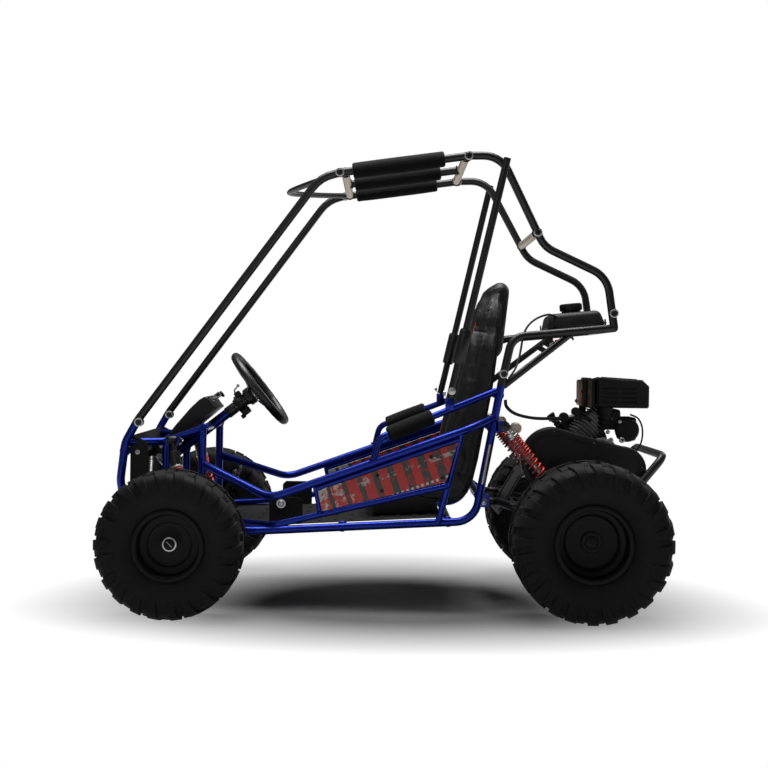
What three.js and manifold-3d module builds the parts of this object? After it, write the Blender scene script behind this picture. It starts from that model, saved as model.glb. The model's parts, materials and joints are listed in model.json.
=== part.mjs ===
// Off road go kart with a tubular roll cage, coil-over suspension, a bucket seat and a rear engine.
// Millimetres, +X to the front, +Y to the driver's left, +Z up, the ground at Z = 0.
import * as THREE from 'three';
import { mergeVertices } from 'three/addons/utils/BufferGeometryUtils.js';
import Module from 'manifold-3d';

const wasm = await Module();
wasm.setup();

// Fits and facets shared by every piece
const gap = 0.3;
const overrun = 6;
const tubeSides = 6;
const barSides = 5;
const roundSides = 8;
const left = 1;
const right = -1;
const degree = Math.PI / 180;
const arcStep = 30 * degree;

// Wheels and stance: the rear tyres stand clear of the swing arm, and all outer faces are in line
const stance = {
  frontAxleX: 536,
  rearAxleX: -520,
  armSideY: 222,
  tyreRoom: 78,
};
const frontTyre = { radius: 187, width: 145, rimR: 81, flangeR: 90.5, lugDepth: 7 };
const rearTyre = { radius: 203, width: 200, rimR: 90, flangeR: 100, lugDepth: 8, lugCount: 10 };
const rearWheelY = stance.armSideY + stance.tyreRoom + rearTyre.width / 2;
const frontWheelY = rearWheelY + (rearTyre.width - frontTyre.width) / 2;

// Steel tube stock
const tubeR = 11;
const railR = 11;
const barR = 9;
const postR = 10;
const visorR = 8;

// Side loop of the main frame: nose hoop, floor rail and rear upright in one bent tube
const loop = {
  y: 255,
  footX: 654,
  footZ: 487,
  browX: 686,
  browZ: 428,
  noseX: 697,
  noseZ: 330,
  toeX: 676,
  toeZ: 198,
  kneeX: 330,
  kneeZ: 200,
  heelX: -237,
  heelZ: 233,
  topX: -302,
  topZ: 590,
  bendR: 62,
};
const floorBars = { frontX: 430, middleX: 112, rearX: -168 };
const seatBars = { lowZ: 300, midZ: 478, topZ: 566 };
const noseBars = { lowZ: 262, highZ: 404 };

// Upper side rail, nerf bar and arm bar of one side
const sideRail = {
  startX: 491,
  startY: 190,
  startZ: 368,
  bendX: 296,
  bendY: 326,
  bendZ: 293,
  tailX: -206,
  tailY: 329,
  tailZ: 475,
  endX: -292,
  endZ: 509,
  bendR: 70,
};
const nerf = { startZ: 224, bendX: 285, bendY: 323, bendZ: 224, endX: -160, endZ: 332 };
const brace = { topX: -197, footX: -141 };
const armBar = { footX: 32, crownX: 17, crownY: 322, crownZ: 452, endZ: 581, bendR: 34 };
const panelBar = { headX: 183, drop: 17, tailX: -190, radius: 6 };

// Front frame: four uprights, their ties and the steering column tube
const tower = { y: 190, rearX: 491, frontX: 588, rearTopZ: 468, frontTopZ: 428, footZ: 206 };
const column = {
  wheelX: 356,
  wheelZ: 569.5,
  tilt: 38.2 * degree,
  tubeR: 14,
  shaftR: 9,
  tubeStart: 98,
  tubeLength: 210,
  shaftLength: 352,
};

// Roll cage
const pillar = { crownX: 181, crownZ: 1134, endX: 127, endZ: 1147, bendR: 62 };
const roof = { tailX: -214, tailZ: 1196, visorReach: 164, visorY: 240, visorDrop: 25 };
const cage = {
  browX: -294,
  browZ: 1198,
  browY: 252,
  waistX: -417,
  waistZ: 962,
  hipX: -586,
  hipZ: 884,
  endX: -606,
  y: 210,
  crossX: -398,
  crossZ: 1000,
  waistR: 38,
};
const carrier = { crownX: -331, crownY: 247, crownZ: 720, endZ: 748, bendR: 46, strutX: -498, trayX: -470 };
const post = { footX: -166, footZ: 556, headX: -309, headZ: 1188, bracketLength: 22, bracketWidth: 26 };
const sleeve = { radius: 16, startShare: 0.155, endShare: 0.31 };
const pad = { radius: 22, bevel: 4, length: 246, startX: 97 };
const armPad = { radius: 21.5, bevel: 5, startShare: 0.035, endShare: 0.4 };

function at(x, y, z) {
  return new THREE.Vector3(x, y, z);
}

function between(start, end, share) {
  return start.clone().lerp(end, share);
}

// A path of straight runs whose corners are rounded; every ring of a tube lands on one of its points
class BentPath extends THREE.Curve {
  constructor(corners, bendR = 0) {
    super();
    this.rings = [];
    corners.forEach((corner, index) => {
      if (index === 0 || index === corners.length - 1 || bendR === 0) {
        this.rings.push(corner.clone());
        return;
      }
      const back = corners[index - 1].clone().sub(corner).normalize();
      const ahead = corners[index + 1].clone().sub(corner).normalize();
      const turn = Math.PI - back.angleTo(ahead);
      const run = bendR * Math.tan(turn / 2);
      const start = corner.clone().addScaledVector(back, run);
      const end = corner.clone().addScaledVector(ahead, run);
      const inward = back.clone().add(ahead).normalize();
      const centre = corner.clone().addScaledVector(inward, bendR / Math.cos(turn / 2));
      const from = start.clone().sub(centre);
      const to = end.clone().sub(centre);
      const steps = Math.max(1, Math.round(turn / arcStep));
      for (let step = 0; step <= steps; step += 1) {
        const share = step / steps;
        const spoke = from.clone().multiplyScalar(Math.sin((1 - share) * turn));
        spoke.addScaledVector(to, Math.sin(share * turn));
        this.rings.push(centre.clone().addScaledVector(spoke, 1 / Math.sin(turn)));
      }
    });
  }

  getPoint(share) {
    const along = share * (this.rings.length - 1);
    const index = Math.min(Math.floor(along), this.rings.length - 2);
    return between(this.rings[index], this.rings[index + 1], along - index);
  }

  getPointAt(share) {
    return this.getPoint(share);
  }

  getTangentAt(share) {
    const last = this.rings.length - 1;
    const index = Math.round(share * last);
    const before = this.rings[Math.max(index - 1, 0)];
    const here = this.rings[index];
    const after = this.rings[Math.min(index + 1, last)];
    const arriving = here.clone().sub(before).normalize();
    const leaving = after.clone().sub(here).normalize();
    return arriving.add(leaving).normalize();
  }
}

function roundShape(radius, sides) {
  const shape = new THREE.Shape();
  for (let index = 0; index < sides; index += 1) {
    const angle = ((index + 1 / 2) * 2 * Math.PI) / sides;
    const x = radius * Math.cos(angle);
    const y = radius * Math.sin(angle);
    if (index === 0) {
      shape.moveTo(x, y);
    } else {
      shape.lineTo(x, y);
    }
  }
  shape.closePath();
  return shape;
}

function tube(path, radius, sides = tubeSides) {
  const settings = { steps: path.rings.length - 1, extrudePath: path, bevelEnabled: false };
  return new THREE.ExtrudeGeometry(roundShape(radius, sides), settings);
}

function rod(start, end, radius, sides = tubeSides) {
  return tube(new BentPath([start, end]), radius, sides);
}

function block(width, depth, height, centre, tilt = 0) {
  const geometry = new THREE.BoxGeometry(width, depth, height);
  geometry.rotateY(tilt);
  geometry.translate(centre.x, centre.y, centre.z);
  return geometry;
}

// A plate cut to an outline in the plane of X and Z, its thickness along Y
function sidePlate(outline, thickness, y) {
  const shape = new THREE.Shape(outline.map(([x, z]) => new THREE.Vector2(x, z)));
  const geometry = new THREE.ExtrudeGeometry(shape, { depth: thickness, bevelEnabled: false });
  geometry.rotateX(Math.PI / 2);
  geometry.translate(0, y + thickness / 2, 0);
  return geometry;
}

// A turned piece from an outline of radius and height pairs, its axis along Z
function turned(outline, sides = roundSides) {
  const profile = outline.map(([r, z]) => new THREE.Vector2(r, z));
  return new THREE.LatheGeometry(profile, sides).rotateX(Math.PI / 2);
}

function drum(radius, length, sides = roundSides) {
  return new THREE.CylinderGeometry(radius, radius, length, sides).rotateX(Math.PI / 2);
}

// Points a piece built along Z along the line from start to end
function aimed(geometry, start, end) {
  const direction = end.clone().sub(start).normalize();
  const turn = new THREE.Quaternion().setFromUnitVectors(at(0, 0, 1), direction);
  return geometry.applyQuaternion(turn).translate(start.x, start.y, start.z);
}

function asSolid(geometry) {
  const bare = geometry.clone();
  bare.deleteAttribute('normal');
  bare.deleteAttribute('uv');
  const merged = mergeVertices(bare, gap / 1000);
  const triVerts = new Uint32Array(merged.index.array);
  const vertProperties = new Float32Array(merged.attributes.position.array);
  const solid = new wasm.Manifold(new wasm.Mesh({ numProp: 3, vertProperties, triVerts }));
  if (solid.volume() >= 0) return solid;
  for (let index = 0; index < triVerts.length; index += 3) {
    [triVerts[index], triVerts[index + 1]] = [triVerts[index + 1], triVerts[index]];
  }
  return new wasm.Manifold(new wasm.Mesh({ numProp: 3, vertProperties, triVerts }));
}

function asGeometry(solid) {
  const mesh = solid.getMesh();
  const geometry = new THREE.BufferGeometry();
  geometry.setAttribute('position', new THREE.BufferAttribute(new Float32Array(mesh.vertProperties), 3));
  geometry.setIndex(new THREE.BufferAttribute(new Uint32Array(mesh.triVerts), 1));
  const flat = geometry.toNonIndexed();
  flat.computeVertexNormals();
  return flat;
}

// Joins the pieces and takes the cutters out of the result
function formed(pieces, cutters = []) {
  const joined = pieces.map(asSolid).reduce((whole, piece) => whole.add(piece));
  return asGeometry(cutters.map(asSolid).reduce((whole, cutter) => whole.subtract(cutter), joined));
}

const kart = new THREE.Group();
kart.name = 'off_road_go_kart';

const finishes = {
  blue: { color: 0x1c3fb0, roughness: 0.32, metalness: 0.55 },
  black: { color: 0x17181a, roughness: 0.4, metalness: 0.4 },
  plastic: { color: 0x141516, roughness: 0.5, metalness: 0 },
  foam: { color: 0x0e0e10, roughness: 0.85, metalness: 0 },
  rubber: { color: 0x121213, roughness: 0.85, metalness: 0 },
  leather: { color: 0x161617, roughness: 0.45, metalness: 0 },
  steel: { color: 0xb9bcc0, roughness: 0.28, metalness: 0.9 },
  red: { color: 0xc81e1c, roughness: 0.35, metalness: 0.3 },
  alloy: { color: 0x77797c, roughness: 0.45, metalness: 0.8 },
  print: { color: 0xb5241f, roughness: 0.4, metalness: 0 },
};

function place(name, geometry, finish, parent = kart) {
  const mesh = new THREE.Mesh(geometry, new THREE.MeshStandardMaterial(finishes[finish]));
  mesh.name = name;
  parent.add(mesh);
  return mesh;
}

function sideName(side) {
  return side === left ? 'left' : 'right';
}

// The height of the floor rails' centre line at a place along the kart
function floorLine(x) {
  const shares = (loop.kneeX - x) / (loop.kneeX - loop.heelX);
  if (x < loop.kneeX) return loop.kneeZ + shares * (loop.heelZ - loop.kneeZ);
  return loop.kneeZ + ((x - loop.kneeX) / (loop.toeX - loop.kneeX)) * (loop.toeZ - loop.kneeZ);
}

// The rear upright's centre line at a height
function uprightX(z) {
  return loop.heelX + ((z - loop.heelZ) / (loop.topZ - loop.heelZ)) * (loop.topX - loop.heelX);
}

function loopPath(side) {
  const y = loop.y * side;
  const corners = [
    at(loop.footX, y, loop.footZ),
    at(loop.browX, y, loop.browZ),
    at(loop.noseX, y, loop.noseZ),
    at(loop.toeX, y, loop.toeZ),
    at(loop.kneeX, y, loop.kneeZ),
    at(loop.heelX, y, loop.heelZ),
    at(loop.topX, y, loop.topZ),
  ];
  return new BentPath(corners, loop.bendR);
}
const loops = { left: loopPath(left), right: loopPath(right) };

// The room that the bent tubes of both loops take up, with the gap around and above them
function loopRoom() {
  return [left, right].map((side) => {
    const corners = [...loopPath(side).rings];
    const top = corners[corners.length - 1];
    const below = corners[corners.length - 2];
    top.addScaledVector(top.clone().sub(below).normalize(), gap);
    return tube(new BentPath(corners), tubeR + gap);
  });
}

function crossBar(x, z, halfWidth, radius = tubeR) {
  return rod(at(x, -halfWidth, z), at(x, halfWidth, z), radius);
}

// Rear shock absorber places, shared by the frame, the shocks and the swing arm
const rearShock = { y: 255, topX: -313, topZ: 484, footX: -440, footZ: 325 };
const rearShockTop = (side) => at(rearShock.topX, rearShock.y * side, rearShock.topZ);
const rearShockFoot = (side) => at(rearShock.footX, rearShock.y * side, rearShock.footZ);
const shock = {
  eyeR: 11,
  eyeWidth: 22,
  neckR: 7,
  bodyR: 10.5,
  rodR: 6,
  capR: 18,
  capThickness: 5,
  springR: 14.5,
  wireR: 3,
  tightPitch: 8.25,
  footSeat: 29,
  topRoom: 38,
  bodyShare: 0.4,
  boreShare: 0.72,
  rodHoldShare: 0.2,
};
const lug = { thickness: 5, reach: 16, clearance: 0.5, leanClearance: 3.2 };

// Main frame: both side loops and the bars across them, with ears for the rear shocks and the swing arm
const swingPivot = { x: -268, z: 276, y: 150, eyeR: 15, eyeWidth: 40, pinR: 7 };
function noseBarX(z) {
  if (z > loop.noseZ) {
    return loop.noseX + ((z - loop.noseZ) / (loop.browZ - loop.noseZ)) * (loop.browX - loop.noseX);
  }
  return loop.noseX + ((loop.noseZ - z) / (loop.noseZ - loop.toeZ)) * (loop.toeX - loop.noseX);
}

function shockWeb(side, room = 0) {
  const eye = rearShockTop(side);
  const webX = (uprightX(eye.z) + eye.x + shock.eyeR + lug.clearance) / 2;
  const webWidth = Math.abs(uprightX(eye.z) - eye.x) - shock.eyeR - lug.clearance;
  const outer = shock.eyeWidth + 2 * (lug.clearance + lug.thickness + room);
  return block(webWidth + 2 * room, outer, 2 * (lug.reach + room), at(webX, eye.y, eye.z));
}

function mainFrame() {
  const pieces = [tube(loops.left, tubeR), tube(loops.right, tubeR)];
  [noseBars.lowZ, noseBars.highZ].forEach((z) => pieces.push(crossBar(noseBarX(z), z, loop.y)));
  [floorBars.frontX, floorBars.middleX, floorBars.rearX].forEach((x) => {
    pieces.push(crossBar(x, floorLine(x), loop.y));
  });
  [seatBars.lowZ, seatBars.midZ, seatBars.topZ].forEach((z) => {
    pieces.push(crossBar(uprightX(z), z, loop.y));
  });
  [left, right].forEach((side) => {
    const eye = rearShockTop(side);
    pieces.push(shockWeb(side));
    [left, right].forEach((cheek) => {
      const y = eye.y + cheek * (shock.eyeWidth / 2 + lug.clearance + lug.thickness / 2);
      const length = Math.abs(uprightX(eye.z) - eye.x) + shock.eyeR;
      const middle = at(eye.x - shock.eyeR + length / 2, y, eye.z);
      pieces.push(block(length, lug.thickness, lug.reach * 2 - lug.thickness, middle));
    });
    [left, right].forEach((cheek) => {
      const reach = swingPivot.eyeWidth / 2 + lug.clearance + lug.thickness / 2;
      const y = swingPivot.y * side + cheek * reach;
      const barX = uprightX(seatBars.lowZ);
      const outline = [
        [barX + tubeR / 2, seatBars.lowZ - tubeR],
        [barX - tubeR, seatBars.lowZ + tubeR / 2],
        [swingPivot.x - swingPivot.eyeR, swingPivot.z + swingPivot.pinR],
        [swingPivot.x - swingPivot.eyeR, swingPivot.z - swingPivot.pinR],
        [swingPivot.x + swingPivot.pinR, swingPivot.z - swingPivot.eyeR],
      ];
      pieces.push(sidePlate(outline, lug.thickness, y));
    });
  });
  return formed(pieces);
}
place('main_frame', mainFrame(), 'blue');

// Front frame: suspension towers, arm pivot bars and the steering column tube
const columnAxis = at(Math.cos(column.tilt), 0, -Math.sin(column.tilt));
const wheelCentre = at(column.wheelX, 0, column.wheelZ);
const columnAt = (reach) => wheelCentre.clone().addScaledVector(columnAxis, reach);
const columnHeight = (x) => column.wheelZ - (x - column.wheelX) * Math.tan(column.tilt);

const armPivot = { y: 118, z: 264, barR: 8, sleeveR: 13, sleeveLength: 30, rearX: 520, frontX: 560 };
const yoke = { y: 338, plateZ: 43, thickness: 6, backY: 319, halfWidth: 12, endR: 13, mouthShare: 0.9 };
const knuckle = {
  kingpinR: 12,
  spindleR: 10,
  armReach: 72,
  armZ: 30,
  armWidth: 12,
  armThickness: 6,
  endR: 10,
};
const frontAxle = at(stance.frontAxleX, 0, frontTyre.radius);
const yokeMouthZ = frontAxle.z + knuckle.armZ;
const frontShock = { topX: 566, topY: 226, topZ: 434, footX: 526, footY: 288, footRise: 25.75 };
const cheekSeatShare = 1.4;
const ahead = 1;
const behind = -1;

// The place of one cheek beside a front shock's eye, with more room where the shock leans or shifts
function cheekPlace(eyeX, cheek, leaning) {
  const room = cheek === leaning ? lug.leanClearance : lug.clearance;
  return eyeX + cheek * (shock.eyeWidth / 2 + room + lug.thickness / 2);
}

const frontShockTop = (side) => at(frontShock.topX, frontShock.topY * side, frontShock.topZ);
const armHeight = (y) => {
  const share = (y - armPivot.y) / (yoke.backY - armPivot.y);
  return armPivot.z + share * (yokeMouthZ - armPivot.z);
};
const frontShockFoot = (side) => {
  const { footX, footY, footRise } = frontShock;
  return at(footX, footY * side, armHeight(footY) + footRise);
};

function frontFrame() {
  const pieces = [];
  [tower.rearX, tower.frontX].forEach((x) => {
    pieces.push(crossBar(x, loop.kneeZ, loop.y));
    pieces.push(crossBar(x, columnHeight(x), tower.y));
  });
  [left, right].forEach((side) => {
    const y = tower.y * side;
    const rearTop = at(tower.rearX, y, columnHeight(tower.rearX));
    const frontTop = at(tower.frontX, y, tower.frontTopZ);
    pieces.push(rod(at(tower.rearX, y, loop.kneeZ), rearTop, tubeR));
    pieces.push(rod(at(tower.frontX, y, loop.kneeZ), frontTop, tubeR));
    pieces.push(rod(rearTop, frontTop, tubeR));
    pieces.push(rod(frontTop, at(loop.browX, loop.y * side, loop.browZ), tubeR));
    [tower.rearX, tower.frontX].forEach((x) => {
      const foot = at(x, armPivot.y * side, loop.kneeZ);
      pieces.push(rod(foot, foot.clone().setZ(armPivot.z + armPivot.barR), tubeR));
    });
    const barStart = at(tower.rearX, armPivot.y * side, armPivot.z);
    pieces.push(rod(barStart, barStart.clone().setX(tower.frontX), armPivot.barR));
    const eye = frontShockTop(side);
    [ahead, behind].forEach((cheek) => {
      const x = cheekPlace(eye.x, cheek, behind);
      const reach = Math.abs(eye.y) - tower.y + shock.eyeR;
      const middle = at(x, side * (tower.y + reach / 2), eye.z);
      pieces.push(block(lug.thickness, reach, lug.reach * 2 - lug.thickness, middle));
    });
  });
  const tubeStart = columnAt(column.tubeStart);
  const tubeEnd = columnAt(column.tubeStart + column.tubeLength);
  pieces.push(rod(tubeStart, tubeEnd, column.tubeR, roundSides));
  const boreR = (column.shaftR + gap) / Math.cos(Math.PI / roundSides);
  const boreStart = columnAt(column.tubeStart - overrun);
  const boreEnd = columnAt(column.shaftLength + overrun);
  const cutters = [rod(boreStart, boreEnd, boreR, roundSides)];
  cutters.push(...loopRoom());
  return formed(pieces, cutters);
}
place('front_frame', frontFrame(), 'blue');

// Side frame of one side: upper rail, nerf bar, brace, panel bar, arm bar and the post's bracket
function sidePaths(side) {
  const y = (value) => value * side;
  const railBend = at(sideRail.bendX, y(sideRail.bendY), sideRail.bendZ);
  const nerfBend = at(nerf.bendX, y(nerf.bendY), nerf.bendZ);
  const rail = new BentPath([
    behindTower(at(sideRail.startX, y(sideRail.startY), sideRail.startZ), railBend),
    railBend,
    at(sideRail.tailX, y(sideRail.tailY), sideRail.tailZ),
    at(sideRail.endX, y(loop.y), sideRail.endZ),
  ], sideRail.bendR);
  const nerfBar = new BentPath([
    behindTower(at(sideRail.startX, y(sideRail.startY), nerf.startZ), nerfBend),
    nerfBend,
    at(nerf.endX, y(sideRail.tailY), nerf.endZ),
  ], sideRail.bendR);
  const arm = new BentPath([
    at(armBar.footX, y(sideRail.tailY), railHeight(armBar.footX)),
    at(armBar.crownX, y(armBar.crownY), armBar.crownZ),
    at(loop.topX, y(loop.y), armBar.endZ),
  ], armBar.bendR);
  return { rail, nerfBar, arm };
}

function behindTower(start, bend) {
  return start.clone().addScaledVector(bend.clone().sub(start).normalize(), tubeR / 2);
}

function railHeight(x) {
  const share = (sideRail.bendX - x) / (sideRail.bendX - sideRail.tailX);
  return sideRail.bendZ + share * (sideRail.tailZ - sideRail.bendZ);
}

function nerfHeight(x) {
  const share = (nerf.bendX - x) / (nerf.bendX - nerf.endX);
  return nerf.bendZ + share * (nerf.endZ - nerf.bendZ);
}

function armPoint(side, x, lift = 0) {
  const share = (armBar.crownX - x) / (armBar.crownX - loop.topX);
  const y = armBar.crownY + share * (loop.y - armBar.crownY);
  return at(x, y * side, armBar.crownZ + share * (armBar.endZ - armBar.crownZ) + lift);
}

function braceRod(side, radius) {
  const top = at(brace.topX, sideRail.tailY * side, railHeight(brace.topX));
  return rod(top, at(brace.footX, loop.y * side, floorLine(brace.footX)), radius);
}

// The slim bar over the side panel and the strut at its head
function panelBars(side, radius) {
  const y = sideRail.tailY * side;
  const head = at(panelBar.headX, y, railHeight(panelBar.headX));
  const barHead = head.clone().setZ(head.z - panelBar.drop);
  const barTail = at(panelBar.tailX, y, railHeight(panelBar.tailX) - panelBar.drop);
  const footX = panelBar.headX - panelBar.drop;
  const strutFoot = at(footX, y, nerfHeight(footX));
  return [rod(barHead, barTail, radius, barSides), rod(head, strutFoot, radius, barSides)];
}

function sideFrame(side) {
  const { rail, nerfBar, arm } = sidePaths(side);
  const pieces = [tube(rail, railR), tube(nerfBar, barR), tube(arm, barR)];
  pieces.push(braceRod(side, barR));
  pieces.push(...panelBars(side, panelBar.radius));
  const foot = armPoint(side, post.footX);
  const bracketTop = post.footZ - gap;
  const bracket = at(post.footX, foot.y, (foot.z + bracketTop) / 2);
  pieces.push(block(post.bracketLength, post.bracketWidth, bracketTop - foot.z, bracket));
  const upright = at(tower.rearX, tower.y * side, loop.kneeZ - tubeR);
  const [postFoot, postHead] = postEnds(side);
  const postUnder = between(postFoot, postHead, -gap / postFoot.distanceTo(postHead));
  return formed(pieces, [
    ...loopRoom(),
    shockWeb(side, gap),
    crossBar(uprightX(seatBars.topZ), seatBars.topZ, loop.y + gap, tubeR + gap),
    rod(upright, upright.clone().setZ(tower.frontTopZ), tubeR + gap),
    rod(postUnder, postHead, postR + gap),
  ]);
}
[left, right].forEach((side) => place(`${sideName(side)}_side_frame`, sideFrame(side), 'blue'));

// Roll cage: front pillars, roof frame, rear cage with the tank carrier, and the main posts
function pillarPath(side) {
  const y = loop.y * side;
  const crown = at(pillar.crownX, y, pillar.crownZ);
  const foot = at(loop.footX, y, loop.footZ);
  const end = at(pillar.endX, y, pillar.endZ);
  const start = foot.clone().addScaledVector(crown.clone().sub(foot).normalize(), gap * 2);
  return new BentPath([start, crown, end], pillar.bendR);
}

function pillarPiece(side) {
  return formed([tube(pillarPath(side), tubeR)], loopRoom());
}
[left, right].forEach((side) => place(`${sideName(side)}_pillar`, pillarPiece(side), 'black'));

const roofSlope = at(roof.tailX - pillar.endX, 0, roof.tailZ - pillar.endZ).normalize();
const roofPoint = (x, y) => {
  const share = (x - pillar.endX) / (roof.tailX - pillar.endX);
  return at(x, y, pillar.endZ + share * (roof.tailZ - pillar.endZ));
};

function roofFrame() {
  const frontX = pillar.endX - tubeR;
  const rearX = roof.tailX + tubeR;
  const pieces = [left, 0, right].map((side) => {
    const overhang = side === 0 ? 0 : tubeR - gap;
    const start = roofPoint(frontX, loop.y * side).addScaledVector(roofSlope, -overhang);
    const end = roofPoint(rearX, loop.y * side).addScaledVector(roofSlope, overhang);
    return rod(start, end, tubeR);
  });
  [frontX, rearX].forEach((x) => {
    pieces.push(rod(roofPoint(x, -loop.y), roofPoint(x, loop.y), tubeR));
  });
  const arc = [];
  const arcSteps = 2 * tubeSides;
  for (let step = 0; step <= arcSteps; step += 1) {
    const angle = Math.PI * (step / arcSteps - 1 / 2);
    const reach = Math.cos(angle);
    const root = roofPoint(frontX, 0).z;
    const x = frontX + roof.visorReach * reach;
    arc.push(at(x, roof.visorY * Math.sin(angle), root - roof.visorDrop * reach));
  }
  pieces.push(tube(new BentPath(arc), visorR));
  const cutters = [left, right].map((side) => tube(pillarPath(side), tubeR + gap));
  return formed(pieces, cutters);
}
place('roof_frame', roofFrame(), 'black');

function cagePath(side) {
  return new BentPath([
    roofPoint(roof.tailX, loop.y * side).addScaledVector(roofSlope, 2 * gap),
    at(cage.browX, cage.browY * side, cage.browZ),
    at(cage.waistX, cage.y * side, cage.waistZ),
    at(cage.hipX, cage.y * side, cage.hipZ),
    at(cage.endX, cage.y * side, carrier.endZ),
  ], cage.waistR);
}

function carrierPath(side) {
  const foot = at(loop.topX, loop.y * side, loop.topZ + gap);
  return new BentPath([
    foot,
    at(carrier.crownX, carrier.crownY * side, carrier.crownZ),
    at(cage.endX, cage.y * side, carrier.endZ),
  ], carrier.bendR);
}

const tank = {
  length: 164,
  width: 190,
  height: 50,
  bevel: 16,
  midX: -525,
  capR: 32,
  capHeight: 22,
  capBevel: 4.4,
};
const carrierSlope = Math.atan2(carrier.endZ - carrier.crownZ, carrier.crownX - cage.endX);
const carrierPoint = (x, y, lift = 0) => {
  const share = (carrier.crownX - x) / (carrier.crownX - cage.endX);
  const z = carrier.crownZ + share * (carrier.endZ - carrier.crownZ);
  return at(x, y, z + lift);
};
const trayZ = barR;

function rearCage() {
  const pieces = [];
  [left, right].forEach((side) => {
    pieces.push(tube(cagePath(side), tubeR), tube(carrierPath(side), tubeR));
    const strutEnd = carrierPoint(carrier.strutX, cage.y * side);
    pieces.push(rod(at(loop.topX, loop.y * side, loop.topZ - tubeR), strutEnd, barR));
  });
  pieces.push(rod(at(cage.crossX, -cage.y, cage.crossZ), at(cage.crossX, cage.y, cage.crossZ), tubeR));
  pieces.push(rod(carrierPoint(cage.endX, -cage.y), carrierPoint(cage.endX, cage.y), tubeR));
  pieces.push(rod(carrierPoint(carrier.trayX, -cage.y), carrierPoint(carrier.trayX, cage.y), barR));
  [left, right].forEach((side) => {
    const y = (tank.width / 2 - tank.bevel) * side;
    pieces.push(rod(carrierPoint(carrier.trayX, y), carrierPoint(cage.endX, y), barR));
  });
  const cutters = loopRoom();
  [left, right].forEach((side) => {
    const { arm } = sidePaths(side);
    const roofEnd = roofPoint(roof.tailX, loop.y * side).addScaledVector(roofSlope, gap);
    cutters.push(tube(arm, barR + gap), rod(roofPoint(roof.tailX + tubeR, roofEnd.y), roofEnd, tubeR + gap));
  });
  return formed(pieces, cutters);
}
place('rear_cage', rearCage(), 'black');

function postEnds(side) {
  const foot = at(post.footX, Math.abs(armPoint(side, post.footX).y) * side, post.footZ);
  const headY = loop.y + tubeR + postR + gap;
  return [foot, at(post.headX, headY * side, post.headZ)];
}

function postPiece(side) {
  const [foot, head] = postEnds(side);
  const sleeveStart = between(foot, head, sleeve.startShare);
  const sleeveEnd = between(foot, head, sleeve.endShare);
  const cutters = [tube(cagePath(side), tubeR + gap)];
  return formed([rod(foot, head, postR), rod(sleeveStart, sleeveEnd, sleeve.radius, roundSides)], cutters);
}
[left, right].forEach((side) => place(`${sideName(side)}_post`, postPiece(side), 'black'));

// Foam sleeves on the roof bars and on the arm bars
function foamSleeve(length, radius, boreR, bevel) {
  return turned([
    [boreR, 0],
    [radius - bevel, 0],
    [radius, bevel],
    [radius, length - bevel],
    [radius - bevel, length],
    [boreR, length],
    [boreR, 0],
  ]);
}

const padNames = ['left_roof_pad', 'middle_roof_pad', 'right_roof_pad'];
padNames.forEach((name, index) => {
  const y = loop.y * (1 - index);
  const boreR = (tubeR + gap) / Math.cos(Math.PI / roundSides);
  const sleeveShape = foamSleeve(pad.length, pad.radius, boreR, pad.bevel);
  const start = roofPoint(pad.startX, y);
  place(name, aimed(sleeveShape, start, start.clone().add(roofSlope)), 'foam');
});

[left, right].forEach((side) => {
  const ends = [armPoint(side, armBar.crownX), armPoint(side, loop.topX)];
  const start = between(ends[0], ends[1], armPad.startShare + armBar.bendR / ends[0].distanceTo(ends[1]));
  const end = between(ends[0], ends[1], armPad.endShare);
  const boreR = (barR + gap) / Math.cos(Math.PI / roundSides);
  const sleeveShape = foamSleeve(start.distanceTo(end), armPad.radius, boreR, armPad.bevel);
  place(`${sideName(side)}_arm_pad`, aimed(sleeveShape, start, end), 'foam');
});

// Fuel tank on the carrier, tilted with it, and its screw cap
function tankPiece() {
  const half = tank.length / 2;
  const shape = new THREE.Shape();
  const bevel = tank.bevel;
  shape.moveTo(-half + bevel, -tank.width / 2);
  shape.lineTo(half - bevel, -tank.width / 2);
  shape.lineTo(half, -tank.width / 2 + bevel);
  shape.lineTo(half, tank.width / 2 - bevel);
  shape.lineTo(half - bevel, tank.width / 2);
  shape.lineTo(-half + bevel, tank.width / 2);
  shape.lineTo(-half, tank.width / 2 - bevel);
  shape.lineTo(-half, -tank.width / 2 + bevel);
  const rim = bevel / 2;
  const settings = {
    depth: tank.height - 2 * rim,
    bevelThickness: rim,
    bevelSize: rim,
    bevelOffset: -rim,
    bevelSegments: 1,
    curveSegments: 1,
  };
  return new THREE.ExtrudeGeometry(shape, settings).translate(0, 0, rim);
}
const tankGroup = new THREE.Group();
tankGroup.position.copy(carrierPoint(tank.midX, 0, trayZ + gap * 2));
tankGroup.rotation.y = carrierSlope;
kart.add(tankGroup);
place('fuel_tank', tankPiece(), 'plastic', tankGroup);
const capShape = turned([
  [0, 0],
  [tank.capR, 0],
  [tank.capR, tank.capHeight - tank.capBevel],
  [tank.capR - tank.capBevel, tank.capHeight],
  [0, tank.capHeight],
], roundSides);
const cap = place('fuel_cap', capShape, 'plastic', tankGroup);
cap.position.set(0, 0, tank.height + gap);

// Side panels inside the side frames
const panel = { thickness: 3, footX: -156 };
function sidePanel(side) {
  const y = sideRail.tailY * side;
  const headX = panelBar.headX - panelBar.drop / 2;
  const outline = [
    [headX, railHeight(headX) - panelBar.drop],
    [panelBar.tailX, railHeight(panelBar.tailX) - panelBar.drop],
    [panel.footX, nerfHeight(panel.footX)],
    [headX - panelBar.drop / 2, nerfHeight(headX)],
  ];
  const { nerfBar } = sidePaths(side);
  const cutters = [
    tube(nerfBar, barR + gap),
    ...panelBars(side, panelBar.radius + gap),
    braceRod(side, barR + gap),
  ];
  return formed([sidePlate(outline, panel.thickness, y)], cutters);
}
[left, right].forEach((side) => place(`${sideName(side)}_side_panel`, sidePanel(side), 'print'));

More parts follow.
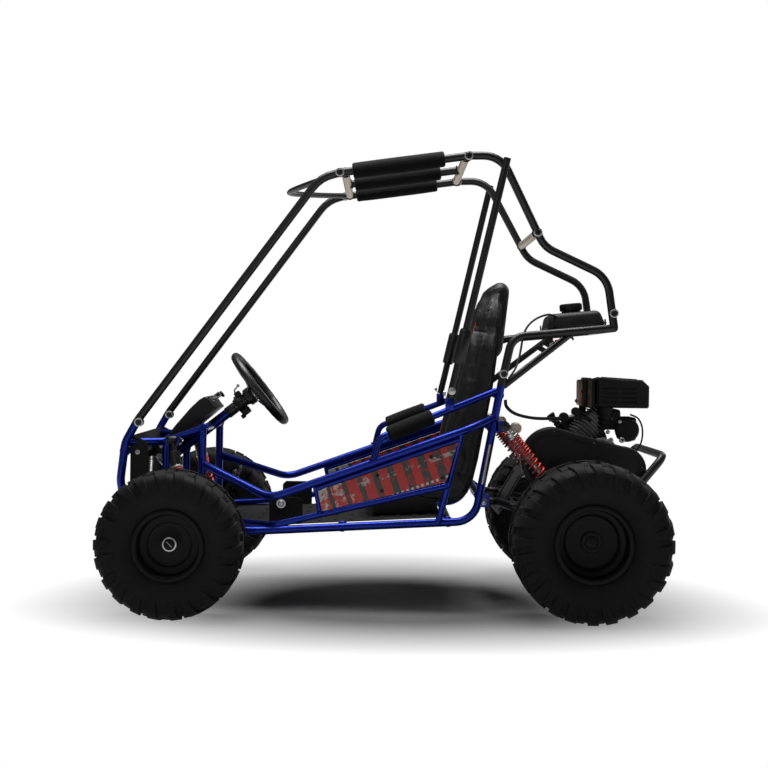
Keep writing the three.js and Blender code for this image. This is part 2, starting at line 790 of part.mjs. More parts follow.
// Floor pan on the floor bars, with a kick plate behind the bend of each side rail and ears for the pedals
const pedal = {
  y: 74,
  pivotX: 462,
  pivotZ: 236,
  armLength: 96,
  lean: 24 * degree,
  padWidth: 62,
  padHeight: 46,
  padThickness: 9,
  eyeR: 9,
  eyeWidth: 24,
  armR: 6,
};
const pan = {
  thickness: 3,
  frontX: 636,
  rearX: -150,
  halfWidth: 243,
  kickFrontX: 305,
  kickRearX: 217,
  kickZ: 288,
};
const panLift = tubeR + gap;
function floorPan() {
  const under = [pan.frontX, loop.kneeX, pan.rearX].map((x) => [x, floorLine(x) + panLift]);
  const over = under.map(([x, z]) => [x, z + pan.thickness]).reverse();
  const pieces = [sidePlate([...under, ...over], 2 * pan.halfWidth, 0)];
  [left, right].forEach((side) => {
    const outline = [
      [pan.kickFrontX, floorLine(pan.kickFrontX) + panLift],
      [pan.kickFrontX, pan.kickZ],
      [pan.kickRearX, pan.kickZ],
      [pan.kickRearX, floorLine(pan.kickRearX) + panLift],
    ];
    pieces.push(sidePlate(outline, pan.thickness, (pan.halfWidth - pan.thickness / 2) * side));
  });
  [left, right].forEach((side) => {
    [left, right].forEach((cheek) => {
      const y = pedal.y * side + cheek * (pedal.eyeWidth / 2 + lug.clearance + lug.thickness / 2);
      const footZ = floorLine(pedal.pivotX) + panLift;
      const height = pedal.pivotZ + pedal.eyeR - footZ;
      pieces.push(block(2 * pedal.eyeR, lug.thickness, height, at(pedal.pivotX, y, footZ + height / 2)));
    });
  });
  const cutters = [];
  [left, right].forEach((side) => {
    [tower.rearX, tower.frontX].forEach((x) => {
      [tower.y, armPivot.y].forEach((y) => {
        const foot = at(x, y * side, loop.kneeZ);
        cutters.push(rod(foot, foot.clone().setZ(armPivot.z), tubeR + gap));
      });
    });
  });
  return formed(pieces, cutters);
}
place('floor_pan', floorPan(), 'black');

// Front guard: a bent plate behind the nose bars, its wings inside the hoops
const guard = { thickness: 3, faceX: 674, lowZ: 300, highZ: 446, wingX: 628, wingLowZ: 332, wingHighZ: 424 };
const guardY = loop.y - tubeR - gap - guard.thickness / 2;
function frontGuard() {
  const height = guard.highZ - guard.lowZ;
  const faceZ = guard.lowZ + height / 2;
  const pieces = [block(guard.thickness, 2 * guardY, height, at(guard.faceX, 0, faceZ))];
  const faceRear = guard.faceX - guard.thickness / 2;
  const outline = [
    [faceRear, guard.highZ],
    [guard.wingX, guard.wingHighZ],
    [(faceRear + guard.wingX) / 2, (guard.wingLowZ + guard.wingHighZ) / 2],
    [guard.wingX, guard.wingLowZ],
    [faceRear, guard.lowZ],
    [guard.faceX + guard.thickness / 2, guard.lowZ],
    [guard.faceX + guard.thickness / 2, guard.highZ],
  ];
  const cutters = [];
  [left, right].forEach((side) => {
    pieces.push(sidePlate(outline, guard.thickness, guardY * side));
    const frontTop = at(tower.frontX, tower.y * side, tower.frontTopZ);
    cutters.push(rod(frontTop, at(loop.browX, loop.y * side, loop.browZ), tubeR + gap));
    cutters.push(crossBar(noseBarX(noseBars.highZ), noseBars.highZ, loop.y, tubeR + gap));
  });
  return formed(pieces, cutters);
}
place('front_guard', frontGuard(), 'black');

// Dash hood above the column, with its ignition key and choke knob
const dash = { width: 190, length: 138, height: 34, bevel: 10, reach: 120, lift: 24, keyY: 48, knobY: -48 };
const key = { shankR: 5, shankLength: 9, bowLength: 20, bowHeight: 15, bowThickness: 4 };
const knob = { stemR: 4, stemLength: 16, headR: 10, headLength: 8, travel: 12 };
const columnUp = at(Math.sin(column.tilt), 0, Math.cos(column.tilt));
const dashGroup = new THREE.Group();
dashGroup.position.copy(columnAt(dash.reach).addScaledVector(columnUp, column.tubeR + dash.lift));
dashGroup.rotation.y = column.tilt;
kart.add(dashGroup);

function dashHood() {
  const shape = new THREE.Shape([
    new THREE.Vector2(0, 0),
    new THREE.Vector2(dash.length, 0),
    new THREE.Vector2(dash.length, dash.height - dash.bevel * 2),
    new THREE.Vector2(dash.length - dash.bevel, dash.height - dash.bevel),
    new THREE.Vector2(dash.bevel, dash.height),
    new THREE.Vector2(0, dash.height - dash.bevel / 2),
  ]);
  const hood = new THREE.ExtrudeGeometry(shape, { depth: dash.width, bevelEnabled: false });
  hood.rotateX(Math.PI / 2).translate(0, dash.width / 2, 0);
  const saddleHeight = dash.lift + column.tubeR;
  const saddleMiddle = at(dash.length / 2, 0, gap - saddleHeight / 2);
  const saddle = block(dash.bevel, dash.bevel * 2, saddleHeight, saddleMiddle);
  const shaftStart = at(-overrun, 0, -saddleHeight);
  const shaftEnd = at(dash.length, 0, -saddleHeight);
  return formed([hood, saddle], [rod(shaftStart, shaftEnd, column.tubeR + gap, roundSides)]);
}
place('dash_hood', dashHood(), 'plastic', dashGroup);

const keyShape = formed([
  rod(at(-gap, 0, 0), at(-gap - key.shankLength, 0, 0), key.shankR),
  block(key.bowLength, key.bowThickness, key.bowHeight, at(-key.shankLength - key.bowLength / 2, 0, 0)),
]);
const keyMesh = place('ignition_key', keyShape, 'steel', dashGroup);
keyMesh.position.set(0, dash.keyY, dash.height / 2);

const knobShape = formed([
  rod(at(-gap, 0, 0), at(-gap - knob.stemLength, 0, 0), knob.stemR),
  rod(at(-knob.stemLength, 0, 0), at(-knob.stemLength - knob.headLength, 0, 0), knob.headR),
]);
const knobMesh = place('choke_knob', knobShape, 'plastic', dashGroup);
knobMesh.position.set(0, dash.knobY, dash.height / 2);

// Steering wheel on its shaft, with the pitman arm at the shaft's foot
const steering = {
  rimR: 112,
  gripR: 13,
  hubR: 26,
  hubLength: 18,
  dish: 26,
  spokeWidth: 22,
  spokeThickness: 5,
  spokeTurn: 120 * degree,
  clampR: 20,
  clampLength: 40,
  pitmanLength: 41,
  pitmanThickness: 6,
  pitmanEndR: 16,
  pitmanReach: 337,
};

function steeringWheel() {
  const gripSteps = 6;
  const grip = [];
  for (let step = 0; step <= gripSteps; step += 1) {
    const angle = (step / gripSteps) * 2 * Math.PI;
    grip.push([steering.rimR + steering.gripR * Math.cos(angle), steering.gripR * Math.sin(angle)]);
  }
  const pieces = [turned(grip, roundSides * 2)];
  const hubBase = -steering.dish - steering.hubLength;
  pieces.push(rod(at(0, 0, -steering.dish), at(0, 0, hubBase), steering.hubR, roundSides));
  for (let spoke = 0; spoke < 3; spoke += 1) {
    const turn = Math.PI + spoke * steering.spokeTurn;
    const inner = steering.hubR - steering.gripR;
    const rise = steering.dish;
    const run = steering.rimR - inner;
    const length = Math.hypot(run, rise);
    const bar = new THREE.BoxGeometry(length, steering.spokeWidth, steering.spokeThickness);
    bar.rotateY(-Math.atan2(rise, run));
    bar.translate((steering.rimR + inner) / 2, 0, -rise / 2 - steering.spokeThickness);
    bar.rotateZ(turn);
    pieces.push(bar);
  }
  pieces.push(rod(at(0, 0, hubBase), at(0, 0, hubBase - steering.clampLength), steering.clampR));
  pieces.push(rod(at(0, 0, hubBase), at(0, 0, -column.shaftLength), column.shaftR, roundSides));
  const pitman = at(steering.pitmanLength / 2, 0, -steering.pitmanReach);
  pieces.push(block(steering.pitmanLength, steering.clampR, steering.pitmanThickness, pitman));
  const pitmanEnd = drum(steering.pitmanEndR, steering.pitmanThickness);
  pieces.push(pitmanEnd.translate(steering.pitmanLength, 0, -steering.pitmanReach));
  return formed(pieces);
}
const wheelMesh = place('steering_wheel', steeringWheel(), 'plastic');
wheelMesh.position.copy(wheelCentre);
wheelMesh.rotation.y = column.tilt - Math.PI / 2;

// A pedal's eye turns on the pan's ears; its arm leans to the driver and carries the pad
function pedalPiece() {
  const top = at(-Math.sin(pedal.lean) * pedal.armLength, 0, Math.cos(pedal.lean) * pedal.armLength);
  const halfWidth = pedal.eyeWidth / 2;
  const pad = block(pedal.padThickness, pedal.padWidth, pedal.padHeight, top, -pedal.lean);
  return formed([
    rod(at(0, -halfWidth, 0), at(0, halfWidth, 0), pedal.eyeR, roundSides),
    rod(at(0, 0, 0), top, pedal.armR),
    pad,
  ]);
}
[['brake_pedal', left], ['throttle_pedal', right]].forEach(([name, side]) => {
  place(name, pedalPiece(), 'black').position.set(pedal.pivotX, pedal.y * side, pedal.pivotZ);
});

// Bucket seat: a shell that follows the seat line, and the cushion in front of it
const seat = {
  line: [
    [52, 292], [24, 304], [-150, 280], [-203, 288], [-230, 338],
    [-252, 450], [-276, 565], [-291, 680], [-301, 760], [-304, 852],
  ],
  halfWidths: [160, 172, 178, 180, 182, 184, 184, 172, 146, 96],
  middles: [16, 34, 40, 38, 34, 30, 32, 30, 28, 12],
  sides: [26, 66, 88, 92, 90, 86, 72, 64, 54, 16],
  shellThickness: 10,
  shellHalfWidth: 150,
  runnerY: 132,
  runnerWidth: 26,
  runnerFrontX: 30,
  runnerRearX: -140,
  rowCount: 16,
  columnCount: 12,
  seamDepth: 7,
  spreadShare: 0.85,
  seamShare: 0.42,
  seamWidthShare: 0.07,
  bolsterShare: 0.72,
  edgeShare: 0.68,
  crownShare: 0.125,
};

function alongSeat(values, share) {
  const along = share * (values.length - 1);
  const index = Math.min(Math.floor(along), values.length - 2);
  const part = along - index;
  const smooth = part * part * (3 - 2 * part);
  return values[index] + (values[index + 1] - values[index]) * smooth;
}

const seatCurve = new THREE.CatmullRomCurve3(seat.line.map(([x, z]) => at(x, 0, z)), false, 'centripetal');
function seatFrame(share) {
  const point = seatCurve.getPoint(share);
  const tangent = seatCurve.getTangent(share);
  return { point, normal: at(tangent.z, 0, -tangent.x).normalize() };
}

// A closed slab between two surfaces that are sampled on the same grid
function slab(rows, columns, front, back) {
  const positions = [];
  const index = [];
  const corner = (layer, row, column) => (layer * (rows + 1) + row) * (columns + 1) + column;
  [front, back].forEach((surface) => {
    for (let row = 0; row <= rows; row += 1) {
      for (let column = 0; column <= columns; column += 1) {
        positions.push(...surface(row / rows, column / columns).toArray());
      }
    }
  });
  const quad = (a, b, c, d) => index.push(a, b, c, a, c, d);
  for (let row = 0; row < rows; row += 1) {
    for (let column = 0; column < columns; column += 1) {
      const cell = (layer) => [
        corner(layer, row, column), corner(layer, row, column + 1),
        corner(layer, row + 1, column + 1), corner(layer, row + 1, column),
      ];
      quad(...cell(0));
      quad(...cell(1).reverse());
    }
    quad(corner(0, row + 1, 0), corner(1, row + 1, 0), corner(1, row, 0), corner(0, row, 0));
    const near = corner(0, row, columns);
    const nearNext = corner(0, row + 1, columns);
    quad(near, corner(1, row, columns), corner(1, row + 1, columns), nearNext);
  }
  for (let column = 0; column < columns; column += 1) {
    const low = corner(0, 0, column);
    const high = corner(0, rows, column + 1);
    quad(low, corner(1, 0, column), corner(1, 0, column + 1), corner(0, 0, column + 1));
    quad(high, corner(1, rows, column + 1), corner(1, rows, column), corner(0, rows, column));
  }
  const geometry = new THREE.BufferGeometry();
  geometry.setAttribute('position', new THREE.BufferAttribute(new Float32Array(positions), 3));
  geometry.setIndex(index);
  return geometry;
}

function seatShell() {
  const surface = (offset) => (rowShare, columnShare) => {
    const { point, normal } = seatFrame(rowShare);
    const cushionHalf = alongSeat(seat.halfWidths, rowShare);
    const halfWidth = Math.min(seat.shellHalfWidth, cushionHalf - seat.shellThickness);
    const y = (columnShare * 2 - 1) * halfWidth;
    return point.clone().addScaledVector(normal, -offset).setY(y);
  };
  const shell = slab(seat.rowCount, 2, surface(gap), surface(gap + seat.shellThickness));
  const pieces = [shell];
  const top = (x) => floorLine(x) + panLift + pan.thickness + gap;
  const [, [, frontZ], [, rearZ]] = seat.line;
  const outline = [
    [seat.runnerFrontX, top(seat.runnerFrontX)],
    [seat.runnerFrontX, frontZ - seat.shellThickness / 2],
    [seat.runnerRearX, rearZ - seat.shellThickness / 2],
    [seat.runnerRearX, top(seat.runnerRearX)],
  ];
  [left, right].forEach((side) => pieces.push(sidePlate(outline, seat.runnerWidth, seat.runnerY * side)));
  const bars = [seatBars.lowZ, seatBars.midZ, seatBars.topZ];
  return formed(pieces, bars.map((z) => crossBar(uprightX(z), z, loop.y, tubeR + gap)));
}
place('seat_shell', seatShell(), 'plastic');

function seatCushion() {
  const across = (columnShare) => {
    const signed = columnShare * 2 - 1;
    return Math.sign(signed) * Math.pow(Math.abs(signed), seat.spreadShare);
  };
  const front = (rowShare, columnShare) => {
    const { point, normal } = seatFrame(rowShare);
    const u = across(columnShare);
    const halfWidth = alongSeat(seat.halfWidths, rowShare);
    const bolster = THREE.MathUtils.smoothstep(Math.abs(u), seat.seamShare, seat.bolsterShare);
    const middle = alongSeat(seat.middles, rowShare);
    const side = alongSeat(seat.sides, rowShare);
    const edge = THREE.MathUtils.smoothstep(Math.abs(u), seat.edgeShare, 1);
    const offSeam = (Math.abs(u) - seat.seamShare) / seat.seamWidthShare;
    const seamShare = Math.min(1, middle / seat.shellThickness / 2);
    const seam = Math.exp(-offSeam * offSeam) * seat.seamDepth * seamShare;
    const crown = middle * (1 + (1 - u * u) * seat.crownShare);
    const thickness = (crown + (side - middle) * bolster) * (1 - edge / 3) - seam;
    const lift = Math.max(thickness, seat.shellThickness / 2);
    return point.clone().addScaledVector(normal, lift).setY(u * halfWidth);
  };
  const back = (rowShare, columnShare) => {
    const { point, normal } = seatFrame(rowShare);
    const y = across(columnShare) * alongSeat(seat.halfWidths, rowShare);
    return point.clone().addScaledVector(normal, gap).setY(y);
  };
  return formed([slab(seat.rowCount, seat.columnCount, front, back)]);
}
place('seat_cushion', seatCushion(), 'leather');

// Front suspension: wishbone with a yoke, knuckle with its spindle, and tie rod
const tieRod = { radius: 6, endThickness: 8, innerY: 20, innerR: 8, clearance: 6, trimWidth: 60 };

function frontArm(side) {
  const y = (value) => value * side;
  const pieces = [];
  const yokeMouth = at(frontAxle.x, y(yoke.backY), yokeMouthZ);
  [armPivot.rearX, armPivot.frontX].forEach((x) => {
    const half = armPivot.sleeveLength / 2;
    const start = at(x - half, y(armPivot.y), armPivot.z);
    pieces.push(rod(start, start.clone().setX(x + half), armPivot.sleeveR, roundSides));
    const elbow = at(x, y(armPivot.y + armPivot.sleeveR / 2), armPivot.z);
    const mouth = yokeMouth.clone().setX(between(at(x, 0, 0), frontAxle, yoke.mouthShare).x);
    pieces.push(rod(elbow, mouth, barR));
  });
  const plateHeight = 2 * (yoke.plateZ + yoke.thickness / 2);
  const plateMiddle = at(frontAxle.x, y(yoke.backY), frontAxle.z);
  pieces.push(block(2 * yoke.halfWidth, yoke.thickness, plateHeight, plateMiddle));
  [left, right].forEach((level) => {
    const z = frontAxle.z + level * yoke.plateZ;
    const middle = at(frontAxle.x, y((yoke.backY + yoke.y) / 2), z);
    pieces.push(block(2 * yoke.halfWidth, yoke.y - yoke.backY, yoke.thickness, middle));
    pieces.push(drum(yoke.endR, yoke.thickness).translate(frontAxle.x, y(yoke.y), z));
  });
  const eye = frontShockFoot(side);
  const cheekPlaces = [ahead, behind].map((cheek) => cheekPlace(eye.x, cheek, cheek));
  const cheekSpan = Math.abs(cheekPlaces[0] - cheekPlaces[1]) + lug.thickness;
  const seatZ = armHeight(frontShock.footY);
  pieces.push(block(cheekSpan, lug.reach, barR * cheekSeatShare, at(eye.x, eye.y, seatZ)));
  cheekPlaces.forEach((x) => {
    const top = eye.z + shock.eyeR;
    pieces.push(block(lug.thickness, lug.reach, top - seatZ, at(x, eye.y, (top + seatZ) / 2)));
  });
  const boreR = (armPivot.barR + gap) / Math.cos(Math.PI / roundSides);
  const boreStart = at(armPivot.rearX - armPivot.sleeveLength, y(armPivot.y), armPivot.z);
  const boreEnd = boreStart.clone().setX(armPivot.frontX + armPivot.sleeveLength);
  return formed(pieces, [rod(boreStart, boreEnd, boreR, roundSides)]);
}

function frontKnuckle(side, spindleLength) {
  const reach = yoke.plateZ - yoke.thickness / 2 - gap;
  const steerArm = at(knuckle.armReach / 2, 0, knuckle.armZ);
  return formed([
    rod(at(0, 0, -reach), at(0, 0, reach), knuckle.kingpinR, roundSides),
    rod(at(0, 0, 0), at(0, spindleLength * side, 0), knuckle.spindleR, roundSides),
    block(knuckle.armReach, knuckle.armWidth, knuckle.armThickness, steerArm),
    drum(knuckle.endR, knuckle.armThickness).translate(knuckle.armReach, 0, knuckle.armZ),
  ]);
}

function tieRodPiece(side) {
  const tieZ = frontAxle.z + knuckle.armZ + (knuckle.armThickness + tieRod.endThickness) / 2 + gap;
  const outer = at(frontAxle.x + knuckle.armReach, yoke.y * side, tieZ);
  const half = tieRod.endThickness / 2;
  const innerReach = steering.pitmanReach + steering.pitmanThickness / 2 + half + tieRod.clearance;
  const inner = columnAt(innerReach).addScaledVector(columnUp, steering.pitmanLength);
  inner.setY(tieRod.innerY * side);
  const innerEnd = rod(
    inner.clone().addScaledVector(columnAxis, -half),
    inner.clone().addScaledVector(columnAxis, half),
    tieRod.innerR,
    roundSides,
  );
  const outerEnd = drum(knuckle.endR, tieRod.endThickness).translate(outer.x, outer.y, outer.z);
  const rodEnd = outer.clone().addScaledVector(inner.clone().sub(outer).normalize(), knuckle.endR / 2);
  const under = at(outer.x, outer.y, tieZ - half - tieRod.radius);
  const trim = block(tieRod.trimWidth, tieRod.trimWidth, tieRod.radius * 2, under);
  return formed([innerEnd, outerEnd, rod(inner, rodEnd, tieRod.radius)], [trim]);
}

// Coil-over shock between two eyes whose bolts run along an axis
function coilPath(length, radius, wireR, tightTurns, openTurns) {
  const tightPitch = shock.tightPitch;
  const lead = 2 * wireR;
  const height = length - 2 * lead;
  const openPitch = (height - tightTurns * tightPitch) / openTurns;
  const points = [at(radius, 0, 0)];
  const steps = (tightTurns + openTurns) * roundSides;
  for (let step = 0; step <= steps; step += 1) {
    const turns = step / roundSides;
    const angle = turns * 2 * Math.PI;
    const openPart = Math.min(turns, openTurns);
    const z = lead + openPart * openPitch + (turns - openPart) * tightPitch;
    points.push(at(radius * Math.cos(angle), radius * Math.sin(angle), z));
  }
  points.push(at(radius, 0, length));
  return new BentPath(points);
}

function leastCoilGap(path, wireR) {
  const rings = path.rings;
  const halfTurn = roundSides / 2;
  let least = Infinity;
  rings.forEach((ring, index) => {
    for (let other = index + halfTurn; other < rings.length - 1; other += 1) {
      const start = rings[other];
      const nearest = new THREE.Line3(start, rings[other + 1]).closestPointToPoint(ring, true, at(0, 0, 0));
      least = Math.min(least, nearest.distanceTo(ring) - 2 * wireR);
    }
  });
  return least;
}

// The front shock wears a long sleeve above its short spring
const shockKinds = {
  rear: { tightCount: 6, openCount: 5, topSeat: 38, sleeveR: 14, sleeveLength: 10 },
  front: { tightCount: 2, openCount: 4, topSeat: 78, sleeveR: 16, sleeveLength: 40 },
};

function shockAssembly(corner, foot, top, boltAxis, kind) {
  const length = foot.distanceTo(top);
  const eye = (centre) => {
    const half = shock.eyeWidth / 2;
    return rod(
      centre.clone().addScaledVector(boltAxis, -half),
      centre.clone().addScaledVector(boltAxis, half),
      shock.eyeR,
      roundSides,
    );
  };
  const topSeatZ = length - kind.topSeat;
  const bodyFoot = length * shock.bodyShare;
  const boreTop = length * shock.boreShare;
  const boreR = (shock.rodR + gap) / Math.cos(Math.PI / roundSides);
  const body = turned([
    [0, boreTop],
    [boreR, boreTop],
    [boreR, bodyFoot],
    [shock.bodyR, bodyFoot],
    [shock.bodyR, topSeatZ],
    [shock.capR, topSeatZ],
    [shock.capR, topSeatZ + shock.capThickness],
    [kind.sleeveR, topSeatZ + shock.capThickness],
    [kind.sleeveR, topSeatZ + shock.capThickness + kind.sleeveLength],
    [shock.neckR, topSeatZ + shock.capThickness + kind.sleeveLength],
    [shock.neckR, length],
    [0, length],
  ]);
  place(`${corner}_shock_body`, formed([aimed(body, foot, top), eye(top)]), 'steel');
  const rodTop = boreTop - (length - shock.topRoom - shock.footSeat) * shock.rodHoldShare;
  const plunger = turned([
    [0, 0],
    [shock.neckR, 0],
    [shock.neckR, shock.footSeat - shock.capThickness],
    [shock.capR, shock.footSeat - shock.capThickness],
    [shock.capR, shock.footSeat],
    [shock.rodR, shock.footSeat],
    [shock.rodR, rodTop],
    [0, rodTop],
  ]);
  place(`${corner}_shock_rod`, formed([aimed(plunger, foot, top), eye(foot)]), 'steel');
  const springLength = topSeatZ - shock.footSeat - 2 * gap;
  const path = coilPath(springLength, shock.springR, shock.wireR, kind.tightCount, kind.openCount);
  const leastGap = leastCoilGap(path, shock.wireR).toFixed(2);
  console.log(`${corner} spring: least gap between turns ${leastGap} mm`);
  const coil = tube(path, shock.wireR, barSides).translate(0, 0, shock.footSeat + gap);
  place(`${corner}_spring`, formed([aimed(coil, foot, top)]), 'red');
}

[left, right].forEach((side) => {
  const corner = `${sideName(side)}_front`;
  place(`${corner}_arm`, frontArm(side), 'blue');
  place(`${sideName(side)}_tie_rod`, tieRodPiece(side), 'steel');
  const rearCorner = `${sideName(side)}_rear`;
  shockAssembly(corner, frontShockFoot(side), frontShockTop(side), at(1, 0, 0), shockKinds.front);
  shockAssembly(rearCorner, rearShockFoot(side), rearShockTop(side), at(0, 1, 0), shockKinds.rear);
});

// Wheels: the tyre's profile as shares between bead and tread, and the rim as a turned dish
const wheel = {
  segmentCount: 24,
  lugPeriodCount: 4,
  rimSides: 12,
  tyreShares: [[0, 0.725], [0.1, 0.725], [0.36, 1], [0.82, 0.955], [1, 0.66]],
  lugShare: 0.35,
  discOffset: 14,
  discThickness: 6,
  flangeThickness: 5,
  barrelThickness: 5,
  hubR: 18,
  hubThickness: 6,
};
const wheelProfiles = {
  front: { discR: 56, dishR: 74, dishOffset: 24 },
  rear: { discR: 65, dishR: 82, dishOffset: 30 },
};

// Steps round a tyre whose lugs cross the tread, with a groove between two of them
function lugSteps(lugCount) {
  const steps = [];
  const half = Math.PI / wheel.segmentCount;
  for (let lugIndex = 0; lugIndex < lugCount; lugIndex += 1) {
    const middle = (lugIndex * 2 * Math.PI) / lugCount;
    steps.push({ angle: middle - half, treadDrop: 0, shoulderDrop: 0 });
    steps.push({ angle: middle + half, treadDrop: 0, shoulderDrop: 0 });
    steps.push({ angle: middle + Math.PI / lugCount, treadDrop: 1, shoulderDrop: 1 });
  }
  return steps;
}

// Even steps round a tyre whose lugs show on the shoulder alone
function shoulderSteps() {
  const steps = [];
  for (let step = 0; step < wheel.segmentCount; step += 1) {
    const angle = ((step + 1 / 2) * 2 * Math.PI) / wheel.segmentCount;
    const lugged = step % wheel.lugPeriodCount < wheel.lugPeriodCount / 2;
    steps.push({ angle, treadDrop: 0, shoulderDrop: lugged ? 0 : 1 });
  }
  return steps;
}

// The facet below the axle lies flat on the ground
function tyrePiece(tyre) {
  const facetShare = Math.cos(Math.PI / wheel.segmentCount);
  const rimR = (tyre.rimR + gap) / facetShare;
  const treadR = tyre.radius / facetShare;
  const half = tyre.width / 2;
  const steps = tyre.lugCount ? lugSteps(tyre.lugCount) : shoulderSteps();
  const ring = ({ treadDrop, shoulderDrop }) => wheel.tyreShares.map(([rise, spread], index) => {
    const fromTread = wheel.tyreShares.length - 1 - index;
    const drop = [treadDrop, shoulderDrop * wheel.lugShare][fromTread] || 0;
    const r = rimR + rise * (treadR - rimR) - drop * tyre.lugDepth;
    const y = spread * half - (fromTread === 1 ? shoulderDrop * tyre.lugDepth : 0);
    return { r, y };
  });
  const positions = [];
  const index = [];
  const count = wheel.tyreShares.length * 2;
  steps.forEach((stepRing, step) => {
    const { angle } = stepRing;
    const outer = ring(stepRing);
    const inner = [...outer].reverse().map(({ r, y }) => ({ r, y: -y }));
    [...outer, ...inner].forEach(({ r, y }) => {
      positions.push(r * Math.sin(angle), y, -r * Math.cos(angle));
    });
    const here = step * count;
    const next = ((step + 1) % steps.length) * count;
    for (let side = 0; side < count; side += 1) {
      const beside = (side + 1) % count;
      index.push(here + side, here + beside, next + beside, here + side, next + beside, next + side);
    }
  });
  const geometry = new THREE.BufferGeometry();
  geometry.setAttribute('position', new THREE.BufferAttribute(new Float32Array(positions), 3));
  geometry.setIndex(index);
  return formed([geometry]);
}

function rimPiece(tyre, profile, side) {
  const flangeY = (tyre.width / 2) * wheel.tyreShares[0][1] + gap;
  const edgeY = flangeY + wheel.flangeThickness;
  const bore = tyre.rimR - wheel.barrelThickness;
  const face = wheel.discOffset + wheel.discThickness;
  const shape = turned([
    [0, wheel.discOffset],
    [profile.discR, wheel.discOffset],
    [bore, profile.dishOffset],
    [bore, -edgeY],
    [tyre.flangeR, -edgeY],
    [tyre.flangeR, -flangeY],
    [tyre.rimR, -flangeY],
    [tyre.rimR, flangeY],
    [tyre.flangeR, flangeY],
    [tyre.flangeR, edgeY],
    [bore, edgeY],
    [bore, profile.dishOffset + wheel.discThickness],
    [profile.discR, face],
    [wheel.hubR, face],
    [wheel.hubR, face + wheel.hubThickness],
    [0, face + wheel.hubThickness],
  ], wheel.rimSides);
  return formed([shape.rotateX(-side * Math.PI / 2)]);
}

const rearAxle = at(stance.rearAxleX, 0, rearTyre.radius);
[left, right].forEach((side) => {
  const name = sideName(side);
  const spindleLength = frontWheelY + wheel.discOffset - gap - yoke.y;
  const knuckleMesh = place(`${name}_knuckle`, frontKnuckle(side, spindleLength), 'steel');
  knuckleMesh.position.set(frontAxle.x, yoke.y * side, frontAxle.z);
  [
    ['front', frontTyre, frontAxle, frontWheelY],
    ['rear', rearTyre, rearAxle, rearWheelY],
  ].forEach(([end, tyre, axle, y]) => {
    const centre = axle.clone().setY(y * side);
    place(`${name}_${end}_tyre`, tyrePiece(tyre), 'rubber').position.copy(centre);
    const rim = rimPiece(tyre, wheelProfiles[end], side);
    place(`${name}_${end}_rim`, rim, 'plastic').position.copy(centre);
  });
});

// Live rear axle with its sprocket and brake disc
const axleShaft = {
  radius: 12.5,
  sprocketY: 165,
  sprocketR: 75,
  discY: -120,
  discR: 80,
  plateThickness: 6,
  hubR: 24,
  hubWidth: 30,
};
function rearAxlePiece() {
  const half = rearWheelY + wheel.discOffset - gap;
  const plateSides = roundSides + tubeSides;
  const along = (radius, y, width) => {
    return rod(at(0, y - width / 2, 0), at(0, y + width / 2, 0), radius, plateSides);
  };
  const plates = [[axleShaft.sprocketR, axleShaft.sprocketY], [axleShaft.discR, axleShaft.discY]];
  const pieces = [rod(at(0, -half, 0), at(0, half, 0), axleShaft.radius, roundSides)];
  plates.forEach(([radius, y]) => {
    pieces.push(along(radius, y, axleShaft.plateThickness));
    const hub = at(0, y - axleShaft.hubWidth / 2, 0);
    pieces.push(rod(hub, hub.clone().setY(y + axleShaft.hubWidth / 2), axleShaft.hubR, roundSides));
  });
  pieces.forEach((piece) => piece.rotateY(Math.PI / roundSides));
  return formed(pieces);
}
place('rear_axle', rearAxlePiece(), 'steel').position.copy(rearAxle);

// Swing arm: side tubes from the pivots to the bumper hoop, the axle housings and the engine's bed
const swing = {
  sideY: stance.armSideY,
  mouthX: -302,
  kneeX: -345,
  kneeZ: 268,
  lowZ: 229,
  riseX: -415,
  riseZ: 306,
  tailX: -560,
  tailZ: 318,
  housingR: 25,
  housingWidth: 26,
  barZ: 318,
  bedFrontX: -470,
  bedRearX: -610,
  bedEndX: -650,
  bedHalfWidth: 112,
  bedTopZ: 333,
  bedThickness: 6,
  bendR: 30,
};
const bumper = { footX: -596, footZ: 232, topX: -746, topY: 200, topZ: 408, bendR: 34 };

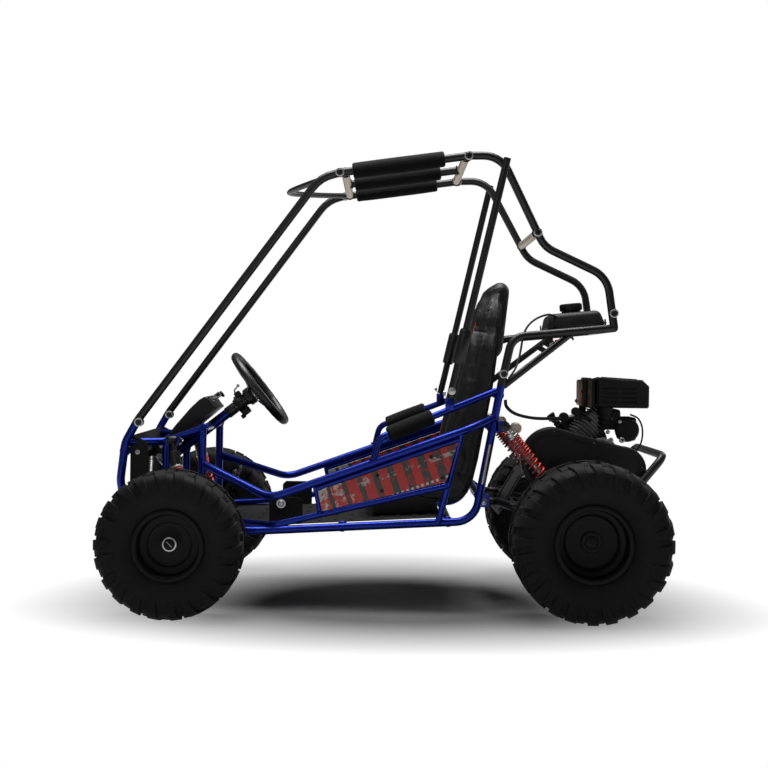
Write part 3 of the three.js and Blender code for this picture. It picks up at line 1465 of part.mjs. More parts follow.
function swingArm() {
  const pieces = [];
  [left, right].forEach((side) => {
    const y = swing.sideY * side;
    const pivot = at(swingPivot.x, swingPivot.y * side, swingPivot.z);
    const half = swingPivot.eyeWidth / 2;
    const sleeveStart = pivot.clone().setY(pivot.y - half);
    pieces.push(rod(sleeveStart, sleeveStart.clone().setY(pivot.y + half), swingPivot.eyeR, roundSides));
    pieces.push(tube(new BentPath([
      pivot,
      at(swing.mouthX, pivot.y, pivot.z),
      at(swing.kneeX, y, swing.kneeZ),
      at(rearAxle.x, y, swing.lowZ),
      at(bumper.footX, y, bumper.footZ),
    ]), tubeR));
    const legShare = (swing.tailZ - bumper.footZ) / (bumper.topZ - bumper.footZ);
    const hoopTop = at(bumper.topX, bumper.topY * side, bumper.topZ);
    const legEnd = between(at(bumper.footX, y, bumper.footZ), hoopTop, legShare);
    pieces.push(tube(new BentPath([
      at(swing.kneeX, y, swing.kneeZ),
      at(swing.riseX, y, swing.riseZ),
      at(swing.tailX, y, swing.tailZ),
      legEnd,
    ]), tubeR));
    const housing = at(rearAxle.x, y - swing.housingWidth / 2, rearAxle.z);
    pieces.push(rod(housing, housing.clone().setY(y + swing.housingWidth / 2), swing.housingR, roundSides));
    const eye = rearShockFoot(side);
    const cheekOffset = shock.eyeWidth / 2 + lug.clearance + lug.thickness / 2;
    const baseDepth = Math.abs(eye.y) + cheekOffset + lug.thickness / 2 - swing.sideY;
    const baseZ = eye.z - shock.eyeR - lug.reach / 2;
    const baseMiddle = at(eye.x, y + (side * baseDepth) / 2, baseZ);
    pieces.push(block(2 * shock.eyeR, baseDepth, lug.reach / 2, baseMiddle));
    [left, right].forEach((cheek) => {
      const cheekY = eye.y + cheek * cheekOffset;
      const height = eye.z + shock.eyeR - baseZ;
      pieces.push(block(2 * shock.eyeR, lug.thickness, height, at(eye.x, cheekY, baseZ + height / 2)));
    });
  });
  pieces.push(tube(new BentPath([
    at(bumper.footX, swing.sideY, bumper.footZ),
    at(bumper.topX, bumper.topY, bumper.topZ),
    at(bumper.topX, -bumper.topY, bumper.topZ),
    at(bumper.footX, -swing.sideY, bumper.footZ),
  ], bumper.bendR), tubeR));
  pieces.push(crossBar(swing.kneeX, swing.kneeZ, swing.sideY));
  [swing.bedFrontX, swing.bedRearX].forEach((x) => pieces.push(crossBar(x, swing.barZ, swing.sideY)));
  const bedLength = swing.bedFrontX + tubeR - swing.bedEndX;
  const bedMiddle = at(swing.bedEndX + bedLength / 2, 0, swing.bedTopZ - swing.bedThickness / 2);
  pieces.push(block(bedLength, 2 * swing.bedHalfWidth, swing.bedThickness, bedMiddle));
  const boreR = (axleShaft.radius + gap) / Math.cos(Math.PI / roundSides);
  const bore = rod(rearAxle.clone().setY(-rearWheelY), rearAxle.clone().setY(rearWheelY), boreR, roundSides);
  return formed(pieces, [bore]);
}
place('swing_arm', swingArm(), 'black');

// Engine on the swing arm's bed, with its finned cylinder, fan housing, air cleaner and shielded silencer
const engine = {
  frontX: -490,
  rearX: -640,
  halfWidth: 82,
  topZ: 440,
  cylinderX: -566,
  cylinderZ: 468,
  cylinderLength: 120,
  cylinderWidth: 96,
  finCount: 5,
  finReach: 5,
  finThickness: 5,
  lean: 40 * degree,
  hoodX: -631,
  hoodZ: 497,
  hoodLength: 54,
  hoodHeight: 64,
  flangeX: -552,
  cleanerX: -680,
  cleanerZ: 471,
  cleanerLength: 46,
  cleanerHeight: 70,
  cleanerWidth: 90,
  starterX: -560,
  starterZ: 418,
  starterR: 84,
  starterDepth: 42,
  bossX: -545,
  bossZ: 393,
  bossR: 34,
};
const silencer = {
  frontX: -562,
  rearX: -732,
  lowZ: 529,
  highZ: 615,
  chamfer: 22,
  halfWidth: 66,
  slotCount: 6,
  slotX: -608,
  slotPitch: 18,
  slotThickness: 6,
  slotDepth: 3,
  slotLowZ: 546,
  slotHighZ: 587,
};
const cover = {
  innerY: 150,
  outerY: 194,
  largeX: -452,
  largeZ: 393,
  largeR: 88,
  smallX: -640,
  smallZ: 368,
  smallR: 63,
};

function enginePiece() {
  const bedZ = swing.bedTopZ + gap;
  const pieces = [];
  const caseMiddle = at((engine.frontX + engine.rearX) / 2, 0, (bedZ + engine.topZ) / 2);
  pieces.push(block(engine.frontX - engine.rearX, 2 * engine.halfWidth, engine.topZ - bedZ, caseMiddle));
  const core = at(engine.cylinderX, 0, engine.cylinderZ);
  const depth = engine.cylinderLength / 2;
  pieces.push(block(depth, engine.cylinderWidth, engine.cylinderLength, core, -engine.lean));
  const finStep = engine.cylinderLength / (2 * engine.finCount);
  for (let fin = 0; fin < engine.finCount; fin += 1) {
    const finDepth = depth + 2 * engine.finReach;
    const finWidth = engine.cylinderWidth + 2 * engine.finReach;
    const reach = finStep * (fin + 1 / 2);
    const rise = at(-Math.sin(engine.lean), 0, Math.cos(engine.lean));
    const centre = core.clone().addScaledVector(rise, reach);
    pieces.push(block(finDepth, finWidth, engine.finThickness, centre, -engine.lean));
  }
  const hood = at(engine.hoodX, 0, engine.hoodZ);
  pieces.push(block(engine.hoodLength, engine.cylinderWidth, engine.hoodHeight, hood));
  const cleaner = at(engine.cleanerX, 0, engine.cleanerZ);
  pieces.push(block(engine.cleanerLength, engine.cleanerWidth, engine.cleanerHeight, cleaner));
  const pipeFoot = at(engine.flangeX, 0, engine.topZ);
  const pipeHead = at(silencer.frontX - tubeR, 0, silencer.lowZ + tubeR);
  pieces.push(rod(pipeFoot, pipeHead, tubeR));
  const starter = at(engine.starterX, -engine.halfWidth, engine.starterZ);
  const starterFace = starter.clone().setY(starter.y - engine.starterDepth);
  pieces.push(rod(starter, starterFace, engine.starterR, roundSides));
  const boss = at(engine.bossX, engine.halfWidth, engine.bossZ);
  pieces.push(rod(boss, boss.clone().setY(cover.innerY - gap), engine.bossR, roundSides));
  const box = [
    [silencer.frontX, silencer.lowZ],
    [silencer.frontX, silencer.highZ],
    [silencer.rearX + silencer.chamfer, silencer.highZ],
    [silencer.rearX, silencer.highZ - silencer.chamfer],
    [silencer.rearX, silencer.lowZ],
  ];
  pieces.push(sidePlate(box, 2 * silencer.halfWidth, 0));
  const cutters = [];
  const height = silencer.slotHighZ - silencer.slotLowZ;
  const slotZ = (silencer.slotLowZ + silencer.slotHighZ) / 2;
  for (let slot = 0; slot < silencer.slotCount; slot += 1) {
    [left, right].forEach((side) => {
      const middle = at(silencer.slotX - slot * silencer.slotPitch, silencer.halfWidth * side, slotZ);
      cutters.push(block(silencer.slotThickness, 2 * silencer.slotDepth, height, middle));
    });
  }
  return formed(pieces, cutters);
}
place('engine', enginePiece(), 'alloy');

// Drive cover over the chain, let in over the bed's bars, and the splash guard behind the seat
function driveCover() {
  const arc = (x, z, r, from, to) => {
    const points = [];
    for (let step = 0; step <= roundSides; step += 1) {
      const angle = from + ((to - from) * step) / roundSides;
      points.push([x + r * Math.cos(angle), z + r * Math.sin(angle)]);
    }
    return points;
  };
  const run = cover.largeX - cover.smallX;
  const rise = cover.largeZ - cover.smallZ;
  const skew = Math.asin((cover.largeR - cover.smallR) / Math.hypot(run, rise));
  const line = Math.atan2(rise, run);
  const upper = line + Math.PI / 2 - skew;
  const lower = line - Math.PI / 2 + skew;
  const outline = [
    ...arc(cover.largeX, cover.largeZ, cover.largeR, lower, upper),
    ...arc(cover.smallX, cover.smallZ, cover.smallR, upper, lower + 2 * Math.PI),
  ];
  const body = sidePlate(outline, cover.outerY - cover.innerY, (cover.outerY + cover.innerY) / 2);
  const cutters = [swing.bedFrontX, swing.bedRearX].map((x) => {
    return crossBar(x, swing.barZ, swing.sideY, tubeR + gap);
  });
  return formed([body], cutters);
}
place('drive_cover', driveCover(), 'black');

const splash = { thickness: 3, halfWidth: 118, lowReach: 46, highReach: 88, lean: 30 * degree, curl: 36 };
function splashGuard() {
  const sheet = at(-Math.sin(splash.lean), 0, Math.cos(splash.lean));
  const normal = at(Math.cos(splash.lean), 0, Math.sin(splash.lean));
  const barFlat = tubeR * Math.cos(Math.PI / tubeSides);
  const seatLine = at(swing.kneeX, 0, swing.kneeZ).addScaledVector(normal, barFlat + gap);
  const low = seatLine.clone().addScaledVector(sheet, -splash.lowReach);
  const high = seatLine.clone().addScaledVector(sheet, splash.highReach);
  const tip = high.clone().add(at(-splash.curl, 0, splash.curl / 2));
  const inside = [low, high, tip];
  const outside = inside.map((point) => point.clone().addScaledVector(normal, splash.thickness)).reverse();
  const outline = [...inside, ...outside].map(({ x, z }) => [x, z]);
  return formed([sidePlate(outline, 2 * splash.halfWidth, 0)]);
}
place('splash_guard', splashGuard(), 'black');

// The whole kart stands on the ground with its middle over the origin
const bounds = new THREE.Box3().setFromObject(kart);
const middle = bounds.getCenter(at(0, 0, 0));
kart.position.set(-middle.x, -middle.y, -bounds.min.z);
kart.updateMatrixWorld(true);

export default kart;
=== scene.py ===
# %% [markdown]
# An off road go kart is a welded steel tube frame with a roll cage, four knobbly tyres, coil-over
# shocks, a bucket seat and a small petrol engine behind it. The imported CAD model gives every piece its
# place. This lesson keeps those places and dresses them: round tube for six-sided tube, moulded tyres,
# a sewn seat and paint, rubber, foam and metal that look right close up.

# %% Load the frame
import json
import math

import bpy
from mathutils import Matrix, Vector

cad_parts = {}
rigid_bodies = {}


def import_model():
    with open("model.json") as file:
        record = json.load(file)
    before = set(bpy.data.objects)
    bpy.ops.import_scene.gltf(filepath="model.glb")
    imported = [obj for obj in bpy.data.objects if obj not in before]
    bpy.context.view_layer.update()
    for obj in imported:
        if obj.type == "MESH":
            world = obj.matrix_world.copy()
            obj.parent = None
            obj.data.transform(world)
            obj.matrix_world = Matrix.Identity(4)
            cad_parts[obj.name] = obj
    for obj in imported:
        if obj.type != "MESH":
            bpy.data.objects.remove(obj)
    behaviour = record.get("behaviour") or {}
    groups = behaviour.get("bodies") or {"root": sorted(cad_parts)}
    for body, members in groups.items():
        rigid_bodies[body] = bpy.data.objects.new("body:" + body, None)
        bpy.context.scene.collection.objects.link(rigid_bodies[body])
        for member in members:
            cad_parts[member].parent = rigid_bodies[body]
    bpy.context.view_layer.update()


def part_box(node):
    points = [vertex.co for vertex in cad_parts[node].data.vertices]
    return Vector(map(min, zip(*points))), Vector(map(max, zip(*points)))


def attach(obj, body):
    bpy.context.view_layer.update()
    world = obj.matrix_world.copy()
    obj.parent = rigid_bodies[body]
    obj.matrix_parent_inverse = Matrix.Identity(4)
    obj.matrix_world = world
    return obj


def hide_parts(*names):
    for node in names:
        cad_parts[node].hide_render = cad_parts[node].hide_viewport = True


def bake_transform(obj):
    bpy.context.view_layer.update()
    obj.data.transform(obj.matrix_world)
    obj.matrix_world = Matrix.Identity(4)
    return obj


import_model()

# %% [markdown]
# Every size in this lesson is in millimetres, measured from the middle of the wheelbase drawing. The CAD
# box is centred over the origin, so one shift along X joins the two, and the round front rim gives it.

# %% Measuring from the drawing
FRONT_AXLE_X, FRONT_AXLE_Z = 536, 187
REAR_AXLE_X, REAR_AXLE_Z = -520, 203
MM = 0.001
rim_low, rim_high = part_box("left_front_rim")
SHIFT = (rim_low.x + rim_high.x) / 2 - FRONT_AXLE_X / 1000
LEFT, RIGHT = 1, -1
BOTH = (LEFT, RIGHT)
SIDES = (("left", LEFT), ("right", RIGHT))
X, Y, Z = (1, 0, 0), (0, 1, 0), (0, 0, 1)


def at(x, y, z):
    """A place on the kart, from millimetres to metres."""
    return Vector((x * MM + SHIFT, y * MM, z * MM))


def local(x, y, z):
    """A place in a piece's own frame, from millimetres to metres."""
    return Vector((x * MM, y * MM, z * MM))


def spot(place):
    """A tuple is a place on the kart in millimetres. A Vector is in metres already."""
    return place if isinstance(place, Vector) else at(*place)


def facing(axis):
    """The turn that lays a piece's Z along an axis."""
    return Vector(axis).to_track_quat("Z", "Y").to_euler()


print("shift", round(SHIFT, 5))

# %% [markdown]
# The photograph was taken from the driver's left, a little below the seat back, with a long lens and the
# camera turned by less than a degree. The lens and the shift come from its vanishing point.

# %% Camera
FOCAL_PIXELS, PICTURE, SENSOR = 1345, 768, 36
ROLL = math.radians(0.796)
bpy.ops.object.camera_add(location=at(12.3, 3800, 649))
camera = bpy.context.object
camera.name = "camera"
camera.data.sensor_width = SENSOR
camera.data.lens = SENSOR * FOCAL_PIXELS / PICTURE
camera.data.shift_x, camera.data.shift_y = 2 / PICTURE, -22 / PICTURE
across = Vector((-math.cos(ROLL), 0, math.sin(ROLL)))
upward = Vector((math.sin(ROLL), 0, math.cos(ROLL)))
turn = Matrix((across, upward, Vector(Y))).transposed()
camera.matrix_world = Matrix.Translation(camera.location) @ turn.to_4x4()
bpy.context.scene.camera = camera
print("lens", round(camera.data.lens, 1), "mm")

# %% [markdown]
# Shader maths is easier to read as sums than as a net of nodes. A Wire is one socket, and adding or
# multiplying Wires adds the Math node that does it. A Finish is one material with its Principled shader.

# %% Shader helpers
class Wire:
    """One output socket of a material, which takes part in sums."""

    def __init__(self, finish, socket):
        self.finish, self.socket = finish, socket

    def maths(self, operation, first, second=None):
        inputs = {0: first} if second is None else {0: first, 1: second}
        return self.finish.node("ShaderNodeMath", {"operation": operation}, inputs)

    def __add__(self, other):
        return self.maths("ADD", self, other)

    def __sub__(self, other):
        return self.maths("SUBTRACT", self, other)

    def __rsub__(self, other):
        return self.maths("SUBTRACT", other, self)

    def __mul__(self, other):
        return self.maths("MULTIPLY", self, other)

    def __lt__(self, other):
        return self.maths("LESS_THAN", self, other)

    def wave(self):
        return self.maths("SINE", self)

    def size(self):
        return self.maths("ABSOLUTE", self)

    def part(self):
        return self.maths("FRACT", self)

    __radd__, __rmul__ = __add__, __mul__


def rgb(red, green, blue):
    return (red, green, blue, 1.0)


class Finish:
    """A material whose nodes are added by type, settings and inputs."""

    def __init__(self, name, roughness, metallic=0.0, coat=0.0, coat_roughness=0.1, sheen=0.0, specular=0.5):
        self.material = bpy.data.materials.new(name)
        self.material.use_nodes = True
        self.tree = self.material.node_tree
        self.shader = next(n for n in self.tree.nodes if n.type == "BSDF_PRINCIPLED")
        sockets = ("Roughness", "Metallic", "Coat Weight", "Coat Roughness", "Sheen Weight", "Specular IOR Level")
        for socket, value in zip(sockets, (roughness, metallic, coat, coat_roughness, sheen, specular)):
            self.shader.inputs[socket].default_value = value

    def node(self, kind, settings, inputs, output=0):
        made_node = self.tree.nodes.new(kind)
        for key, value in settings.items():
            setattr(made_node, key, value)
        for key, value in inputs.items():
            if isinstance(value, Wire):
                self.tree.links.new(value.socket, made_node.inputs[key])
            else:
                made_node.inputs[key].default_value = value
        return Wire(self, made_node.outputs[output])

    def outputs_of(self, wire, *names):
        return [Wire(self, wire.socket.node.outputs[name]) for name in names]

    def place(self):
        """Where on the object a point lies, in metres."""
        return self.node("ShaderNodeTexCoord", {}, {}, "Object")

    def axes(self):
        return self.outputs_of(self.node("ShaderNodeSeparateXYZ", {}, {0: self.place()}), "X", "Y", "Z")

    def noise(self, scale, detail=4.0, rough=0.5):
        settings = {"Vector": self.place(), "Scale": scale, "Detail": detail, "Roughness": rough}
        return self.node("ShaderNodeTexNoise", {}, settings, "Fac")

    def cells(self, scale):
        return self.node("ShaderNodeTexVoronoi", {}, {"Vector": self.place(), "Scale": scale}, "Distance")

    def ramp(self, value, *stops):
        wire = self.node("ShaderNodeValToRGB", {}, {"Fac": value}, "Color")
        elements = wire.socket.node.color_ramp.elements
        while len(elements) < len(stops):
            elements.new(1.0)
        for element, (place, shade) in zip(elements, stops):
            element.position = place
            element.color = rgb(*shade) if hasattr(shade, "__len__") else rgb(shade, shade, shade)
        return wire

    def mixed(self, share, first, second):
        return self.node("ShaderNodeMix", {"data_type": "RGBA"}, {"Factor": share, 6: first, 7: second}, 2)

    def link(self, socket, value):
        self.tree.links.new(value.socket, self.shader.inputs[socket])

    def bump(self, height, depth, strength):
        settings = {"Height": height, "Distance": depth, "Strength": strength}
        self.link("Normal", self.node("ShaderNodeBump", {}, settings, "Normal"))


def wandering(name, tone, stops, rough, bump=None, grain=None, pores=None, **shine):
    """A finish whose colour and roughness follow one noise, its tone.

    Rough is the least roughness and what the tone adds. Bump is the tone's share in the height, then depth
    and strength. Grain, a finer noise, and pores, small cells, are added to that height.
    """
    look = Finish(name, **shine)
    wander = look.noise(*tone)
    look.link("Base Color", look.ramp(wander, *stops))
    look.link("Roughness", rough[0] + rough[1] * wander)
    if bump:
        height = bump[0] * wander
        if grain:
            height = height + look.noise(*grain)
        if pores:
            height = height + look.cells(pores)
        look.bump(height, *bump[1:])
    return look


# %% [markdown]
# The frame is powder coated in a metallic royal blue under clear lacquer. Fine flakes and a slight orange
# peel keep it from looking like plastic, and the paint is a touch darker where it has been rubbed.

# %% Blue lacquer
blue_paint = Finish("blue_paint", roughness=0.3, metallic=0.85, coat=0.12, coat_roughness=0.1)
flakes = blue_paint.noise(900, 2)
rubbed = blue_paint.noise(14, 5)
lacquer = blue_paint.ramp(flakes, (0.3, (0.003, 0.012, 0.17)), (0.7, (0.008, 0.03, 0.34)))
worn_share = blue_paint.ramp(rubbed, (0.62, 0), (0.8, 1))
blue_paint.link("Base Color", blue_paint.mixed(worn_share, lacquer, rgb(0.007, 0.015, 0.13)))
blue_paint.link("Roughness", 0.24 + 0.14 * rubbed)
blue_paint.bump(blue_paint.noise(260, 2), 0.0002, 0.35)

# %% [markdown]
# The foam pads wear a woven nylon cover. Two crossed waves make the weave, at about a millimetre a thread.

# %% Nylon cover
THREADS = 5200
nylon = Finish("nylon", roughness=0.86, sheen=0.04, specular=0.2)
spot_x, spot_y, spot_z = nylon.axes()
threads = (spot_x * THREADS).wave() * ((spot_y + spot_z) * THREADS).wave()
fade = nylon.noise(9, 4)
nylon_stops = (0.3, (0.005, 0.005, 0.0056)), (0.8, (0.013, 0.013, 0.014))
nylon.link("Base Color", nylon.ramp(fade + 0.12 * threads, *nylon_stops))
nylon.link("Roughness", 0.78 + 0.14 * fade)
nylon.bump(threads + 0.6 * nylon.noise(1400, 2), 0.0004, 0.6)

# %% [markdown]
# The cage is satin black, whose small scuffs shine a little. Tyre rubber is dull and dusty in the low
# places, the rims are thin paint on pressed steel, and zinc plate is bright but cloudy. The springs are
# an even red gloss with grime low in the coils.

# %% Paint, rubber and zinc
black_paint = wandering(
    "black_paint", (22, 6), [(0.35, (0.005, 0.005, 0.0056)), (0.75, (0.011, 0.011, 0.012))], (0.28, 0.2),
    roughness=0.36, coat=0.15, coat_roughness=0.3, specular=0.35)
rubber = wandering(
    "tyre_rubber", (18, 6),
    [(0.35, (0.005, 0.005, 0.0055)), (0.6, (0.009, 0.009, 0.009)), (0.85, (0.024, 0.022, 0.02))],
    (0.62, 0.28), (0.5, 0.0004, 0.5), (700, 3), roughness=0.78, specular=0.25)
rim_paint = wandering(
    "rim_paint", (26, 6), [(0.4, (0.005, 0.005, 0.0054)), (0.8, (0.014, 0.0135, 0.0125))], (0.38, 0.25),
    (0, 0.0003, 0.4), (420, 3), roughness=0.5, specular=0.15)
zinc = wandering(
    "zinc", (60, 5), [(0.3, (0.36, 0.36, 0.37)), (0.7, (0.58, 0.57, 0.55))], (0.22, 0.28),
    (0, 0.0002, 0.3), (380, 3), roughness=0.32, metallic=1.0)
spring_red = wandering(
    "spring_red", (40, 5), [(0.35, (0.85, 0.022, 0.017)), (0.8, (0.5, 0.015, 0.012))], (0.24, 0.24),
    (0, 0.0002, 0.3), (300, 2), roughness=0.3, coat=0.5, coat_roughness=0.12)

# %% [markdown]
# The seat is black grained vinyl, and leather grain is a net of small cells. Tank, hood and covers are
# black plastic with the etched texture of the mould. Hoses are plain rubber.

# %% Vinyl, plastic and hose
vinyl = wandering(
    "seat_vinyl", (55, 5), [(0.35, (0.006, 0.006, 0.0066)), (0.75, (0.012, 0.012, 0.013))], (0.36, 0.22),
    (0.8, 0.0006, 0.5), pores=650, roughness=0.45, coat=0.05, coat_roughness=0.4, specular=0.35)
red_vinyl = wandering(
    "red_vinyl", (60, 5), [(0.35, (0.5, 0.014, 0.012)), (0.75, (0.36, 0.01, 0.01))], (0.36, 0.2),
    (0, 0.0005, 0.4), pores=650, roughness=0.42)
plastic = wandering(
    "moulded_plastic", (12, 4), [(0.35, (0.006, 0.006, 0.0066)), (0.75, (0.011, 0.011, 0.012))], (0.4, 0.2),
    (0, 0.0003, 0.5), (1100, 2), roughness=0.5, specular=0.3)
hose_rubber = wandering(
    "hose_rubber", (80, 4), [(0.3, (0.006, 0.006, 0.006)), (0.8, (0.013, 0.013, 0.013))], (0.45, 0.2),
    roughness=0.55, specular=0.3)
grip_skin = wandering(
    "grip_skin", (18, 3), [(0.3, (0.006, 0.006, 0.0065)), (0.8, (0.012, 0.012, 0.012))], (0.32, 0.14),
    roughness=0.4, specular=0.5)

# %% [markdown]
# The engine's castings are sand-cast aluminium gone a little grey, and its shrouds are heat-proof black.
# The bare bars are tarnished steel. A brown gasket and a seam tempered by heat show at the silencer.

# %% Castings and hot metal
casting = wandering(
    "casting", (30, 6), [(0.35, (0.16, 0.16, 0.165)), (0.75, (0.34, 0.335, 0.32))], (0.4, 0.25),
    (0, 0.0006, 0.6), (420, 5), roughness=0.5, metallic=0.85)
heat_paint = wandering(
    "heat_paint", (24, 6), [(0.35, (0.005, 0.005, 0.0054)), (0.8, (0.013, 0.0125, 0.012))], (0.5, 0.25),
    (0, 0.0004, 0.5), (600, 4), roughness=0.6, specular=0.25)
bare = wandering(
    "bare_steel", (70, 6, 0.65), [(0.35, (0.52, 0.44, 0.36)), (0.6, (0.64, 0.55, 0.45)), (0.8, (0.4, 0.27, 0.2))],
    (0.34, 0.3), (1, 0.0002, 0.3), roughness=0.45, metallic=0.75)
gasket_finish = wandering(
    "gasket", (90, 6, 0.7), [(0.42, (0.45, 0.33, 0.25)), (0.55, (0.34, 0.16, 0.1)), (0.66, (0.4, 0.03, 0.02))],
    (0.4, 0.3), (1, 0.0003, 0.4), roughness=0.55, metallic=0.5)
seam_finish = wandering(
    "silencer_seam", (60, 5), [(0.35, (0.035, 0.028, 0.022)), (0.7, (0.1, 0.075, 0.05))], (0.4, 0.3),
    roughness=0.5, metallic=0.6)

# %% [markdown]
# The side panels carry a printed film in red, black and white. The design here is a plain one made for
# this lesson: slanted bars that widen to the rear, a row of small squares and a worn white edge.

# %% Panel print
panel_print = Finish("panel_print", roughness=0.38, coat=0.4, coat_roughness=0.15)
flat, _, flat_z = panel_print.axes()
level = flat_z + 0.3625 * flat
slant = flat - 0.35 * flat_z
splash_tone = panel_print.noise(38, 8, 0.7)
bars = (slant * 22).part() < (0.42 - 1.1 * flat)
squares = ((slant * 70).part() < 0.5) * ((level * 70).part() < 0.5)
row = ((level - 0.298).size() < 0.011) * squares
band = (level - 0.36).size() < 0.006
worn = panel_print.ramp(splash_tone, (0.5, 0), (0.56, 1))
red_ground = panel_print.ramp(splash_tone, (0.3, (0.62, 0.014, 0.012)), (0.7, (0.82, 0.04, 0.028)))
dark = panel_print.mixed(bars * (1 - 0.35 * worn), red_ground, rgb(0.012, 0.012, 0.013))
light = panel_print.mixed(row, dark, rgb(0.9, 0.88, 0.85))
fore = panel_print.ramp(splash_tone + 1.6 * (flat - 0.12), (0.5, 0), (0.58, 1)) * (1 - bars)
light = panel_print.mixed(fore, light, rgb(0.9, 0.86, 0.8))
fleck = panel_print.ramp(panel_print.noise(120, 6, 0.8), (0.6, 0), (0.64, 1))
pale = band * worn + 0.5 * fleck * (flat_z < 0.29)
panel_print.link("Base Color", panel_print.mixed(pale, light, rgb(0.66, 0.64, 0.62)))
panel_print.link("Roughness", 0.32 + 0.2 * splash_tone)
panel_print.bump(panel_print.noise(300, 2), 0.0002, 0.25)
print("finishes", len(bpy.data.materials))

# %% [markdown]
# A few small tools do the work of hands: let go of everything, join pieces, smooth by angle, and hide the CAD nodes
# that a new piece stands for.

# %% Hand tools
def let_go():
    """Nothing stays selected, so that the next operator acts on one piece."""
    if bpy.context.object and bpy.context.object.mode != "OBJECT":
        bpy.ops.object.mode_set(mode="OBJECT")
    bpy.ops.object.select_all(action="DESELECT")


def pick(*pieces):
    let_go()
    for piece in pieces:
        piece.select_set(True)
    bpy.context.view_layer.objects.active = pieces[0]


def settle(piece):
    """The object goes back to the origin, and its place stays in its mesh."""
    pick(piece)
    bpy.ops.object.transform_apply(location=True, rotation=True, scale=True)
    return piece


def placed(piece, place, turned=(0, 0, 0)):
    piece.location, piece.rotation_euler = place, turned
    return settle(piece)


def joined(name, pieces):
    for piece in pieces:
        settle(piece)
    pick(*pieces)
    if len(pieces) > 1:
        bpy.ops.object.join()
    whole = bpy.context.object
    whole.name = whole.data.name = name
    return whole


def painted(piece, finish):
    piece.data.materials.clear()
    piece.data.materials.append(finish.material)
    return piece


def smooth(piece, degrees=40):
    pick(piece)
    bpy.ops.object.shade_smooth_by_angle(angle=math.radians(degrees))
    return piece


def made(name, parts, finish, body, *nodes, slot=None):
    """One piece of all the parts. It rides on its body and stands for the CAD nodes named, which are hidden. The slot
    is not used.
    """
    piece = smooth(painted(joined(name, parts), finish))
    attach(piece, body)
    if nodes:
        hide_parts(*nodes)
    return piece


def edited(piece, *steps):
    """Runs mesh operators in edit mode, each on all of the piece."""
    pick(piece)
    bpy.ops.object.mode_set(mode="EDIT")
    for step in steps:
        bpy.ops.mesh.select_all(action="SELECT")
        step()
    bpy.ops.object.mode_set(mode="OBJECT")
    return piece


def draw_out(*way):
    return lambda: bpy.ops.mesh.extrude_region_move(TRANSFORM_OT_translate={"value": way})


def normals_out():
    bpy.ops.mesh.normals_make_consistent(inside=False)


def faces_out(piece):
    return edited(piece, lambda: bpy.ops.mesh.remove_doubles(threshold=0.00002), normals_out)


def finish_with(piece, kind, **settings):
    """Adds a modifier and applies it at once."""
    pick(piece)
    modifier = piece.modifiers.new(kind, kind)
    for key, value in settings.items():
        setattr(modifier, key, value)
    bpy.ops.object.modifier_apply(modifier=modifier.name)
    return piece


def beveled(piece, edge, segments=2, angle=None):
    """Eases the edges by some millimetres. With an angle, only edges sharper than it."""
    limit = {"limit_method": "ANGLE", "angle_limit": math.radians(angle)} if angle else {}
    return finish_with(piece, "BEVEL", width=edge * MM, segments=segments, **limit) if edge else piece


def subdivided(piece):
    return finish_with(piece, "SUBSURF", levels=1, render_levels=1)


def cut_by(piece, cutter):
    """Takes the cutter's shape out of the piece."""
    finish_with(piece, "BOOLEAN", operation="DIFFERENCE", object=cutter, solver="EXACT")
    pick(cutter)
    bpy.ops.object.delete()


print("tools ready")

# %% [markdown]
# Every tube of the frame is a line of straight runs with rounded corners. In Blender that is a curve with
# a bevel: the curve gives the bends, the bevel depth gives the tube, and converting it leaves a mesh.

# %% Bent tube
def bent_line(corners, bend, step=math.radians(9)):
    """The corner points with each inner corner rounded to the bend's radius."""
    points = []
    last = len(corners) - 1
    for index, corner in enumerate(corners):
        turn_angle = 0
        if bend and 0 < index < last:
            back = (corners[index - 1] - corner).normalized()
            onward = (corners[index + 1] - corner).normalized()
            turn_angle = math.pi - back.angle(onward)
        if turn_angle < 0.02:
            points.append(corner.copy())
            continue
        run = bend * math.tan(turn_angle / 2)
        middle = corner + (back + onward).normalized() * (bend / math.cos(turn_angle / 2))
        start, end = corner + back * run - middle, corner + onward * run - middle
        steps = max(2, round(turn_angle / step))
        for count in range(steps + 1):
            share = count / steps
            spoke = start * math.sin((1 - share) * turn_angle) + end * math.sin(share * turn_angle)
            points.append(middle + spoke / math.sin(turn_angle))
    return points


def bent_tube(corners, radius, bend=0.0, detail=3, closed=False):
    """A round tube along the line, as a mesh with closed ends."""
    let_go()
    bpy.ops.curve.primitive_bezier_curve_add(location=(0, 0, 0))
    line = bpy.context.object
    line.data.splines.clear()
    points = bent_line([spot(corner) for corner in corners], bend * MM)
    spline = line.data.splines.new("POLY")
    spline.points.add(len(points) - 1)
    for point, place in zip(spline.points, points):
        point.co = (*place, 1.0)
    spline.use_cyclic_u = closed
    line.data.dimensions = "3D"
    line.data.bevel_depth = radius * MM
    line.data.bevel_resolution = detail
    line.data.use_fill_caps = not closed
    bpy.ops.object.convert(target="MESH")
    return faces_out(bpy.context.object)


def rod(start, end, radius):
    return bent_tube([start, end], radius)


# %% [markdown]
# The small parts are primitives with eased edges: a disc, a slab, the raised bead that a weld leaves round
# the end of a tube, and a bolt with its washer. A plate is an outline in X and Z, filled and drawn out.

# %% Small parts
def disc(centre, axis, radius, thickness, sides=32, edge=0.0):
    let_go()
    size = {"vertices": sides, "radius": radius * MM, "depth": thickness * MM}
    bpy.ops.mesh.primitive_cylinder_add(location=spot(centre), rotation=facing(axis), **size)
    return beveled(settle(bpy.context.object), edge, angle=50)


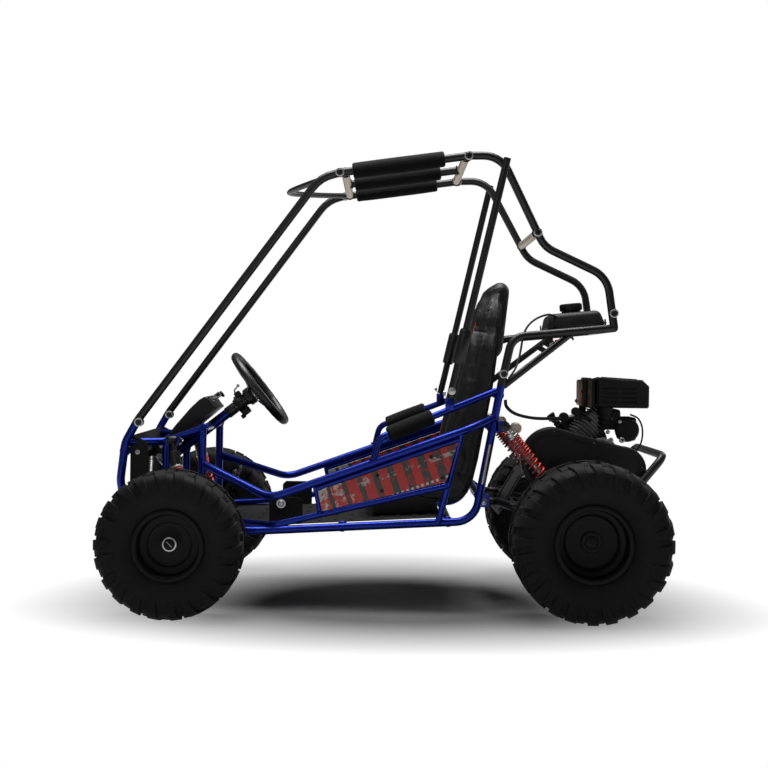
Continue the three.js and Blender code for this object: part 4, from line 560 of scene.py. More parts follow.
def slab(size, centre, lean=0.0, edge=0.0, segments=2):
    """A plate or box, leaning by an angle about Y."""
    let_go()
    scale = [length * MM for length in size]
    bpy.ops.mesh.primitive_cube_add(size=1, location=spot(centre), rotation=(0, lean, 0), scale=scale)
    return beveled(settle(bpy.context.object), edge, segments)


def weld(centre, axis, radius):
    let_go()
    size = {"major_radius": radius * MM, "minor_radius": 0.0026, "major_segments": 24, "minor_segments": 6}
    bpy.ops.mesh.primitive_torus_add(location=spot(centre), rotation=facing(axis), **size)
    return settle(bpy.context.object)


def bolt(centre, axis, radius, height, washer):
    """A hexagon head on its washer, the axis pointing out of the part."""
    centre, axis = spot(centre), Vector(axis).normalized()
    plate = disc(centre + axis * MM, axis, washer, 2, 24, 0.5)
    head = disc(centre + axis * ((2 + height / 2) * MM), axis, radius, height, 6, 0.8)
    return joined("bolt", [head, plate])


def extruded(corners, depth):
    """A face through the corners, drawn out to the left by a depth."""
    let_go()
    bpy.ops.mesh.primitive_circle_add(vertices=len(corners), radius=0.01, fill_type="NGON")
    piece = bpy.context.object
    for vertex, corner in zip(piece.data.vertices, corners):
        vertex.co = corner
    return edited(piece, draw_out(0, depth * MM, 0), normals_out)


def side_plate(outline, thickness, y, edge=0.8):
    """A plate cut to an outline in X and Z, its middle at y."""
    plate = extruded([at(x, y - thickness / 2, z) for x, z in outline], thickness)
    return beveled(plate, edge, 1, 50)


def round_the_clock(first, step):
    """Angles in radians round a full turn, from the first one on, in degrees."""
    return [math.radians(degrees) for degrees in range(first, 360, step)]


print("parts ready")

# %% [markdown]
# Turned parts are a closed profile of radius and height, spun round its axis. What repeats round an axis,
# such as teeth, ribs or holes, is one part arrayed round Z and then put in its place.

# %% Turned shapes
def spun(profile, steps=64, centre=Vector(), axis=Z):
    let_go()
    bpy.ops.mesh.primitive_circle_add(vertices=len(profile), radius=0.01)
    piece = bpy.context.object
    for vertex, (radius, height) in zip(piece.data.vertices, profile):
        vertex.co = (radius * MM, 0, height * MM)
    ends = {"use_merge_vertices": True, "merge_threshold": 0.00001}
    finish_with(piece, "SCREW", steps=steps, render_steps=steps, **ends)
    return placed(faces_out(piece), spot(centre), facing(axis))


def mirrored(profile):
    return [(radius, -height) for radius, height in reversed(profile)]


def turned_copies(piece, count, start=0.0):
    """The piece repeated round the Z axis through the origin."""
    settle(piece)
    let_go()
    bpy.ops.object.empty_add(location=(0, 0, 0), rotation=(0, 0, 2 * math.pi / count))
    pivot = bpy.context.object
    finish_with(piece, "ARRAY", count=count, use_relative_offset=False, use_object_offset=True, offset_object=pivot)
    pick(pivot)
    bpy.ops.object.delete()
    return placed(piece, (0, 0, 0), (0, 0, start))


def raised_grid(columns, rows):
    """A flat grid from -1 to 1 with a second layer one unit above it."""
    let_go()
    bpy.ops.mesh.primitive_grid_add(x_subdivisions=columns, y_subdivisions=rows, size=2)
    return edited(bpy.context.object, draw_out(0, 0, 1))


print("spinning ready")

# %% [markdown]
# First the stage. Near the kart the floor is dark grey, a painted shadow that is darkest under the kart and fades out
# over an ellipse round it, and it also takes the kart's real shadow. For the camera it turns into white light beyond
# that ellipse, as in a catalogue picture, and the surround is white as well.

# %% Floor and surround
SHADOW_BACK, SHADOW_NEAR = 1.23, 1.72
floor_finish = Finish("floor_painted_shadow", roughness=0.9)
# Painted shadow: the floor's dark grey base colour stands for the shade under the kart.
floor_finish.shader.inputs["Base Color"].default_value = rgb(0.16, 0.16, 0.16)
glow = floor_finish.node("ShaderNodeEmission", {}, {"Color": rgb(1, 1, 1), "Strength": 1.0}, "Emission")
floor_x, floor_y, _ = floor_finish.axes()
near_side, far_side = (floor_y - SHADOW_BACK) * SHADOW_NEAR, SHADOW_BACK - floor_y
deep = near_side.maths("MAXIMUM", near_side, far_side)
long = floor_x + 0.02
distance = long * long + deep * deep
distance = distance.maths("SQRT", distance)
# The painted shadow is darkest inside this ellipse and fades into white towards its rim.
limits = {"Value": distance, "From Min": 0.35, "From Max": 1.02}
far = floor_finish.node("ShaderNodeMapRange", {}, limits, "Result")
far = far.maths("POWER", far, 1.3)
light_path = floor_finish.node("ShaderNodeLightPath", {}, {}, "Is Camera Ray")
seen = light_path + floor_finish.outputs_of(light_path, "Is Glossy Ray")[0]
share = seen.maths("MINIMUM", seen, 1.0) * far
plain = Wire(floor_finish, floor_finish.shader.outputs[0])
blend_in = floor_finish.node("ShaderNodeMixShader", {}, {0: share, 1: plain, 2: glow})
surface_out = next(n for n in floor_finish.tree.nodes if n.type == "OUTPUT_MATERIAL")
floor_finish.tree.links.new(blend_in.socket, surface_out.inputs["Surface"])
let_go()
bpy.ops.mesh.primitive_plane_add(size=14, location=(0, -1.0, -0.0005))
floor = painted(bpy.context.object, floor_finish)
floor.name = "floor"

world = bpy.data.worlds.new("surround")
bpy.context.scene.world = world
world.use_nodes = True
nodes, links = world.node_tree.nodes, world.node_tree.links
sky = next(n for n in nodes if n.type == "BACKGROUND")
white = nodes.new("ShaderNodeBackground")
for background, strength in ((sky, 0.13), (white, 1.0)):
    background.inputs["Color"].default_value = rgb(1, 1, 1)
    background.inputs["Strength"].default_value = strength
mix_sky = nodes.new("ShaderNodeMixShader")
links.new(nodes.new("ShaderNodeLightPath").outputs["Is Camera Ray"], mix_sky.inputs[0])
links.new(sky.outputs[0], mix_sky.inputs[1])
links.new(white.outputs[0], mix_sky.inputs[2])
links.new(mix_sky.outputs[0], next(n for n in nodes if n.type == "OUTPUT_WORLD").inputs["Surface"])
bpy.context.scene.view_settings.view_transform = "Standard"

# %% [markdown]
# One broad soft light hangs over the kart, a weaker one stands by the camera and a third behind the
# engine draws a bright line along the tubes.

# %% Lights
LIGHTS = (
    ("top_light", (0.1, -0.2, 3.4), (0, 0, 0.4), (2.6, 2.0), 150),
    ("front_light", (1.6, 3.6, 2.2), (0, 0, 0.5), (2.2, 1.6), 9),
    ("back_light", (-2.4, -2.6, 2.0), (0, 0, 0.5), (1.8, 1.2), 24),
)
for name, place, target, size, power in LIGHTS:
    let_go()
    bpy.ops.object.light_add(type="AREA", location=place)
    lamp = bpy.context.object
    lamp.name = name
    lamp.data.shape = "RECTANGLE"
    lamp.data.size, lamp.data.size_y = size
    lamp.data.energy = power
    lamp.rotation_euler = (Vector(target) - Vector(place)).to_track_quat("-Z", "Y").to_euler()
print("lights", len(LIGHTS))

# %% [markdown]
# The main frame is two bent side loops with bars across them. The corners are those of the drawing: nose
# hoop, floor rail and rear upright. Round tube replaces the CAD's six-sided tube at the same centre lines.

# %% Main frame
TUBE, BAR, BEAD = 11, 9, 0.6
LOOP_Y = 255
LOOP = [(654, 487), (686, 428), (697, 330), (676, 198), (330, 200), (-237, 233), (-302, 590)]


def loop_x(z):
    """The rear upright's centre line at a height."""
    return -237 + (z - 233) / (590 - 233) * (-302 + 237)


def floor_z(x):
    if x < 330:
        return 200 + (330 - x) / (330 + 237) * 33
    return 200 + (x - 330) / (676 - 330) * -2


def nose_x(z):
    return 697 - ((z - 330) / 98 * 11 if z > 330 else (330 - z) / 132 * 21)


def cross_bar(x, z, half):
    """A bar across the kart with a weld bead at each end."""
    beads = [weld((x, side * (half - TUBE * 0.98), z), Y, TUBE + BEAD) for side in BOTH]
    return [rod((x, -half, z), (x, half, z), TUBE)] + beads


main_parts = [bent_tube([(x, LOOP_Y * side, z) for x, z in LOOP], TUBE, 62) for side in BOTH]
cross_bars = [(nose_x(z), z) for z in (262, 404)] + [(x, floor_z(x)) for x in (430, 112, -168)]
for x, z in cross_bars + [(loop_x(z), z) for z in (300, 478, 566)]:
    main_parts += cross_bar(x, z, LOOP_Y)
print("main frame parts", len(main_parts))

# %% [markdown]
# Each rear shock hangs between two plates welded behind the upright, and the swing arm turns between two
# pairs of ears on the low seat bar. The plates are thin blocks with eased edges.

# %% Ears of the main frame
REAR_TOP, REAR_FOOT, REAR_SHOCK_Y, CHEEK = (-313, 484), (-440, 325), 255, 14
PIVOT, PIVOT_Y = (-268, 276), 150
tip, root = REAR_TOP[0] - 11, loop_x(REAR_TOP[1]) + 2
shock_ear = [(root, 470.5), (root, 497.5), (tip + 6, 497.5), (tip, 491), (tip, 477), (tip + 6, 470.5)]
root = loop_x(300)
arm_ear = [(root + 6, 289), (root - 11, 306), (-283, 290), (-283, 268), (-276, 261), (-261, 261)]
for side in BOTH:
    main_parts += [side_plate(shock_ear, 5, REAR_SHOCK_Y * side + cheek * CHEEK) for cheek in BOTH]
    main_parts.append(slab((8, 33, 32), (loop_x(484) - 9, REAR_SHOCK_Y * side, 484), 0, 1))
    main_parts += [side_plate(arm_ear, 5, PIVOT_Y * side + cheek * 23) for cheek in BOTH]
main_frame = made("main_frame_tubes", main_parts, blue_paint, "frame", "main_frame")
print("main frame faces", len(main_frame.data.polygons))

# %% [markdown]
# The front frame stands inside the nose: four uprights, the bars that the arms turn on, the lugs of the
# front shocks, and the tube that carries the steering shaft.

# %% Front frame
COLUMN_TILT = math.radians(38.2)
WHEEL = (356, 569.5)
DOWN = (math.cos(COLUMN_TILT), 0, -math.sin(COLUMN_TILT))
OVER = (math.sin(COLUMN_TILT), 0, math.cos(COLUMN_TILT))


def column(reach, lift=0.0):
    """A place measured down the steering column from the wheel's middle."""
    return at(WHEEL[0] + DOWN[0] * reach + OVER[0] * lift, 0, WHEEL[1] + DOWN[2] * reach + OVER[2] * lift)


def column_z(x):
    return WHEEL[1] - (x - WHEEL[0]) * math.tan(COLUMN_TILT)


TOWER_Y, TOWERS, TOWER_FRONT_TOP = 190, (491, 588), 428
ARM_PIVOT_Y, ARM_PIVOT_Z = 118, 264
FRONT_TOP, FRONT_FOOT = (566, 226, 434), (526, 288, 250)
front_parts = []
for x in TOWERS:
    front_parts += cross_bar(x, 200, LOOP_Y) + cross_bar(x, column_z(x), TOWER_Y)
for side in BOTH:
    y, pivot_y = TOWER_Y * side, ARM_PIVOT_Y * side
    rear, front = TOWERS
    rear_top, front_top = (rear, y, column_z(rear)), (front, y, TOWER_FRONT_TOP)
    runs = [((rear, y, 200), rear_top), ((front, y, 200), front_top), (rear_top, front_top)]
    runs.append((front_top, (686, 247 * side, 428)))
    front_parts += [rod(start, end, TUBE) for start, end in runs]
    front_parts += [weld(top, Z, TUBE + BEAD) for top in (front_top, rear_top)]
    for x in TOWERS:
        front_parts.append(rod((x, pivot_y, 200), (x, pivot_y, 272), TUBE))
        front_parts.append(weld((x, pivot_y, 212), Z, TUBE + BEAD))
    front_parts.append(rod((rear, pivot_y, ARM_PIVOT_Z), (front, pivot_y, ARM_PIVOT_Z), 8))
    for cheek, room in ((1, 0.5), (-1, 3.2)):
        x = FRONT_TOP[0] + cheek * (TUBE + room + 2.5)
        reach = FRONT_TOP[1] - TOWER_Y + TUBE
        front_parts.append(slab((5, reach, 27), (x, side * (TOWER_Y + reach / 2), FRONT_TOP[2]), 0, 1.5))
front_parts.append(bent_tube([column(98), column(308)], 14, 0, 4))
front_frame = made("front_frame_tubes", front_parts, blue_paint, "frame", "front_frame")
print("front frame faces", len(front_frame.data.polygons))

# %% [markdown]
# Along each side run the upper rail, the nerf bar below it, a brace, the slim bar over the panel and the
# arm bar at the driver's elbow. They are bent outwards, so that they clear the cockpit.

# %% Side frames
RAIL_Y, SLIM = 329, 6
POST_FOOT_Z = 555.7


def rail_z(x):
    return 293 + (296 - x) / (296 + 206) * (475 - 293)


def nerf_z(x):
    return 224 + (285 - x) / (285 + 160) * (332 - 224)


def arm_bar(side, x):
    """A place on the upper run of the arm bar."""
    share = (17 - x) / (17 + 302)
    return at(x, (322 + share * (255 - 322)) * side, 452 + share * (581 - 452))


for name, side in SIDES:
    y = RAIL_Y * side
    rail = [(487, 190 * side, 367), (296, 326 * side, 293), (-206, y, 475), (-284, 262 * side, 506)]
    nerf = [(487, 192 * side, 224), (285, 323 * side, 224), (-160, y, 332)]
    elbow = [(32, y, rail_z(32)), (17, 322 * side, 452), (-290, 258 * side, 577)]
    foot = arm_bar(side, -166)
    post_foot_z = POST_FOOT_Z * MM
    parts = [
        bent_tube(rail, TUBE, 70),
        bent_tube(nerf, BAR, 70),
        bent_tube(elbow, BAR, 34),
        rod((-197, y, rail_z(-197)), (-141, 262 * side, floor_z(-141)), BAR),
        rod((183, y, rail_z(183) - 17), (-190, y, rail_z(-190) - 17), SLIM),
        rod((183, y, rail_z(183)), (166, y, nerf_z(166)), SLIM),
        weld((32, y, rail_z(32) + 11), Z, BAR + BEAD),
        weld((-160, y, 334), (1, 0, -0.2), BAR + BEAD),
        weld((183, y, rail_z(183) - 9), Z, SLIM + BEAD),
        weld((166, y, nerf_z(166) + 8), Z, SLIM + BEAD),
        slab((22, 26, POST_FOOT_Z - foot.z / MM), Vector((foot.x, foot.y, (foot.z + post_foot_z) / 2)), 0, 2),
    ]
    made(name + "_side_tubes", parts, blue_paint, "frame", name + "_side_frame")
print("side frames done")

# %% [markdown]
# The roll cage is black. Front pillars rise from the nose hoop and bend into the roof, a rounded wedge
# reaches forward as a visor bar, and behind the roof the rear cage drops in two bends to the tank carrier.

# %% Roll cage
PILLAR_FOOT, PILLAR_CROWN, PILLAR_END = (654, 487), (181, 1134), (127, 1147)
ROOF_TAIL, ROOF_BARS = (-214, 1196), (116, -203)
VISOR_REACH, VISOR_Y, VISOR_DROP, VISOR_NOSE = 164, 240, 25, 0.12
JOINT_GAP = 0.0006


def roof(x, y):
    share = (x - PILLAR_END[0]) / (ROOF_TAIL[0] - PILLAR_END[0])
    return at(x, y, PILLAR_END[1] + share * (ROOF_TAIL[1] - PILLAR_END[1]))


def visor(angle):
    """A place on the visor bar, a quarter round arc and three quarters a wedge with a rounded nose."""
    spread = math.sin(angle)
    wedge = 1 - (math.hypot(spread, VISOR_NOSE) - VISOR_NOSE) / (math.hypot(1, VISOR_NOSE) - VISOR_NOSE)
    reach = 0.25 * math.cos(angle) + 0.75 * wedge
    return at(ROOF_BARS[0] + VISOR_REACH * reach, VISOR_Y * spread, PILLAR_END[1] + 1.6 - VISOR_DROP * reach)


ROOF_WAY = (roof(-214, 0) - roof(127, 0)).normalized()
for name, side in SIDES:
    y = LOOP_Y * side
    foot, crown, end = [at(x, y, z) for x, z in (PILLAR_FOOT, PILLAR_CROWN, PILLAR_END)]
    start = foot + (crown - foot).normalized() * JOINT_GAP
    pillar_tube = bent_tube([start, crown, end], TUBE, 100)
    made(name + "_pillar_tube", [pillar_tube], black_paint, "frame", name + "_pillar")

roof_parts = [rod(roof(116, 0), roof(-203, 0), TUBE)]
roof_parts += [rod(roof(127, y) + ROOF_WAY * JOINT_GAP, roof(-213.4, y), TUBE) for y in (LOOP_Y, -LOOP_Y)]
for x in ROOF_BARS:
    roof_parts.append(rod(roof(x, -244), roof(x, 244), TUBE))
    for side in BOTH:
        roof_parts.append(weld(roof(x, 243 * side), Y, TUBE + BEAD))
        roof_parts.append(weld(roof(x - math.copysign(TUBE, x), 0), ROOF_WAY, TUBE + BEAD))
roof_parts.append(bent_tube([visor(math.pi * (step / 32 - 0.5)) for step in range(33)], 8))
made("roof_tubes", roof_parts, black_paint, "frame", "roof_frame")

# %% [markdown]
# The rear cage and the carrier below it are one welded piece, bolted on with bright washers that stand
# out in the picture.

# %% Rear cage
CAGE_Y = 210
CARRIER_CROWN, CARRIER_END = (-331, 720), (-606, 748)


def carrier(x, y, lift=0.0):
    share = (CARRIER_CROWN[0] - x) / (CARRIER_CROWN[0] - CARRIER_END[0])
    return at(x, y, CARRIER_CROWN[1] + share * (CARRIER_END[1] - CARRIER_CROWN[1]) + lift)


cage_parts = []
for side in BOTH:
    y = CAGE_Y * side
    tail = roof(-214, LOOP_Y * side) + ROOF_WAY * JOINT_GAP
    cage_parts += [
        bent_tube([tail, (-294, 252 * side, 1198), (-417, y, 962), (-586, y, 884), (-606, y, 748)], TUBE, 75),
        bent_tube([(-302, LOOP_Y * side, 590.3), (-331, 247 * side, 720), (-606, y, 748)], TUBE, 46),
        rod((-309, 252 * side, 590), carrier(-498, y), BAR),
        weld(carrier(-492, y, -12), (1, 0, -0.6), BAR + BEAD),
    ]
cage_parts += cross_bar(-398, 1000, CAGE_Y)
cage_parts += [rod(carrier(x, -CAGE_Y), carrier(x, CAGE_Y), radius) for x, radius in ((-606, TUBE), (-470, BAR))]
cage_parts += [rod(carrier(-470, 79 * side), carrier(-606, 79 * side), BAR) for side in BOTH]
made("rear_cage_tubes", cage_parts, black_paint, "frame", "rear_cage")

# %% [markdown]
# A post rises behind each shoulder from the arm bar to the roof. Near its foot it wears a wider sleeve.

# %% Posts
def post_ends(side):
    foot = arm_bar(side, -166)
    return Vector((foot.x, foot.y, 0.556)), at(-309, (LOOP_Y + 21.3) * side, 1188)


for name, side in SIDES:
    foot, head = post_ends(side)
    run = head - foot
    parts = [rod(foot, head, 10), disc(foot.lerp(head, 0.215), run, 16, run.length / MM * 0.135, 24, 2)]
    parts += [disc(foot.lerp(head, share), run, 14.5, 6, 24, 1) for share in (0.1475, 0.2825)]
    made(name + "_post_tube", parts, black_paint, "frame", name + "_post")
print("cage done")

# %% [markdown]
# The tyres carry blocky tread that wraps over the shoulder. A block is a raised grid: its length runs over
# the tyre's profile, its width round the tyre, and its top is smaller than its foot, so that the walls
# lean like moulded rubber. An array turns each kind of block round the spun carcass.

# %% Tread
LUG = 7.5
TREAD_RADIUS = 187
TYRES = {"front": (187, 145, 81, 22), "rear": (203, 200, 90, 24)}
SHOULDER = [
    (0.02, 0.7), (0.1, 0.725), (0.125, 0.76), (0.15, 0.79), (0.24, 0.9), (0.36, 0.97), (0.5, 0.995), (0.64, 0.985),
]
CROWN = [(-14, 0.95), (-7, 0.885), (-2.5, 0.76), (-0.8, 0.5), (0, 0.2)]


def carcass(radius, width, rim):
    """The profile from bead to bead as radius and height, a lug's height under the tread."""
    half, rise, crown = width / 2, radius - rim, radius - LUG
    upper = [(rim + rise * up, half * out) for up, out in SHOULDER]
    upper += [(crown + low, half * out) for low, out in CROWN]
    return upper + mirrored(upper)


def along(points, share):
    """A place on a line of points, and the outward way there."""
    reach = share * (len(points) - 1)
    index = min(int(reach), len(points) - 2)
    start, end = Vector(points[index]), Vector(points[index + 1])
    run = (end - start).normalized()
    return start.lerp(end, reach - index), Vector((run.y, -run.x))


def tread_block(outline, first, last, wide, slant, sign):
    """One block on the profile between two shares of it, on one side of the tyre."""
    piece = raised_grid(6, 1)
    for vertex in piece.data.vertices:
        share, side, high = (vertex.co.x + 1) / 2, vertex.co.y, vertex.co.z > 0.5
        place, out = along(outline, first + (last - first) * (0.04 + 0.92 * share if high else share))
        fade = 1 - 0.8 * max(0.0, share - 0.7) / 0.3
        place = place + out * (LUG * fade if high else -2.0)
        narrow = (0.84 if high else 1.0) * (1 - 0.22 * share)
        angle = (slant * share + side * narrow * wide / 2) / TREAD_RADIUS
        vertex.co = (place.x * MM * math.cos(angle), place.x * MM * math.sin(angle), sign * place.y * MM)
    return faces_out(piece)


print("tread ready")

# %% [markdown]
# Long and short blocks take turns round each shoulder, and a ring of small ones fills the middle.

# %% Tyres
LONG_BLOCK, SHORT_BLOCK, MIDDLE_BLOCK = (0.02, 0.52, 34, 20), (0.13, 0.47, 30, 12), (0.0, 0.085, 24, 0)
WHEEL_Y = {"front": 427.5, "rear": 400}
AXLES = {"front": (FRONT_AXLE_X, FRONT_AXLE_Z), "rear": (REAR_AXLE_X, REAR_AXLE_Z)}
WHEELS = [
    (name, side, end, at(x, WHEEL_Y[end] * side, z), name + "_front_wheel" if end == "front" else "rear_axle")
    for name, side in SIDES for end, (x, z) in AXLES.items()
]
UPRIGHT = (math.radians(90), 0, 0)
for name, side, end, centre, body in WHEELS:
    radius, width, rim, count = TYRES[end]
    profile = carcass(radius, width, rim)
    outline = profile[: len(profile) // 2][::-1]
    pitch = 2 * math.pi / count
    parts = [spun(profile, 96)]
    for sign in BOTH:
        first = pitch * (sign < 0)
        parts.append(turned_copies(tread_block(outline, *LONG_BLOCK, sign), count // 2, first))
        parts.append(turned_copies(tread_block(outline, *SHORT_BLOCK, sign), count // 2, pitch - first))
        parts.append(turned_copies(tread_block(outline, *MIDDLE_BLOCK, sign), count, pitch * 0.55))
    tyre = placed(joined("tyre", parts), centre, UPRIGHT)
    smooth(tyre, 32)
    made(f"{name}_{end}_rubber", [tyre], rubber, body, f"{name}_{end}_tyre")
print("tyre faces", len(tyre.data.polygons))

# %% [markdown]
# The rims are pressed discs. At the front a shallow dish with two raised rings holds a castle nut on a
# bright washer. At the rear the disc sits deep inside a wide barrel, and the axle end wears a cap.

# %% Rims
FRONT_FACE = [
    (0, 14), (0, 21), (20, 21), (22, 19.5), (50, 19.5), (53.5, 20.2), (55.5, 23), (58, 25.4), (61, 26), (70, 26),
    (72.5, 27), (74, 30), (75.2, 40),
]
FRONT_LIP = [
    (76, 50), (77.5, 54.5), (80.5, 57), (84, 57.6), (88, 57.4), (90, 56), (90.3, 54), (88.5, 53), (84, 52.8),
    (81.4, 50), (80.9, 46),
]
REAR_FACE = [
    (0, 14), (0, 20), (26, 20), (62, 20), (65.5, 21), (67, 24), (70, 31), (74, 34.5), (80, 36), (83.5, 38), (84.6, 44),
]
REAR_LIP = [
    (85, 66), (85.8, 73), (88, 76.6), (92, 77.6), (97.5, 77.2), (99.6, 75.4), (99.8, 73.4), (97, 72.8), (92.6, 72.6),
    (90.4, 70), (89.9, 64),
]
RIMS = {
    "front": FRONT_FACE + FRONT_LIP + mirrored(FRONT_LIP) + [(76, 18), (73, 20), (60, 18.5), (54, 14)],
    "rear": REAR_FACE + REAR_LIP + mirrored(REAR_LIP) + [(85, 31), (79, 29.5), (73, 28), (67, 22), (64, 14)],
}
WASHER = [(9, 20.6), (18, 20.6), (18, 22.4), (17, 23), (9, 23)]
HUB = [(15.5, 19), (27, 19), (27, 24.5), (25.5, 26), (17, 26), (15.5, 24.5)]
for name, side, end, centre, body in WHEELS:
    out = Vector((0, side, 0))
    rim_parts = [spun(RIMS[end], 64, centre, out)]
    if end == "rear":
        rim_parts.append(spun(HUB, 40, centre, out))
    made(f"{name}_{end}_wheel_rim", rim_parts, rim_paint, body, f"{name}_{end}_rim")
    reach, nut_size = (0.0238, (14.5, 3.6, 32, 0.8)) if end == "front" else (0.0218, (15.5, 6, 32, 1.4))
    nut = disc(centre + out * reach, out, *nut_size)
    if end == "front":
        pin_middle = centre + out * 0.0262
        pin = rod(pin_middle - local(7, 0, 6), pin_middle + local(6, 0, 7), 1.3)
        made(name + "_hub_washer", [spun(WASHER, 40, centre, out), pin], zinc, body)
    made(name + ("_hub_nut" if end == "front" else "_axle_cap"), [nut], rim_paint, body)
print("rims done")

# %% [markdown]
# The bucket seat is a foam cushion on a shell, covered in black vinyl. Its side view is a smooth line from
# the front edge over the base and up the back. The cushion is thick at the bolsters and thinner in the
# middle, so a grid is laid along that line and every point is lifted off it by the thickness there.

# %% Seat line
SEAT_LINE = [
    (52, 292), (24, 304), (-150, 280), (-203, 288), (-230, 338), (-252, 450), (-276, 565), (-292, 680), (-304, 760),
    (-311, 860),
]
HALF_WIDTHS = [160, 172, 178, 180, 182, 184, 184, 172, 146, 112]
MIDDLES = [16, 34, 40, 38, 34, 30, 32, 32, 38, 34]
BOLSTERS = [26, 66, 88, 92, 90, 86, 78, 66, 56, 36]
SEAM, CREST = 0.42, 0.72


def seat_place(share):
    """A point of the seat line in X and Z millimetres: a centripetal spline through its corners."""
    reach = share * (len(SEAT_LINE) - 1)
    index = min(int(reach), len(SEAT_LINE) - 2)
    part = reach - index
    knots = [Vector(point) for point in SEAT_LINE]
    knots = [2 * knots[0] - knots[1]] + knots + [2 * knots[-1] - knots[-2]]
    before, start, end, after = knots[index : index + 4]
    one, two, three = [math.sqrt((b - a).length) for a, b in ((before, start), (start, end), (end, after))]
    leave = ((start - before) / one - (end - before) / (one + two) + (end - start) / two) * two
    arrive = ((end - start) / two - (after - start) / (two + three) + (after - end) / three) * two
    square, cube = part * part, part * part * part
    ends = (2 * cube - 3 * square + 1) * start + (cube - 2 * square + part) * leave
    return ends + (3 * square - 2 * cube) * end + (cube - square) * arrive


def seat_frame(share):
    """A point of the line and the way from it towards the driver."""
    step = 0.004
    run = (seat_place(min(1, share + step)) - seat_place(max(0, share - step))).normalized()
    return seat_place(share), Vector((run.y, -run.x))


def eased(low, high, value):
    share = min(1.0, max(0.0, (value - low) / (high - low)))
    return share * share * (3 - 2 * share)


def rounding(share, start, run):
    """Falls from 1 to 0 in a quarter circle over a run of the line."""
    return math.sqrt(max(0.0, 1 - max(0.0, (share - start) / run) ** 2))


def along_seat(values, share):
    reach = share * (len(values) - 1)
    index = min(int(reach), len(values) - 2)
    return values[index] + (values[index + 1] - values[index]) * eased(0, 1, reach - index)


def seat_thickness(share, spread):
    """Foam thickness at a share of the line and a spread from -1 to 1 across the seat."""
    middle = along_seat(MIDDLES, share)
    thick = middle * (1 + (1 - spread * spread) * 0.125)
    thick += (along_seat(BOLSTERS, share) - middle) * eased(SEAM, CREST, abs(spread))
    return thick * (1 - eased(0.68, 1, abs(spread)) / 3) * (0.12 + 0.88 * rounding(share, 0.955, 0.045))


print("seat line", [round(value) for value in seat_place(0.5)])

# %% [markdown]
# The cover is stretched over foam, so the pad swells between its seams. The grid and a headrest block are
# joined, a voxel remesh gives them even faces, and cloth under a little pressure makes the swelling. It is
# capped, and fades to nothing at the back, where the pad rests on its shell.

# %% Cushion under pressure
SAMPLES = 240
line_samples = [(share / SAMPLES, *seat_frame(share / SAMPLES)) for share in range(SAMPLES + 1)]


def seat_slab(rows, columns):
    piece = raised_grid(rows, columns)
    for vertex in piece.data.vertices:
        share, spread = (vertex.co.x + 1) / 2, vertex.co.y
        spread = math.copysign(abs(spread) ** 0.85, spread)
        point, normal = seat_frame(share)
        point = point + normal * (max(seat_thickness(share, spread), 6) if vertex.co.z > 0.5 else 0.6)
        half = along_seat(HALF_WIDTHS, share) * (0.62 + 0.38 * rounding(share, 0.93, 0.07))
        vertex.co = at(point.x, spread * half, point.y)
    return faces_out(piece)


def on_seat(place):
    """Where a place of the cushion lies: its share of the line, its spread and its lift off the line."""
    flat = Vector(((place.x - SHIFT) / MM, place.z / MM))
    share, point, normal = min(line_samples, key=lambda sample: (flat - sample[1]).length_squared)
    return share, place.y / MM / along_seat(HALF_WIDTHS, share), (flat - point).dot(normal)


def puffed(piece, voxel, most):
    """Swells the closed pad by cloth pressure, by no more than most and not where it rests on its shell."""
    finish_with(piece, "REMESH", mode="VOXEL", voxel_size=voxel)
    before = [vertex.co.copy() for vertex in piece.data.vertices]
    pick(piece)
    cloth = piece.modifiers.new("swell", "CLOTH")
    cloth.settings.use_pressure = True
    cloth.settings.uniform_pressure_force = 4
    cloth.settings.effector_weights.gravity = 0
    cloth.settings.quality = 4
    scene = bpy.context.scene
    for frame_number in range(1, 21):
        scene.frame_set(frame_number)
    seen_piece = piece.evaluated_get(bpy.context.evaluated_depsgraph_get())
    after = [vertex.co.copy() for vertex in seen_piece.data.vertices]
    piece.modifiers.remove(cloth)
    scene.frame_set(1)
    for vertex, start, end in zip(piece.data.vertices, before, after):
        move = end - start
        if move.length > most:
            move = move * (most / move.length)
        vertex.co = start + move * eased(4, 22, on_seat(start)[2])


head_middle = at(-302, 0, 779)
head = slab((72, 240, 190), head_middle)
for vertex in head.data.vertices:
    if vertex.co.z > head_middle.z:
        vertex.co.x = at(-310, 0, 0).x + (vertex.co.x - head_middle.x) * 0.86
        vertex.co.y *= 0.84
    else:
        vertex.co.x = at(-288, 0, 0).x + (vertex.co.x - head_middle.x) * 0.8
        vertex.co.z -= 0.022
finish_with(head, "BEVEL", width=0.029, segments=7)
cushion = joined("seat_cover", [seat_slab(72, 44), head])
puffed(cushion, 0.0065, 0.007)
print("cushion faces", len(cushion.data.polygons))

# %% [markdown]
# The remesh would close any seam, so the seams come after it. Two long seams divide the middle panel from
# the bolsters, channels cross the panel, and one seam follows each bolster's crest. A point near a seam
# is drawn in along the seat's own normal, after a subdivision has made room for it.

# %% Seams and channels
CHANNELS = (0.1, 0.2, 0.3, 0.5, 0.58, 0.66, 0.74)
EDGE_SEAM = 0.9


def groove(distance, width, depth):
    return depth * math.exp(-((distance / width) ** 2))


